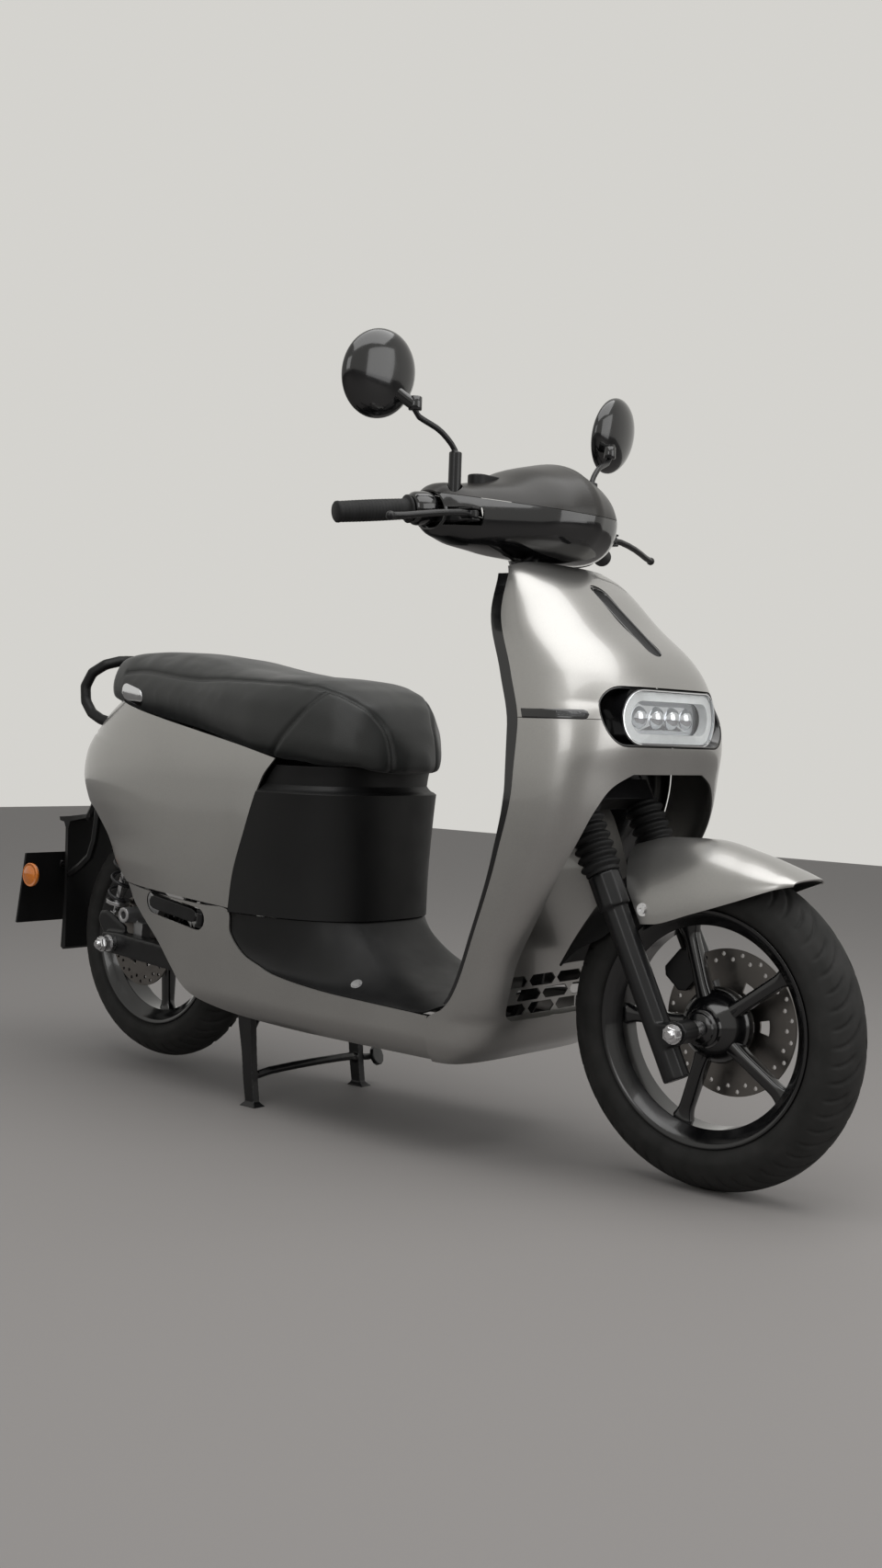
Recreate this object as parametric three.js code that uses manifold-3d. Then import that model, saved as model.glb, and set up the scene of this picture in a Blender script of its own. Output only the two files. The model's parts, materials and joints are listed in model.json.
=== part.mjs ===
// Seated electric scooter, an assembly of separate solids.
// Millimetres. X points forward, Y to the rider's left and Z up. The ground is at Z = 0.
import * as THREE from "three";
import { mergeVertices } from "three/addons/utils/BufferGeometryUtils.js";
import Module from "manifold-3d";

const wasm = await Module();
wasm.setup();

// Overall layout
const wheelbase = 1305;
const frontTyreRadius = 258;
const frontTyreWidth = 98;
const rearTyreRadius = 242;
const rearTyreWidth = 112;
const rearWheelLift = 17;
const forkTrail = 85;
const plateOverhang = 333;
const casterDegrees = 26.5;

// Clearances and walls
const seamGap = 0.5;
const seatGap = 0.3;
const runningGap = 0.4;
const coverWall = 3;
const cutOverrun = 40;
const mergeTolerance = 0.0005;

// Body shape, shared by the painted panels
const shieldTop = 997;
const noseReach = 545;
const shieldHalfWidth = 224;
const bodyHalfWidth = 206;
const seamHeight = 731;
const panelBottom = 163;
const sillTop = 238;
const tailStart = -420;
const smallStep = 2;
const tailHalfWidth = 172;
const tailReach = 845;
const tailHeight = 800;

const degree = Math.PI / 180;
const caster = casterDegrees * degree;
const frontAxleX = wheelbase / 2;
const rearAxleX = -wheelbase / 2;
const rearAxleZ = rearTyreRadius + rearWheelLift;
const steeringFootX = frontAxleX + forkTrail;
const frontEndX = frontAxleX + frontTyreRadius;
const rearEndX = rearAxleX - plateOverhang;
const steeringUp = new THREE.Vector3(-Math.sin(caster), 0, Math.cos(caster));
const steeringAhead = new THREE.Vector3(Math.cos(caster), 0, Math.sin(caster));

// Every solid hangs in this group, which puts the origin under the middle of the bounding box.
const scooter = new THREE.Group();
scooter.position.x = -(frontEndX + rearEndX) / 2;

function at(x, y, z) {
  return new THREE.Vector3(x, y, z);
}

// A place in the fork's own axes: ahead of the steering axis, to the left, and up along the axis.
function onFork(ahead, left, up) {
  return at(steeringFootX, left, 0)
    .addScaledVector(steeringAhead, ahead)
    .addScaledVector(steeringUp, up);
}

// Solids

// A closed triangle mesh as a solid, with its faces turned outwards.
function solidFrom(positions, triangles) {
  const kept = [];
  let volume = 0;
  const corners = [at(0, 0, 0), at(0, 0, 0), at(0, 0, 0)];
  for (let i = 0; i < triangles.length; i += 3) {
    const [a, b, c] = [triangles[i], triangles[i + 1], triangles[i + 2]];
    if (a === b || b === c || c === a) continue;
    kept.push(a, b, c);
    corners[0].fromArray(positions, a * 3);
    corners[1].fromArray(positions, b * 3);
    corners[2].fromArray(positions, c * 3);
    volume += corners[0].dot(corners[1].cross(corners[2]));
  }
  if (volume < 0) {
    for (let i = 0; i < kept.length; i += 3) [kept[i + 1], kept[i + 2]] = [kept[i + 2], kept[i + 1]];
  }
  return new wasm.Manifold(
    new wasm.Mesh({
      numProp: 3,
      vertProperties: new Float32Array(positions),
      triVerts: new Uint32Array(kept),
    }),
  );
}

function solidOf(geometry) {
  const bare = geometry.clone();
  bare.deleteAttribute("normal");
  bare.deleteAttribute("uv");
  const merged = mergeVertices(bare, mergeTolerance);
  return solidFrom(Array.from(merged.attributes.position.array), Array.from(merged.index.array));
}

function joined(...solids) {
  return solids.reduce((whole, next) => whole.add(next));
}

function cut(solid, ...tools) {
  return tools.reduce((rest, tool) => rest.subtract(tool), solid);
}

// A monotone curve through hand-chosen [place, value] pairs.
function curveThrough(pairs) {
  const n = pairs.length;
  const slope = [];
  const tangent = [];
  for (let i = 0; i < n - 1; i++) {
    slope.push((pairs[i + 1][1] - pairs[i][1]) / (pairs[i + 1][0] - pairs[i][0]));
  }
  for (let i = 0; i < n; i++) {
    if (i === 0) tangent.push(slope[0]);
    else if (i === n - 1) tangent.push(slope[n - 2]);
    else if (slope[i - 1] * slope[i] <= 0) tangent.push(0);
    else tangent.push((2 * slope[i - 1] * slope[i]) / (slope[i - 1] + slope[i]));
  }
  return (place) => {
    if (place <= pairs[0][0]) return pairs[0][1];
    if (place >= pairs[n - 1][0]) return pairs[n - 1][1];
    let i = 0;
    while (place > pairs[i + 1][0]) i++;
    const span = pairs[i + 1][0] - pairs[i][0];
    const s = (place - pairs[i][0]) / span;
    const rise = s * s * (3 - 2 * s);
    const enter = s * (1 - s) * (1 - s);
    const leave = s * s * (1 - s);
    return (
      pairs[i][1] * (1 - rise) +
      pairs[i + 1][1] * rise +
      span * (enter * tangent[i] - leave * tangent[i + 1])
    );
  };
}

// A table of shares as a curve in millimetres.
function scaledCurve(shares, placeSize, valueSize) {
  return curveThrough(shares.map(([place, value]) => [place * placeSize, value * valueSize]));
}

// A profile of [radius, distance along] pairs, turned about the line from one point towards another.
function turned(profile, from, towards, sides) {
  const geometry = new THREE.LatheGeometry(
    profile.map(([radius, along]) => new THREE.Vector2(radius, along)),
    sides,
  );
  const direction = towards.clone().sub(from).normalize();
  const turn = new THREE.Quaternion().setFromUnitVectors(at(0, 1, 0), direction);
  geometry.applyQuaternion(turn);
  geometry.translate(from.x, from.y, from.z);
  return solidOf(geometry);
}

function rod(from, to, radius, sides) {
  const length = from.distanceTo(to);
  return turned([[0, 0], [radius, 0], [radius, length], [0, length]], from, to, sides);
}

// A tube from one point to another with a bore right through.
function sleeve(from, to, outer, inner, sides) {
  const length = from.distanceTo(to);
  return turned(
    [[inner, 0], [outer, 0], [outer, length], [inner, length], [inner, 0]],
    from,
    to,
    sides,
  );
}

// The radius of a faceted bore that clears a faceted shaft at every angle.
function boreFor(shaftRadius, sides) {
  return (shaftRadius + runningGap) / Math.cos(Math.PI / sides);
}

function circleShape(radius, sides) {
  const shape = new THREE.Shape();
  for (let i = 0; i < sides; i++) {
    const turn = (i / sides) * 2 * Math.PI;
    const [x, y] = [radius * Math.cos(turn), radius * Math.sin(turn)];
    if (i === 0) shape.moveTo(x, y);
    else shape.lineTo(x, y);
  }
  shape.closePath();
  return shape;
}

// A round bar bent along a curve through the points.
function bentBar(points, radius, sides, steps, tension = 0.5) {
  const path = new THREE.CatmullRomCurve3(points, false, "catmullrom", tension);
  return solidOf(
    new THREE.ExtrudeGeometry(circleShape(radius, sides), {
      steps,
      bevelEnabled: false,
      extrudePath: path,
    }),
  );
}

function shapeFrom(outline) {
  const shape = new THREE.Shape();
  outline.forEach(([a, b], i) => (i === 0 ? shape.moveTo(a, b) : shape.lineTo(a, b)));
  shape.closePath();
  return shape;
}

// An outline extruded by its own axes: the outline's two directions and the way it is pushed.
function extruded(outline, acrossAxis, upAxis, start, depth) {
  const geometry = new THREE.ExtrudeGeometry(shapeFrom(outline), { depth, bevelEnabled: false });
  const pushAxis = acrossAxis.clone().cross(upAxis);
  geometry.applyMatrix4(new THREE.Matrix4().makeBasis(acrossAxis, upAxis, pushAxis));
  geometry.translate(start.x, start.y, start.z);
  return solidOf(geometry);
}

const alongX = at(1, 0, 0);
const alongY = at(0, 1, 0);
const alongZ = at(0, 0, 1);

// A side-view outline of [x, z] pairs as a slab between two places across the scooter.
function slabAcross(outline, rightY, leftY) {
  return extruded(outline, alongX, alongZ, at(0, leftY, 0), leftY - rightY);
}

// A front-view outline of [y, z] pairs as a slab between two places along the scooter.
function slabAlong(outline, rearX, frontX) {
  return extruded(outline, alongY, alongZ, at(rearX, 0, 0), frontX - rearX);
}

// A plan outline of [x, y] pairs as a slab between two heights.
function slabUp(outline, lowZ, highZ) {
  return extruded(outline, alongX, alongY, at(0, 0, lowZ), highZ - lowZ);
}

function block(lowX, highX, lowY, highY, lowZ, highZ) {
  const geometry = new THREE.BoxGeometry(highX - lowX, highY - lowY, highZ - lowZ);
  geometry.translate((lowX + highX) / 2, (lowY + highY) / 2, (lowZ + highZ) / 2);
  return solidOf(geometry);
}

// The outline of a bar with round ends, lying along the first axis.
function pillOutline(middleA, middleB, halfLength, halfHeight, endSteps) {
  const outline = [];
  const reach = halfLength - halfHeight;
  for (let i = 0; i <= endSteps; i++) {
    const turn = -Math.PI / 2 + (i / endSteps) * Math.PI;
    outline.push([
      middleA + reach + halfHeight * Math.cos(turn),
      middleB + halfHeight * Math.sin(turn),
    ]);
  }
  for (let i = 0; i <= endSteps; i++) {
    const turn = Math.PI / 2 + (i / endSteps) * Math.PI;
    outline.push([
      middleA - reach + halfHeight * Math.cos(turn),
      middleB + halfHeight * Math.sin(turn),
    ]);
  }
  return outline;
}

// A sheet laid on a surface. pointAt takes u and v from 0 to 1, and wall goes to the side of dU x dV.
function sheet(pointAt, wall, stepsU, stepsV) {
  const nudge = 0.001;
  const positions = [];
  const under = [];
  for (let j = 0; j <= stepsV; j++) {
    for (let i = 0; i <= stepsU; i++) {
      const [u, v] = [i / stepsU, j / stepsV];
      const here = pointAt(u, v);
      const alongU = pointAt(Math.min(1, u + nudge), v).sub(pointAt(Math.max(0, u - nudge), v));
      const alongV = pointAt(u, Math.min(1, v + nudge)).sub(pointAt(u, Math.max(0, v - nudge)));
      const normal = alongU.cross(alongV).normalize();
      positions.push(here.x, here.y, here.z);
      const inner = here.clone().addScaledVector(normal, wall);
      under.push(inner.x, inner.y, inner.z);
    }
  }
  positions.push(...under);
  const half = (stepsU + 1) * (stepsV + 1);
  const index = (i, j, layer) => layer * half + j * (stepsU + 1) + i;
  const triangles = [];
  const quad = (a, b, c, d) => triangles.push(a, b, c, a, c, d);
  for (let j = 0; j < stepsV; j++) {
    for (let i = 0; i < stepsU; i++) {
      quad(index(i, j, 0), index(i, j + 1, 0), index(i + 1, j + 1, 0), index(i + 1, j, 0));
      quad(index(i, j, 1), index(i + 1, j, 1), index(i + 1, j + 1, 1), index(i, j + 1, 1));
    }
  }
  for (let i = 0; i < stepsU; i++) {
    quad(index(i, 0, 0), index(i + 1, 0, 0), index(i + 1, 0, 1), index(i, 0, 1));
    quad(index(i, stepsV, 0), index(i, stepsV, 1), index(i + 1, stepsV, 1), index(i + 1, stepsV, 0));
  }
  for (let j = 0; j < stepsV; j++) {
    quad(index(0, j, 0), index(0, j, 1), index(0, j + 1, 1), index(0, j + 1, 0));
    quad(index(stepsU, j, 0), index(stepsU, j + 1, 0), index(stepsU, j + 1, 1), index(stepsU, j, 1));
  }
  return solidFrom(positions, triangles);
}

// A solid through closed rings of equal length, with flat fans over both ends.
function lofted(rings) {
  const positions = [];
  const triangles = [];
  const count = rings[0].length;
  rings.forEach((ring) => ring.forEach((point) => positions.push(point.x, point.y, point.z)));
  for (let j = 0; j < rings.length - 1; j++) {
    for (let i = 0; i < count; i++) {
      const next = (i + 1) % count;
      const [a, b] = [j * count + i, j * count + next];
      const [c, d] = [(j + 1) * count + next, (j + 1) * count + i];
      triangles.push(a, b, c, a, c, d);
    }
  }
  [0, rings.length - 1].forEach((j) => {
    const middle = rings[j].reduce((sum, point) => sum.add(point), at(0, 0, 0));
    middle.divideScalar(count);
    const centre = positions.length / 3;
    positions.push(middle.x, middle.y, middle.z);
    for (let i = 0; i < count; i++) {
      const [a, b] = [j * count + i, j * count + ((i + 1) % count)];
      if (j === 0) triangles.push(centre, b, a);
      else triangles.push(centre, a, b);
    }
  });
  return solidFrom(positions, triangles);
}

const finishes = {
  silverPaint: { color: 0xa9a49c, roughness: 0.3, metalness: 0.6 },
  blackPaint: { color: 0x0b0b0c, roughness: 0.15, metalness: 0.1 },
  blackPlastic: { color: 0x1c1c1d, roughness: 0.5, metalness: 0 },
  greyPlastic: { color: 0x5b5b5d, roughness: 0.5, metalness: 0 },
  satinCowl: { color: 0x2b2b2c, roughness: 0.35, metalness: 0.2 },
  leather: { color: 0x1d1f1d, roughness: 0.45, metalness: 0 },
  rubber: { color: 0x151515, roughness: 0.75, metalness: 0 },
  steel: { color: 0x8d8d90, roughness: 0.35, metalness: 0.9 },
  alloy: { color: 0xa6a6a8, roughness: 0.4, metalness: 0.9 },
  frameSteel: { color: 0x141415, roughness: 0.4, metalness: 0.4 },
  lamp: { color: 0xe8e8e4, roughness: 0.2, metalness: 0 },
  redLens: { color: 0x8a1010, roughness: 0.2, metalness: 0 },
  batteryGreen: { color: 0x3d5c4c, roughness: 0.5, metalness: 0 },
};

function add(name, solid, finish) {
  const mesh = solid.getMesh();
  const geometry = new THREE.BufferGeometry();
  geometry.setAttribute("position", new THREE.BufferAttribute(mesh.vertProperties, 3));
  geometry.setIndex(new THREE.BufferAttribute(mesh.triVerts, 1));
  geometry.computeVertexNormals();
  const piece = new THREE.Mesh(geometry, new THREE.MeshStandardMaterial(finishes[finish]));
  piece.name = name;
  scooter.add(piece);
}

const sides = [["right", -1], ["left", 1]];

// Painted body surface

// Front end by height: how far the nose reaches, the half width, and where the rider's edge lies.
const noseShares = [
  [0.163, 0.53], [0.194, 0.612], [0.231, 0.646], [0.29, 0.685], [0.337, 0.716], [0.402, 0.79],
  [0.49, 0.9], [0.57, 0.978], [0.651, 1.009], [0.695, 1.026], [0.74, 1.031], [0.772, 1.021],
  [0.802, 1.002], [0.835, 0.96], [0.892, 0.837], [0.957, 0.706], [0.985, 0.622], [1, 0.55],
];
const widthShares = [
  [0.163, 0.83], [0.175, 0.875], [0.2, 0.915], [0.24, 0.92], [0.38, 0.955], [0.515, 0.985],
  [0.63, 1], [0.72, 0.98], [0.805, 0.905], [0.907, 0.76], [0.962, 0.65], [0.985, 0.56], [1, 0.42],
];
const riderEdgeShares = [
  [0.163, 0.4135], [0.234, 0.4145], [0.241, 0.426], [0.254, 0.473], [0.284, 0.52], [0.38, 0.594],
  [0.515, 0.679], [0.632, 0.721], [0.72, 0.716], [0.805, 0.659], [0.907, 0.569], [0.962, 0.554],
  [0.985, 0.52], [1, 0.46],
];
const trimWidth = 24;
const trimShares = [[0.163, 0.4], [0.38, 0.42], [0.5, 0.5], [0.64, 0.76], [0.74, 1], [1, 0.95]];
const noseAt = scaledCurve(noseShares, shieldTop, noseReach);
const frontHalfWidthAt = scaledCurve(widthShares, shieldTop, shieldHalfWidth);
const riderEdgeAt = scaledCurve(riderEdgeShares, shieldTop, noseReach);
const trimWidthAt = scaledCurve(trimShares, shieldTop, trimWidth);
const fullnessShares = [[0.6, 3.9], [0.7, 3.5], [0.76, 2.8]];
const fullnessAt = scaledCurve(fullnessShares, shieldTop, 1);

function paintedEdgeAt(height) {
  return riderEdgeAt(height) + trimWidthAt(height);
}

// A point on the front body: across goes from -1 at the right edge to 1 at the left edge.
function frontBody(across, height) {
  const turn = (across * Math.PI) / 2;
  const edge = paintedEdgeAt(height);
  const depth = noseAt(height) - edge;
  const power = 2 / fullnessAt(height);
  const reach = Math.pow(Math.max(0, Math.cos(turn)), power);
  const spread = Math.pow(Math.abs(Math.sin(turn)), power);
  return at(edge + depth * reach, Math.sign(across) * frontHalfWidthAt(height) * spread, height);
}

// The front body's half width at a place and height.
function frontHalfWidthThere(x, height) {
  const edge = paintedEdgeAt(height);
  const run = Math.min(1, Math.max(0, (x - edge) / (noseAt(height) - edge)));
  const full = fullnessAt(height);
  return frontHalfWidthAt(height) * Math.pow(1 - Math.pow(run, full), 1 / full);
}

// Rear end: the half width along the scooter, and how far the tail reaches at each height.
const flankShares = [[-1, 0.835], [-0.69, 0.845], [-0.47, 0.89], [-0.12, 0.961], [0.24, 0.985], [0.56, 1]];
const tailShares = [
  [0.19, 0.663], [0.375, 0.817], [0.522, 0.905], [0.583, 0.927], [0.631, 0.969], [0.679, 1.006],
  [0.7425, 1.028], [0.7975, 1.018], [0.846, 0.987], [0.8875, 0.949], [0.929, 0.896], [1, 0.79],
];
const flankAt = scaledCurve(flankShares, -tailStart, bodyHalfWidth);
const tailReachAt = scaledCurve(tailShares, tailHeight, tailReach);
const tuckHeight = 205;
const tuckDepth = 22;
const shoulderHeight = 600;
const shoulderDepth = 14;
const shoulderRise = 140;
const tailFullnessShares = [[0.42, 2.1], [0.53, 2.6]];
const tailFullnessAt = scaledCurve(tailFullnessShares, tailHeight, 1);

// The half width of the sills and side panels at a place in the side view.
function flankHalfWidth(x, height) {
  let half = flankAt(x);
  if (x < tailStart) {
    const run = (tailStart - x) / (tailStart + tailReachAt(height));
    const full = tailFullnessAt(height);
    half = tailHalfWidth * Math.pow(Math.max(0, 1 - Math.pow(run, full)), 1 / full);
  }
  if (height > shoulderHeight) half -= shoulderDepth * ((height - shoulderHeight) / shoulderRise) ** 2;
  if (height < tuckHeight) half -= tuckDepth * ((tuckHeight - height) / (tuckHeight - panelBottom)) ** 2;
  return half;
}

// Front shield, from the seam to its top edge
const slotHeight = 893;
const slotHalfLength = 90;
const slotHalfWidth = 20;
const slotDepth = 36;
const slotStep = 45;
const headlightHeight = 738;
const bezelHalfWidth = 173;
const bezelHalfHeight = 47.5;
const bezelDepth = 70;
const shieldStepsAround = 12;
const shieldStepsUp = 8;
const slotRun = noseAt(slotHeight - slotStep) - noseAt(slotHeight + slotStep);
const slotLean = Math.atan2(slotRun, 2 * slotStep);
const slotMiddle = at(noseAt(slotHeight), 0, slotHeight);
const slotUp = at(-Math.sin(slotLean), 0, Math.cos(slotLean));
const slotOut = at(Math.cos(slotLean), 0, Math.sin(slotLean));

function noseSlot(halfLength, halfWidth, behind, ahead) {
  const start = slotMiddle.clone().addScaledVector(slotOut, -behind);
  const outline = pillOutline(0, 0, halfLength, halfWidth, 5);
  return extruded(outline, slotUp, alongY.clone().negate(), start, behind + ahead);
}

function headlightPill(halfWidth, halfHeight, rearX, frontX) {
  return slabAlong(pillOutline(0, headlightHeight, halfWidth, halfHeight, 6), rearX, frontX);
}

const shieldEdgeTop = 988;
const shieldCornerDrop = 12;
const shieldSheet = sheet(
  (u, v) => {
    const across = 2 * u - 1;
    const top = shieldEdgeTop - shieldCornerDrop * across ** 2;
    return frontBody(across, seamHeight + seamGap + v * (top - seamHeight - seamGap));
  },
  coverWall,
  shieldStepsAround,
  shieldStepsUp,
);
const headlightHole = headlightPill(
  bezelHalfWidth,
  bezelHalfHeight,
  noseReach - 2 * bezelDepth,
  noseReach + bezelDepth,
);
const slotHole = noseSlot(slotHalfLength, slotHalfWidth, slotDepth, slotDepth);
add("front_shield", cut(shieldSheet, headlightHole, slotHole), "silverPaint");

// Lower front panel, with the wheel arch and the grille opening in one hole
const archFloor = 238;
const archTop = 648;
const archHalfWidth = 175;
const archRear = 280;
const archShares = [
  [0.76, 0], [0.86, 0.03], [0.91, 0.124], [0.943, 0.239], [0.99, 0.398], [1.045, 0.612],
  [1.02, 0.788], [0.93, 0.89], [0.8, 0.955], [0.57, 1],
];
const lowerStepsAround = 12;
const lowerStepsUp = 10;

function archOutline() {
  const rise = archTop - archFloor;
  const left = archShares.map(([a, b]) => [a * archHalfWidth, archFloor + b * rise]);
  return [...left, ...left.map(([a, b]) => [-a, b]).reverse()];
}

const lowerSheet = sheet(
  (u, v) => frontBody(2 * u - 1, panelBottom + v * (seamHeight - seamGap - panelBottom)),
  coverWall,
  lowerStepsAround,
  lowerStepsUp,
);
const archHole = slabAlong(archOutline(), archRear, noseReach + cutOverrun);
add("lower_front_panel", cut(lowerSheet, archHole, headlightHole), "silverPaint");

// Inner leg shield: a flange behind the painted edge and a panel that swells towards the rider
const innerTop = 973;
const innerBottom = 264;
const bulgeDepth = 138;
const bulgeShares = [
  [0.26, 0.14], [0.34, 0.33], [0.49, 0.62], [0.61, 1], [0.65, 0.95], [0.71, 0.76], [0.81, 0.62],
  [1, 0.62],
];
const bulgeAt = scaledCurve(bulgeShares, innerTop, bulgeDepth);
const flangeShare = 0.1;
const innerStepsAround = 18;
const innerStepsUp = 6;

function innerShield(u, v) {
  const height = innerBottom + v * (innerTop - innerBottom);
  const half = frontHalfWidthAt(height);
  const edge = riderEdgeAt(height);
  if (u <= flangeShare || u >= 1 - flangeShare) {
    const run = u < 0.5 ? u / flangeShare : (1 - u) / flangeShare;
    const flange = trimWidthAt(height) - 3 * seamGap;
    return at(edge + flange * (1 - run), u < 0.5 ? -half : half, height);
  }
  const across = (2 * (u - flangeShare)) / (1 - 2 * flangeShare) - 1;
  const swell = Math.pow(1 - across * across, 1.5);
  return at(edge - bulgeAt(height) * swell, across * half, height);
}
add(
  "inner_leg_shield",
  sheet(innerShield, coverWall, innerStepsAround, innerStepsUp),
  "blackPaint",
);

// Splash panel behind the front wheel, with the honeycomb vent at its foot
const splashBottom = 232;
const splashTop = 622;
const splashX = 356;
const splashShares = [[0.373, 0.947], [0.5, 0.955], [0.643, 0.986], [0.772, 1], [0.9, 0.966], [1, 0.893]];
const splashXAt = scaledCurve(splashShares, splashTop, splashX);
const splashSideGap = 6;
const ventCellHalfWidth = 36;
const ventCellHalfHeight = 9.5;
const ventRib = 4;
const ventRows = 3;
const ventColumns = 4;
const ventBottom = archFloor + ventRib;
const splashStepsUp = 5;
const splashStepsAcross = 4;

// The splash panel ends where the painted panel or the inner leg shield comes close to it.
function splashHalfWidth(height) {
  const outer = frontHalfWidthThere(splashXAt(height), height) - coverWall - splashSideGap;
  const behind = riderEdgeAt(height) + 2 * splashSideGap + coverWall - splashXAt(height);
  const room = Math.pow(Math.max(0, behind / bulgeAt(height)), 2 / 3);
  return Math.min(outer, frontHalfWidthAt(height) * Math.sqrt(1 - room));
}

function ventCells() {
  const cells = [];
  const point = ventCellHalfHeight;
  for (let row = 0; row < ventRows; row++) {
    const middleZ = ventBottom + ventCellHalfHeight + row * (2 * ventCellHalfHeight + ventRib);
    const count = ventColumns - (row % 2);
    for (let column = 0; column < count; column++) {
      const middleY = (column - (count - 1) / 2) * (2 * ventCellHalfWidth + ventRib);
      cells.push(
        slabAlong(
          [
            [middleY - ventCellHalfWidth, middleZ],
            [middleY - ventCellHalfWidth + point, middleZ - ventCellHalfHeight],
            [middleY + ventCellHalfWidth - point, middleZ - ventCellHalfHeight],
            [middleY + ventCellHalfWidth, middleZ],
            [middleY + ventCellHalfWidth - point, middleZ + ventCellHalfHeight],
            [middleY - ventCellHalfWidth + point, middleZ + ventCellHalfHeight],
          ],
          splashX - 2 * cutOverrun,
          splashX + cutOverrun,
        ),
      );
    }
  }
  return cells;
}

const splashSheet = sheet(
  (u, v) => {
    const height = splashBottom + v * (splashTop - splashBottom);
    return at(splashXAt(height), (2 * u - 1) * splashHalfWidth(height), height);
  },
  coverWall,
  splashStepsAcross,
  splashStepsUp,
);
add("splash_panel", cut(splashSheet, ...ventCells()), "silverPaint");

// Headlight: a bezel bowl behind the panels with the lamp block inside
const lampHalfWidth = 134;
const lampHalfHeight = 44.5;
const lampProud = 2;
const lampCurve = 620;
const lampRear = 468;
const bowlWall = 2.5;
const bowlFloor = 494;
const bowlSetback = 6;
const lampFront = noseAt(headlightHeight) + lampProud;
const lampBend = turned(
  [[0, 0], [lampCurve, 0], [lampCurve, 2 * bezelHalfHeight], [0, 2 * bezelHalfHeight]],
  at(lampFront - lampCurve, 0, headlightHeight - bezelHalfHeight),
  at(lampFront - lampCurve, 0, headlightHeight),
  96,
);
const bowlFront = frontBody(bezelHalfWidth / shieldHalfWidth, headlightHeight).x - bowlSetback;
const bowl = cut(
  headlightPill(bezelHalfWidth - seamGap, bezelHalfHeight - seamGap, bowlFloor - bowlWall, bowlFront),
  headlightPill(
    bezelHalfWidth - seamGap - bowlWall,
    bezelHalfHeight - seamGap - bowlWall,
    bowlFloor,
    bowlFront + cutOverrun,
  ),
);
const lamp = headlightPill(lampHalfWidth, lampHalfHeight, lampRear, lampFront).intersect(lampBend);
add("headlight", joined(bowl, lamp), "lamp");

// Sills, side panels and the covers between them

function splineThrough(points) {
  return new THREE.SplineCurve(points.map(([x, z]) => new THREE.Vector2(x, z)));
}

const sillTopShares = [
  [-0.929, 0.486], [-0.845, 0.4785], [-0.677, 0.467], [-0.555, 0.461], [-0.446, 0.457], [-0.431, 0.404],
  [-0.377, 0.3633], [-0.299, 0.3418], [-0.2145, 0.3253], [-0.0215, 0.3114], [0.15, 0.3063], [0.3586, 0.3013],
];
const sillBottomShares = [
  [-0.9165, 0.4658], [-0.89, 0.4304], [-0.768, 0.362], [-0.69, 0.3025], [-0.645, 0.267], [-0.5824, 0.238],
  [-0.48, 0.2177], [-0.3755, 0.2089], [-0.207, 0.2063], [-0.0153, 0.2063], [0.1563, 0.2063], [0.3586, 0.2063],
];
const flankLength = 652.5;
const flankHeight = 790;
const sillStepsAlong = 16;
const sillStepsUp = 3;

function flankPlaces(shares) {
  return shares.map(([a, b]) => [a * flankLength, b * flankHeight]);
}

const sillTopEdge = splineThrough(flankPlaces(sillTopShares));
const sillBottomEdge = splineThrough(flankPlaces(sillBottomShares));

function sillSurface(side, u, v) {
  const low = sillBottomEdge.getPoint(u);
  const place = low.lerp(sillTopEdge.getPoint(u), v);
  return at(place.x, side * flankHalfWidth(place.x, place.y), place.y);
}

// Passenger footpeg pocket in the sill
const pegX = -444;
const pegZ = 345;
const pegSlope = -8 * degree;
const pocketHalfLength = 90;
const pocketHalfHeight = 21;
const pegHalfHeight = 13;
const pegThickness = 15;

const pegHingeX = -374;
const pegHingeRadius = 9;
const pegPinRadius = 4;
const pegHingeHalfHeight = 12;
const pegBarGap = 3;
const pegAhead = at(Math.cos(pegSlope), 0, Math.sin(pegSlope));
const pegUpward = at(-Math.sin(pegSlope), 0, Math.cos(pegSlope));

function pocketPill(halfLength, halfHeight, innerY, outerY, endSteps) {
  const outline = pillOutline(0, 0, halfLength, halfHeight, endSteps);
  return extruded(outline, pegAhead, pegUpward, at(pegX, outerY, pegZ), outerY - innerY);
}

sides.forEach(([name, side]) => {
  const sill = sheet(
    (u, v) => sillSurface(side, u, v),
    side * coverWall,
    sillStepsAlong,
    sillStepsUp,
  );
  const reach = [side * tailHalfWidth - cutOverrun, side * tailHalfWidth + cutOverrun];
  const pocket = pocketPill(pocketHalfLength, pocketHalfHeight, reach[0], reach[1], 4);
  add(`side_sill_${name}`, cut(sill, pocket), "silverPaint");
});

const panelFrontShares = [
  [0.4608, 0.4414], [0.533, 0.4291], [0.643, 0.3816], [0.7747, 0.305], [0.8177, 0.2529],
];
const panelRearShares = [
  [0.4873, 0.938], [0.519, 0.985], [0.5899, 1.055], [0.6582, 1.15], [0.7089, 1.2935], [0.7519, 1.3118],
  [0.8076, 1.298], [0.857, 1.2598], [0.8658, 1.172], [0.8924, 1.145], [0.947, 1.0805],
];
const panelFrontAt = scaledCurve(panelFrontShares, flankHeight, -flankLength);
const panelRearAt = scaledCurve(panelRearShares, flankHeight, -flankLength);
const panelFrontBottom = 364;
const panelFrontTop = 646;
const panelRearBottom = 385;
const panelRearTop = 748;
const panelWrap = 1.7;
const panelStepsAlong = 10;
const panelStepsUp = 6;

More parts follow.
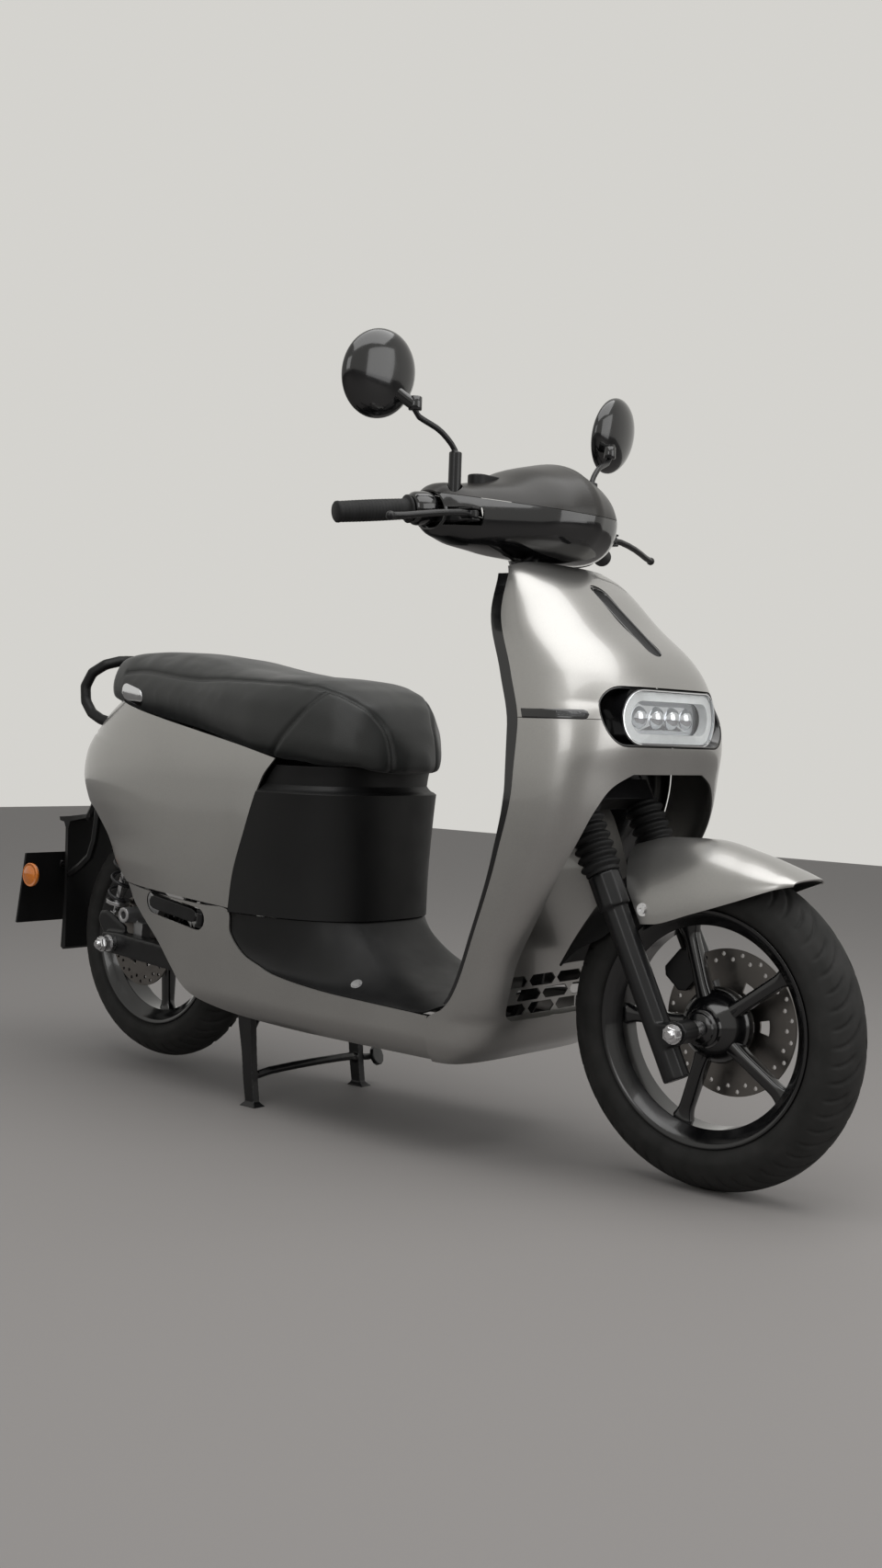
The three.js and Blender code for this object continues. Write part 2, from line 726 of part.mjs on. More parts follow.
function sidePanelSurface(side, u, v) {
  const frontZ = panelFrontBottom + seamGap + v * (panelFrontTop - panelFrontBottom);
  const rearZ = panelRearBottom + seamGap + v * (panelRearTop - panelRearBottom);
  const run = 1 - Math.pow(1 - u, panelWrap);
  const x = panelFrontAt(frontZ) * (1 - run) + panelRearAt(rearZ) * run;
  const z = frontZ * (1 - run) + rearZ * run;
  return at(x, side * flankHalfWidth(x, z), z);
}

sides.forEach(([name, side]) => {
  const skin = sheet(
    (u, v) => sidePanelSurface(side, 1 - u, v),
    side * coverWall,
    panelStepsAlong,
    panelStepsUp,
  );
  add(`side_panel_${name}`, skin, "silverPaint");
});

// Under-seat cover: wraps round the front, from the seam above the floor to the neck under the seat
const coverNose = -27;
const coverFullness = 2.9;
const coverBottom = 361;
const coverNeckTop = 634;
const coverShoulder = 585;
const coverNeckInset = 18;
const coverHeightShares = [0, 0.22, 0.45, 0.68, 0.8, 0.845, 0.9, 1];
const coverRise = coverNeckTop - coverBottom;
const coverStepsAround = 12;
const shoulderRound = 14;

function coverInset(height) {
  const run = (height - coverShoulder) / shoulderRound;
  return coverNeckInset * Math.min(1, Math.max(0, run)) ** 0.5;
}

function coverPlan(around, height) {
  const turn = (around * Math.PI) / 2;
  const edge = panelFrontAt(height) + 3 * seamGap;
  const inset = coverInset(height);
  const half = flankHalfWidth(edge, height) - inset;
  const reach = Math.pow(Math.max(0, Math.cos(turn)), 2 / coverFullness);
  const spread = Math.pow(Math.abs(Math.sin(turn)), 2 / coverFullness);
  const nose = coverNose - inset;
  return at(edge + (nose - edge) * reach, Math.sign(around) * half * spread, height);
}

add(
  "under_seat_cover",
  sheet(
    (u, v) => {
      const place = v * (coverHeightShares.length - 1);
      const low = Math.min(coverHeightShares.length - 2, Math.floor(place));
      const share = THREE.MathUtils.lerp(coverHeightShares[low], coverHeightShares[low + 1], place - low);
      return coverPlan(2 * u - 1, coverBottom + share * coverRise);
    },
    coverWall,
    coverStepsAround,
    coverHeightShares.length - 1,
  ),
  "blackPlastic",
);

// Floorboard: from the cover's foot out to the sills and forward to the inner leg shield
const floorFrontX = 246;
const floorFrontZ = 257;
const floorEdgeInset = 4.5;
const floorEdgeRise = 1;
const floorFootPower = 3.2;
const floorStepsAround = 18;
const floorStepsOut = 4;
const floorSideShare = 0.38;
const floorEdgeStart = 0.37;
const floorEdgeEnd = 0.97;

function floorRim(u) {
  const mirror = u > 0.5 ? 1 : -1;
  const way = u > 0.5 ? 1 - u : u;
  const along = Math.min(1, way / floorSideShare);
  const place = sillTopEdge.getPoint(floorEdgeStart + along * (floorEdgeEnd - floorEdgeStart));
  const half = flankHalfWidth(place.x, place.y) - floorEdgeInset;
  if (way <= floorSideShare) return at(place.x, mirror * half, place.y + floorEdgeRise);
  const turn = ((way - floorSideShare) / (0.5 - floorSideShare)) * (Math.PI / 2);
  const x = place.x + (floorFrontX - place.x) * Math.pow(Math.sin(turn), 0.6);
  const z = place.y + floorEdgeRise + (floorFrontZ - place.y - floorEdgeRise) * Math.sin(turn);
  return at(x, mirror * half * Math.pow(Math.cos(turn), 0.6), z);
}

add(
  "floorboard",
  sheet(
    (u, v) => {
      const inner = coverPlan(2 * u - 1, coverBottom - 2 * coverWall);
      const outer = floorRim(u);
      const drop = 1 - Math.pow(1 - v, floorFootPower);
      const z = inner.z + (outer.z - inner.z) * drop;
      return at(inner.x + (outer.x - inner.x) * v, inner.y + (outer.y - inner.y) * v, z);
    },
    coverWall,
    floorStepsAround,
    floorStepsOut,
  ),
  "blackPlastic",
);

// Places along the scooter and up it, as shares of the flank's length and height.
function sideSpots(shares) {
  return shares.map(([a, b]) => [a * flankLength, b * flankHeight]);
}

// Places in space, as shares of the flank's length, the body's half width and the flank's height.
function spots(shares, side = 1) {
  return shares.map(([a, b, c]) => at(a * flankLength, side * b * bodyHalfWidth, c * flankHeight));
}

function spot(share, side = 1) {
  return spots([share], side)[0];
}

// Rectangular rings between which a strut tapers.
function strut(centres, halfX, halfY) {
  const corners = [[-1, -1], [1, -1], [1, 1], [-1, 1]];
  return lofted(
    centres.map((centre, i) =>
      corners.map(([a, b]) => at(centre.x + a * halfX[i], centre.y + b * halfY[i], centre.z)),
    ),
  );
}

// Steering column and fork sizes, along the steering axis from the ground
const stemRadius = 14;
const collarRadius = 22;
const headTubeRadius = 27;
const headTubeFoot = 725;
const headTubeTop = 905;
const columnSides = 14;
const tubeSides = 10;
const legHalfSpan = 90;
const tubeRadius = 16.5;
const tubeFoot = 330;
const tubeTop = 720;
const bridgeFoot = 665;
const bridgeTop = 700;
const stemTop = 1150;
const headNutTop = 926;

// Main frame
const downTubeRadius = 18;
const railRadius = 14;
const frameSides = 8;
const postRadius = 12;
const swingPivot = spot([-0.50575, 0, 0.29747]);
const swingPinRadius = 8;
const swingPlateInner = 90;
const swingPlateOuter = 98;
const swingPinInner = 70;
const standPivot = spot([-0.40153, 0, 0.20886]);
const standPinRadius = 8;
const standLugInner = 88;
const standLugOuter = 96;
const shockTopPin = spot([-0.98084, 0, 0.71519]);
const shockFootPin = spot([-1.08506, 0, 0.37975]);
const shockHalfSpan = 101;
const shockPinRadius = 6;
const shockPinInner = 86;
const seatHinge = spot([-0.04598, 0, 0.81266]);
const hingePinRadius = 4;
const hingeKnuckleRadius = 7;
const hingeKnuckleHalfWidth = 12;
const hingeLugWidth = 8;
const frameEndX = -726;
const frameEndThickness = 6;
const frameEndHalfWidth = 122;
const frameEndTopHalfWidth = 103;
const frameEndStep = 682;
const frameEndBottom = 650;
const frameEndTop = 712;
const bucketRimBottom = 656;
const crossRadius = 8;
const downTubeShares = [
  [0.5395, 0.9468], [0.4567, 0.8228], [0.4552, 0.7595], [0.4782, 0.6076], [0.4628, 0.4177],
  [0.4352, 0.3038], [0.4015, 0.2595],
];
const frontRailShares = [
  [0.4015, 0, 0.2595], [0.3954, 0.3398, 0.2595], [0.3448, 0.5097, 0.2595], [0.1839, 0.5097, 0.2595],
  [-0.1533, 0.5097, 0.2595], [-0.4138, 0.5097, 0.2595], [-0.518, 0.5728, 0.3038],
  [-0.5747, 0.6359, 0.4177], [-0.6284, 0.6602, 0.5443], [-0.7356, 0.6505, 0.7468],
  [-0.8582, 0.5922, 0.8228], [-0.9808, 0.5631, 0.8405], [-1.1065, 0.5437, 0.8443],
];
const postShares = [[-0.1226, 0, 0.2595], [-0.1226, 0, 0.8101]];
const postBridgeShares = [[-0.1226, -0.5097, 0.2595], [-0.1226, 0.5097, 0.2595]];
const rearCrossShares = [[-0.613, -0.6602, 0.5038], [-0.613, 0.6602, 0.5038]];
const bucketCrossShares = [[-0.7356, -0.6505, 0.7418], [-0.7356, 0.6505, 0.7418]];
const swingPlateShares = [
  [-0.5395, 0.2848], [-0.5211, 0.2722], [-0.4874, 0.2722], [-0.4598, 0.281], [-0.4536, 0.3165],
  [-0.5057, 0.3316], [-0.5456, 0.3316],
];
const standLugShares = [
  [-0.4352, 0.2532], [-0.4352, 0.2089], [-0.423, 0.1924], [-0.3831, 0.1899], [-0.3402, 0.2089],
  [-0.3004, 0.2304], [-0.2544, 0.2405], [-0.2544, 0.2582],
];
const shockLugShares = [
  [-1.0023, 0.7165], [-0.9962, 0.7038], [-0.9655, 0.7038], [-0.9563, 0.7165], [-0.9257, 0.8228],
  [-1.0115, 0.8354],
];
const shockLugInner = 113;
const shockLugOuter = 125;
const hingeArmHalfWidth = 12;
const hingeArmBottom = 636;
const hingeArmTop = 648;
const pegLugInner = 138;
const pegLugOuter = 168;
const pegLugBack = 149;
const pegLugHalfLength = 10;
const pegLugThickness = 5;
const pegPinY = 163;

function fromFootToTop(lowUp, highUp, radius, sides, left = 0, ahead = 0) {
  return rod(onFork(ahead, left, lowUp), onFork(ahead, left, highUp), radius, sides);
}

function acrossPin(centre, fromY, toY, radius, sides) {
  return rod(at(centre.x, fromY, centre.z), at(centre.x, toY, centre.z), radius, sides);
}

// A block on the tilted line of the footpegs: along the peg, upwards, and between two sides.
function pegBlock(side, alongLow, alongHigh, halfHeight, innerY, outerY, lift = 0) {
  const [low, high] = side > 0 ? [innerY, outerY] : [-outerY, -innerY];
  return extruded(
    [
      [alongLow, lift - halfHeight],
      [alongHigh, lift - halfHeight],
      [alongHigh, lift + halfHeight],
      [alongLow, lift + halfHeight],
    ],
    pegAhead,
    pegUpward,
    at(pegX, high, pegZ),
    high - low,
  );
}

const pegHingeAlong = (pegHingeX - pegX) / Math.cos(pegSlope);

function pegHingePoint(side, lift) {
  return at(pegX, side * pegPinY, pegZ)
    .addScaledVector(pegAhead, pegHingeAlong)
    .addScaledVector(pegUpward, lift);
}

const headTube = cut(
  joined(
    fromFootToTop(headTubeFoot, headTubeTop, headTubeRadius, columnSides),
    bentBar(
      sideSpots(downTubeShares).map(([x, z]) => at(x, 0, z)),
      downTubeRadius,
      frameSides,
      9,
    ),
  ),
  fromFootToTop(
    headTubeFoot - cutOverrun,
    headTubeTop + cutOverrun,
    boreFor(stemRadius, columnSides),
    columnSides,
  ),
);
const pegPlateLift = pegHingeHalfHeight + runningGap + pegLugThickness / 2;

function frameSide(side) {
  const outward = (inner, outer) => (side > 0 ? [inner, outer] : [-outer, -inner]);
  const swingY = outward(swingPlateInner, swingPlateOuter);
  const standY = outward(standLugInner, standLugOuter);
  const shockY = outward(shockLugInner, shockLugOuter);
  const standBore = acrossPin(
    standPivot,
    standY[0] - cutOverrun,
    standY[1] + cutOverrun,
    boreFor(standPinRadius, frameSides),
    frameSides,
  );
  return joined(
    bentBar(spots(frontRailShares, side), railRadius, frameSides, 13),
    slabAcross(sideSpots(swingPlateShares), swingY[0], swingY[1]),
    acrossPin(swingPivot, side * swingPinInner, side * swingPlateOuter, swingPinRadius, frameSides),
    cut(slabAcross(sideSpots(standLugShares), standY[0], standY[1]), standBore),
    slabAcross(sideSpots(shockLugShares), shockY[0], shockY[1]),
    acrossPin(shockTopPin, side * shockPinInner, side * shockLugOuter, shockPinRadius, frameSides),
    pegBlock(
      side,
      pegHingeAlong - pegLugHalfLength,
      pegHingeAlong + pegLugHalfLength,
      pegPlateLift + pegLugThickness / 2,
      pegLugInner,
      pegLugBack,
    ),
    pegBlock(
      side,
      pegHingeAlong - pegLugHalfLength,
      pegHingeAlong + pegLugHalfLength,
      pegLugThickness / 2,
      pegLugBack - seatGap,
      pegLugOuter,
      pegPlateLift,
    ),
    pegBlock(
      side,
      pegHingeAlong - pegLugHalfLength,
      pegHingeAlong + pegLugHalfLength,
      pegLugThickness / 2,
      pegLugBack - seatGap,
      pegLugOuter,
      -pegPlateLift,
    ),
    rod(pegHingePoint(side, -pegPlateLift), pegHingePoint(side, pegPlateLift), pegPinRadius, frameSides),
  );
}

function frameBar(shares, radius) {
  const [from, to] = spots(shares);
  return rod(from, to, radius, frameSides);
}

add(
  "main_frame",
  joined(
    headTube,
    frameSide(-1),
    frameSide(1),
    frameBar(postShares, postRadius),
    frameBar(postBridgeShares, postRadius),
    frameBar(rearCrossShares, crossRadius),
    frameBar(bucketCrossShares, crossRadius),
    block(
      spot(postShares[1]).x - postRadius,
      seatHinge.x,
      -hingeArmHalfWidth,
      hingeArmHalfWidth,
      hingeArmBottom,
      hingeArmTop,
    ),
    acrossPin(seatHinge, -hingeKnuckleHalfWidth, hingeKnuckleHalfWidth, hingeKnuckleRadius, frameSides),
    acrossPin(
      seatHinge,
      -hingeKnuckleHalfWidth - hingeLugWidth,
      hingeKnuckleHalfWidth + hingeLugWidth,
      hingePinRadius,
      frameSides,
    ),
    block(
      frameEndX,
      frameEndX + frameEndThickness,
      -frameEndHalfWidth,
      frameEndHalfWidth,
      frameEndBottom,
      frameEndStep,
    ),
    block(
      frameEndX,
      frameEndX + frameEndThickness,
      -frameEndTopHalfWidth,
      frameEndTopHalfWidth,
      frameEndBottom,
      frameEndTop,
    ),
  ),
  "frameSteel",
);

// Storage bucket under the seat, with the battery ahead of it
const bucketHalfWidth = 98;
const bucketWall = 3;
const bucketRim = 4;
const bucketRimReach = 3;
const bucketShares = [
  [-0.4015, 0.8329], [-0.4015, 0.5215], [-0.6437, 0.5215], [-0.6973, 0.7524], [-1.0728, 0.7524],
  [-1.082, 0.8329],
];
const bucketOuter = sideSpots(bucketShares);
const bucketInner = bucketOuter.map(([x, z], i) => [
  x + (i < 2 || i === 2 ? -1 : 1) * bucketWall,
  i === 0 || i === 5 ? z + cutOverrun : z + bucketWall,
]);
bucketInner[2][0] = bucketOuter[2][0] + bucketWall;
const bucketShell = joined(
  slabAcross(bucketOuter, -bucketHalfWidth, bucketHalfWidth),
  block(
    bucketOuter[5][0] - bucketRimReach,
    bucketOuter[0][0] + bucketRimReach,
    -bucketHalfWidth - bucketRimReach,
    bucketHalfWidth + bucketRimReach,
    bucketRimBottom,
    bucketRimBottom + bucketRim,
  ),
);
add(
  "storage_bucket",
  cut(
    bucketShell,
    slabAcross(bucketInner, -bucketHalfWidth + bucketWall, bucketHalfWidth - bucketWall),
  ),
  "blackPlastic",
);

const batteryRear = -245;
const batteryFront = -98;
const batteryHalfWidth = 92;
const batteryBottom = 262;
const batteryTop = 560;
const batteryHandleRadius = 7;
const batteryHandleShares = [
  [-0.2621, -0.2913, 0.6987], [-0.2621, -0.2913, 0.7405], [-0.2621, 0, 0.7494],
  [-0.2621, 0.2913, 0.7405], [-0.2621, 0.2913, 0.6987],
];
add(
  "battery_pack",
  joined(
    block(batteryRear, batteryFront, -batteryHalfWidth, batteryHalfWidth, batteryBottom, batteryTop),
    bentBar(spots(batteryHandleShares), batteryHandleRadius, 8, 10),
  ),
  "batteryGreen",
);

// Tail light between the side panels
const tailLightBottom = 560;
const tailLightTop = 676;
const tailLightWall = 14;
const tailLightReachShare = 0.995;
const tailLightMountHalfWidth = 12;

function tailSurface(across, height) {
  const half = across * tailLightHalfAt(height);
  const full = tailFullnessAt(height);
  const bulge = Math.pow(1 - Math.pow(Math.abs(half) / tailHalfWidth, full), 1 / full);
  return at(tailStart - (tailReachAt(height) + tailStart) * bulge, half, height);
}

function tailLightHalfAt(height) {
  return flankHalfWidth(panelRearAt(height), height) - 2 * seamGap;
}

add(
  "tail_light",
  joined(
    sheet(
      (u, v) => tailSurface(1 - 2 * u, tailLightBottom + v * (tailLightTop - tailLightBottom)),
      -tailLightWall,
      8,
      4,
    ),
    block(
      -tailReach * tailLightReachShare,
      frameEndX - seatGap,
      -tailLightMountHalfWidth,
      tailLightMountHalfWidth,
      frameEndBottom,
      frameEndBottom + 2 * tailLightMountHalfWidth,
    ),
  ),
  "redLens",
);

// Grab rail behind the seat
const grabRadius = 12;
const grabShares = [
  [-1.131, 0.4078, 0.8835], [-1.2031, 0.4126, 0.8899], [-1.269, 0.4126, 0.9139],
  [-1.3027, 0.4078, 0.962], [-1.2812, 0.3786, 1.0127], [-1.2352, 0.2524, 1.043], [-1.2199, 0, 1.0506],
];
const grabHalf = spots(grabShares);
const grabPoints = [
  at(frameEndX - seatGap, grabHalf[0].y, grabHalf[0].z),
  ...grabHalf,
  ...grabHalf.slice(0, -1).reverse().map((point) => at(point.x, -point.y, point.z)),
  at(frameEndX - seatGap, -grabHalf[0].y, grabHalf[0].z),
];
add("grab_rail", bentBar(grabPoints, grabRadius, 8, 18), "blackPlastic");

// Rear mudguard with its stays and the plate carrier
const flapShares = [
  [-1.4406, 0.6253], [-1.4375, 0.6152], [-1.4161, 0.6127], [-1.4069, 0.5975], [-1.4038, 0.4177],
  [-1.4161, 0.2734], [-1.4038, 0.2671], [-1.3931, 0.2734], [-1.3916, 0.4177], [-1.3931, 0.5949],
  [-1.3839, 0.6152], [-1.2812, 0.6316], [-1.2812, 0.6405], [-1.387, 0.6291],
];
const flapHalfWidth = 72;
const plateShares = [[-1.4682, 0.5266], [-1.4605, 0.5278], [-1.5027, 0.3367], [-1.5103, 0.338]];
const plateHalfWidth = 145;
const plateArmShares = [[-1.4743, 0.4962], [-1.4805, 0.4633], [-1.3977, 0.4456], [-1.3977, 0.4861]];
const plateArmHalfWidth = 30;
const stayRadius = 8;
const stayShares = [
  [-1.128, 0.4078, 0.8367], [-1.1648, 0.3883, 0.7975], [-1.2261, 0.3592, 0.7215],
  [-1.2751, 0.3204, 0.6582], [-1.3057, 0.3107, 0.6253],
];
const strapShares = [
  [-1.2261, 0.3689, 0.7089], [-1.2352, 0.3835, 0.5949], [-1.2536, 0.3981, 0.5316],
  [-1.3149, 0.3883, 0.4962], [-1.4008, 0.301, 0.4709],
];
const stayPadHalf = 9;

function mudguardSide(side) {
  const [foot] = spots(stayShares, side);
  return joined(
    bentBar(spots(stayShares, side), stayRadius, 6, 6),
    bentBar(spots(strapShares, side), stayRadius, 6, 7),
    block(
      foot.x - stayPadHalf / 2,
      frameEndX - seatGap,
      foot.y - stayPadHalf,
      foot.y + stayPadHalf,
      foot.z - stayPadHalf,
      foot.z + stayPadHalf,
    ),
  );
}

add(
  "rear_mudguard",
  joined(
    slabAcross(sideSpots(flapShares), -flapHalfWidth, flapHalfWidth),
    slabAcross(sideSpots(plateShares), -plateHalfWidth, plateHalfWidth),
    slabAcross(sideSpots(plateArmShares), -plateArmHalfWidth, plateArmHalfWidth),
    mudguardSide(-1),
    mudguardSide(1),
  ),
  "blackPlastic",
);

// Seat: a stiff base with hinge lugs, and the cushion on it
const seatPlateShares = [
  [-1.1877, 0.9848], [-1.1034, 0.9722], [-1.0115, 0.9519], [-0.8828, 0.9304], [-0.6713, 0.8962],
  [-0.4628, 0.8608], [-0.2529, 0.8304], [-0.092, 0.8253], [0.0307, 0.8253],
];
const seatBottomShares = [
  [-1.1877, 0.9848], [-1.1034, 0.9722], [-1.0115, 0.9519], [-0.8828, 0.9304], [-0.6713, 0.8962],
  [-0.5042, 0.8646], [-0.3923, 0.843], [-0.2866, 0.8215], [-0.1992, 0.8076], [-0.1165, 0.7975],
  [-0.0368, 0.7911], [0.0307, 0.7899],
];
const seatTopShares = [
  [-1.1877, 1.0127], [-1.1571, 1.0456], [-1.1402, 1.0557], [-1.0728, 1.0658], [-0.9762, 1.0696],
  [-0.8276, 1.0658], [-0.7203, 1.0582], [-0.5579, 1.0316], [-0.4015, 1.0114], [-0.2345, 1.0063],
  [-0.1686, 0.9962], [-0.1073, 0.9772], [-0.046, 0.943], [-0.0184, 0.9177], [0.0153, 0.8608],
  [0.0307, 0.8354],
];
const seatHalfShares = [
  [-1.1877, 0.0835], [-1.1648, 0.1089], [-1.1188, 0.1291], [-1.0421, 0.1443], [-0.8582, 0.162],
  [-0.659, 0.1848], [-0.5057, 0.2025], [-0.3831, 0.2089], [-0.2452, 0.2], [-0.1226, 0.1797],
  [-0.0613, 0.157], [-0.0153, 0.1241], [0.0153, 0.0785], [0.0307, 0.038],
];
const seatSeamShares = [
  [-1.19, 0.62], [-0.72, 0.6], [-0.51, 0.77], [-0.33, 0.84], [-0.12, 0.88], [0.03, 0.62],
];
const seatBaseThickness = 6;
const seatBaseInset = 14;
const seatRear = -775;
const seatFront = 20;
const seatCrownShare = 0.35;
const seatDrawIn = 16;
const channelDepth = 3;
const channelWidth = 5;
const hingeLugDrop = 8;
const seatStations = [
  0, 0.015, 0.045, 0.1, 0.19, 0.3, 0.42, 0.54, 0.65, 0.74, 0.82, 0.885, 0.935, 0.975, 1,
];
const seatPlateAt = curveThrough(sideSpots(seatPlateShares));
const seatBottomAt = curveThrough(sideSpots(seatBottomShares));
const seatTopAt = curveThrough(sideSpots(seatTopShares));
const seatHalfAt = curveThrough(sideSpots(seatHalfShares));
const seatSeamAt = scaledCurve(seatSeamShares, flankLength, 1);

function seatPlace(share) {
  return seatRear + share * (seatFront - seatRear);
}

// One ring round the cushion: flat underneath, drawn-in sides, a stitched channel and a crowned top.
function cushionRing(x) {
  const half = seatHalfAt(x);
  const low = seatBottomAt(x);
  const rise = Math.max(seatBaseThickness, seatTopAt(x) - low);
  const seam = low + rise * seatSeamAt(x);
  const fit = Math.min(1, rise / (seatTopAt(seatRear / 2) - seatBottomAt(seatRear / 2)));
  const draw = seatDrawIn * fit;
  const groove = channelDepth * fit;
  const band = channelWidth * fit;
  const top = low + rise;
  const shoulder = half - draw;
  const side = [
    [0, low],
    [half - draw, low],
    [half - draw * seatCrownShare, low + rise * 0.04],
    [half, low + rise * 0.26],
    [half - draw * 0.25, low + (seam - low) * 0.75],
    [shoulder, seam - band],
    [shoulder - groove, seam],
    [shoulder - draw * 0.2, seam + band],
    [shoulder * 0.86, seam + (top - seam) * 0.66],
    [shoulder * 0.6, seam + (top - seam) * 0.92],
    [shoulder * 0.3, top - (top - seam) * 0.02],
    [0, top],
  ];
  const left = side.map(([y, z]) => at(x, y, z));
  const right = side.slice(1, -1).reverse().map(([y, z]) => at(x, -y, z));
  return [...left, ...right];
}

const cushionWhole = lofted(seatStations.map((share) => cushionRing(seatPlace(share))));

// The plate under the cushion follows the cushion's underside.
function seatPlate(low, high, inset, rearX, frontX) {
  return sheet(
    (u, v) => {
      const x = rearX + v * (frontX - rearX);
      const half = Math.max(seatBaseInset, seatHalfAt(x) - seatDrawIn - seatBaseInset - inset);
      return at(x, (2 * u - 1) * half, seatPlateAt(x) + high);
    },
    high - low,
    2,
    12,
  );
}

const plateRear = seatRear + 3 * seatBaseInset;
const plateFront = seatFront - 2 * seatBaseInset;
const seatPlateSolid = seatPlate(0, seatBaseThickness, seatBaseInset / 2, plateRear, plateFront);
const seatPocket = seatPlate(
  -cutOverrun / 2,
  seatBaseThickness + seatGap,
  seatBaseInset / 2 - seatGap,
  plateRear - seatGap,
  plateFront + seatGap,
);

// The room under the cushion for the cover's neck, long enough in front for the seat to swing open.
const neckRoomAhead = 30;
const neckRoomBeside = 3;
const neckRoomShare = 1.02;
const neckSteps = 12;
const neckOutline = [];
for (let i = 0; i <= neckSteps; i++) {
  const place = coverPlan((2 * i) / neckSteps - 1, coverNeckTop);
  const nearNose = Math.max(0, Math.sin((i / neckSteps) * Math.PI));
  neckOutline.push([
    place.x + neckRoomAhead * Math.min(1, 2 * nearNose),
    place.y * neckRoomShare + Math.sign(place.y) * neckRoomBeside,
  ]);
}
neckOutline.push([neckOutline[neckSteps][0] - cutOverrun, neckOutline[neckSteps][1]]);
neckOutline.unshift([neckOutline[0][0] - cutOverrun, neckOutline[0][1]]);
const neckRoom = slabUp(neckOutline, coverShoulder, coverNeckTop + 2 * runningGap);

function seatLug(side) {
  const inner = hingeKnuckleHalfWidth + runningGap;
  const [low, high] = side > 0
    ? [inner, inner + hingeLugWidth]
    : [-inner - hingeLugWidth, -inner];
  return block(
    seatHinge.x - hingeLugDrop,
    seatHinge.x + hingeLugDrop,
    low,
    high,
    seatHinge.z - hingeLugDrop,
    seatPlateAt(seatHinge.x) + seatBaseThickness / 2,
  );
}

const seatBore = acrossPin(
  seatHinge,
  -bodyHalfWidth,
  bodyHalfWidth,
  boreFor(hingePinRadius, frameSides),
  frameSides,
);
add("seat_base", cut(joined(seatPlateSolid, seatLug(-1), seatLug(1)), seatBore), "blackPlastic");
add("seat_cushion", cut(cushionWhole, seatPocket, neckRoom), "leather");

// Sizes from shares.
function sized(shares, size) {
  return shares.map((share) => share * size);
}

// Centre stand: two legs on a pivot bar, a bowed crossbar and a pedal
const standLegShares = [
  [-0.4015, 0.6942, 0.2329], [-0.3969, 0.6942, 0.1899], [-0.3862, 0.6942, 0.1266],
  [-0.377, 0.6942, 0.057], [-0.3678, 0.6942, 0.0101], [-0.3648, 0.699, 0],
];
const standLegLength = 17;
const standLegThickness = 9;
const standLegLengthShares = [1.05, 1, 0.8, 0.75, 0.72, 1.25];
const standLegThicknessShares = [0.9, 0.9, 0.9, 0.9, 0.9, 1.6];
const standBraceShares = [
  [-0.3847, 0.6845, 0.1367], [-0.3893, 0.6553, 0.1747], [-0.3954, 0.5825, 0.1975],
  [-0.4, 0.5146, 0.2063],
];
const standBraceRadius = 7;
const standBarRadius = 8;
const standBarShares = [
  [-0.3785, -0.6845, 0.0658], [-0.3556, -0.5437, 0.0785], [-0.3464, 0, 0.0835],
  [-0.3556, 0.5437, 0.0785], [-0.3785, 0.6845, 0.0658],
];
const pedalShares = [
  [-0.3801, 0.6942, 0.0709], [-0.3648, 0.7767, 0.0684], [-0.3494, 0.8641, 0.0709],
  [-0.3433, 0.8738, 0.0722],
];
const pedalPlateShares = [[-0.3525, 0.8641, 0.0696], [-0.3402, 0.8738, 0.0734]];
const pedalPlateRadius = 20;
const pedalRadius = 7;

add(
  "centre_stand",
  joined(
    ...[-1, 1].map((side) =>
      strut(
        spots(standLegShares, side),
        sized(standLegLengthShares, standLegLength),
        sized(standLegThicknessShares, standLegThickness),
      ),
    ),
    acrossPin(
      standPivot,
      spots(standLegShares, -1)[0].y,
      spots(standLegShares, 1)[0].y,
      standPinRadius,
      frameSides,
    ),
    bentBar(spots(standBarShares), standBarRadius, 8, 8),
    bentBar(spots(standBraceShares, -1), standBraceRadius, 6, 4),
    bentBar(spots(standBraceShares), standBraceRadius, 6, 4),
    bentBar(spots(pedalShares), pedalRadius, 6, 4),
    rod(...spots(pedalPlateShares), pedalPlateRadius, 12),
  ),
  "frameSteel",
);

// Passenger footpegs
const pegOuter = 164;
const pegBarRear = -83;
const pegTongueInset = 2;
const pegTongueHalfHeight = 8;
const pegBarFront = pegHingeAlong - pegHingeRadius - 2 * pegBarGap;
const pegBarHalf = (pegBarFront - pegBarRear) / 2;
const pegBarMiddle = (pegBarFront + pegBarRear) / 2;

sides.forEach(([name, side]) => {
  const inner = pegOuter - pegThickness;
  const [low, high] = side > 0 ? [inner, pegOuter] : [-pegOuter, -inner];
  const bar = extruded(
    pillOutline(pegBarMiddle, 0, pegBarHalf, pegHalfHeight, 4),
    pegAhead,
    pegUpward,
    at(pegX, high, pegZ),
    high - low,
  );
  const knuckle = rod(
    pegHingePoint(side, -pegHingeHalfHeight),
    pegHingePoint(side, pegHingeHalfHeight),
    pegHingeRadius,
    12,
  );
  const bore = rod(
    pegHingePoint(side, -pocketHalfHeight),
    pegHingePoint(side, pocketHalfHeight),
    boreFor(pegPinRadius, frameSides),
    frameSides,
  );
  const tongue = pegBlock(
    side,
    pegBarFront - pegHalfHeight,
    pegHingeAlong,
    pegTongueHalfHeight,
    inner + pegTongueInset,
    pegOuter - pegTongueInset,
  );
  add(`footpeg_${name}`, cut(joined(bar, tongue, knuckle), bore), "frameSteel");
});

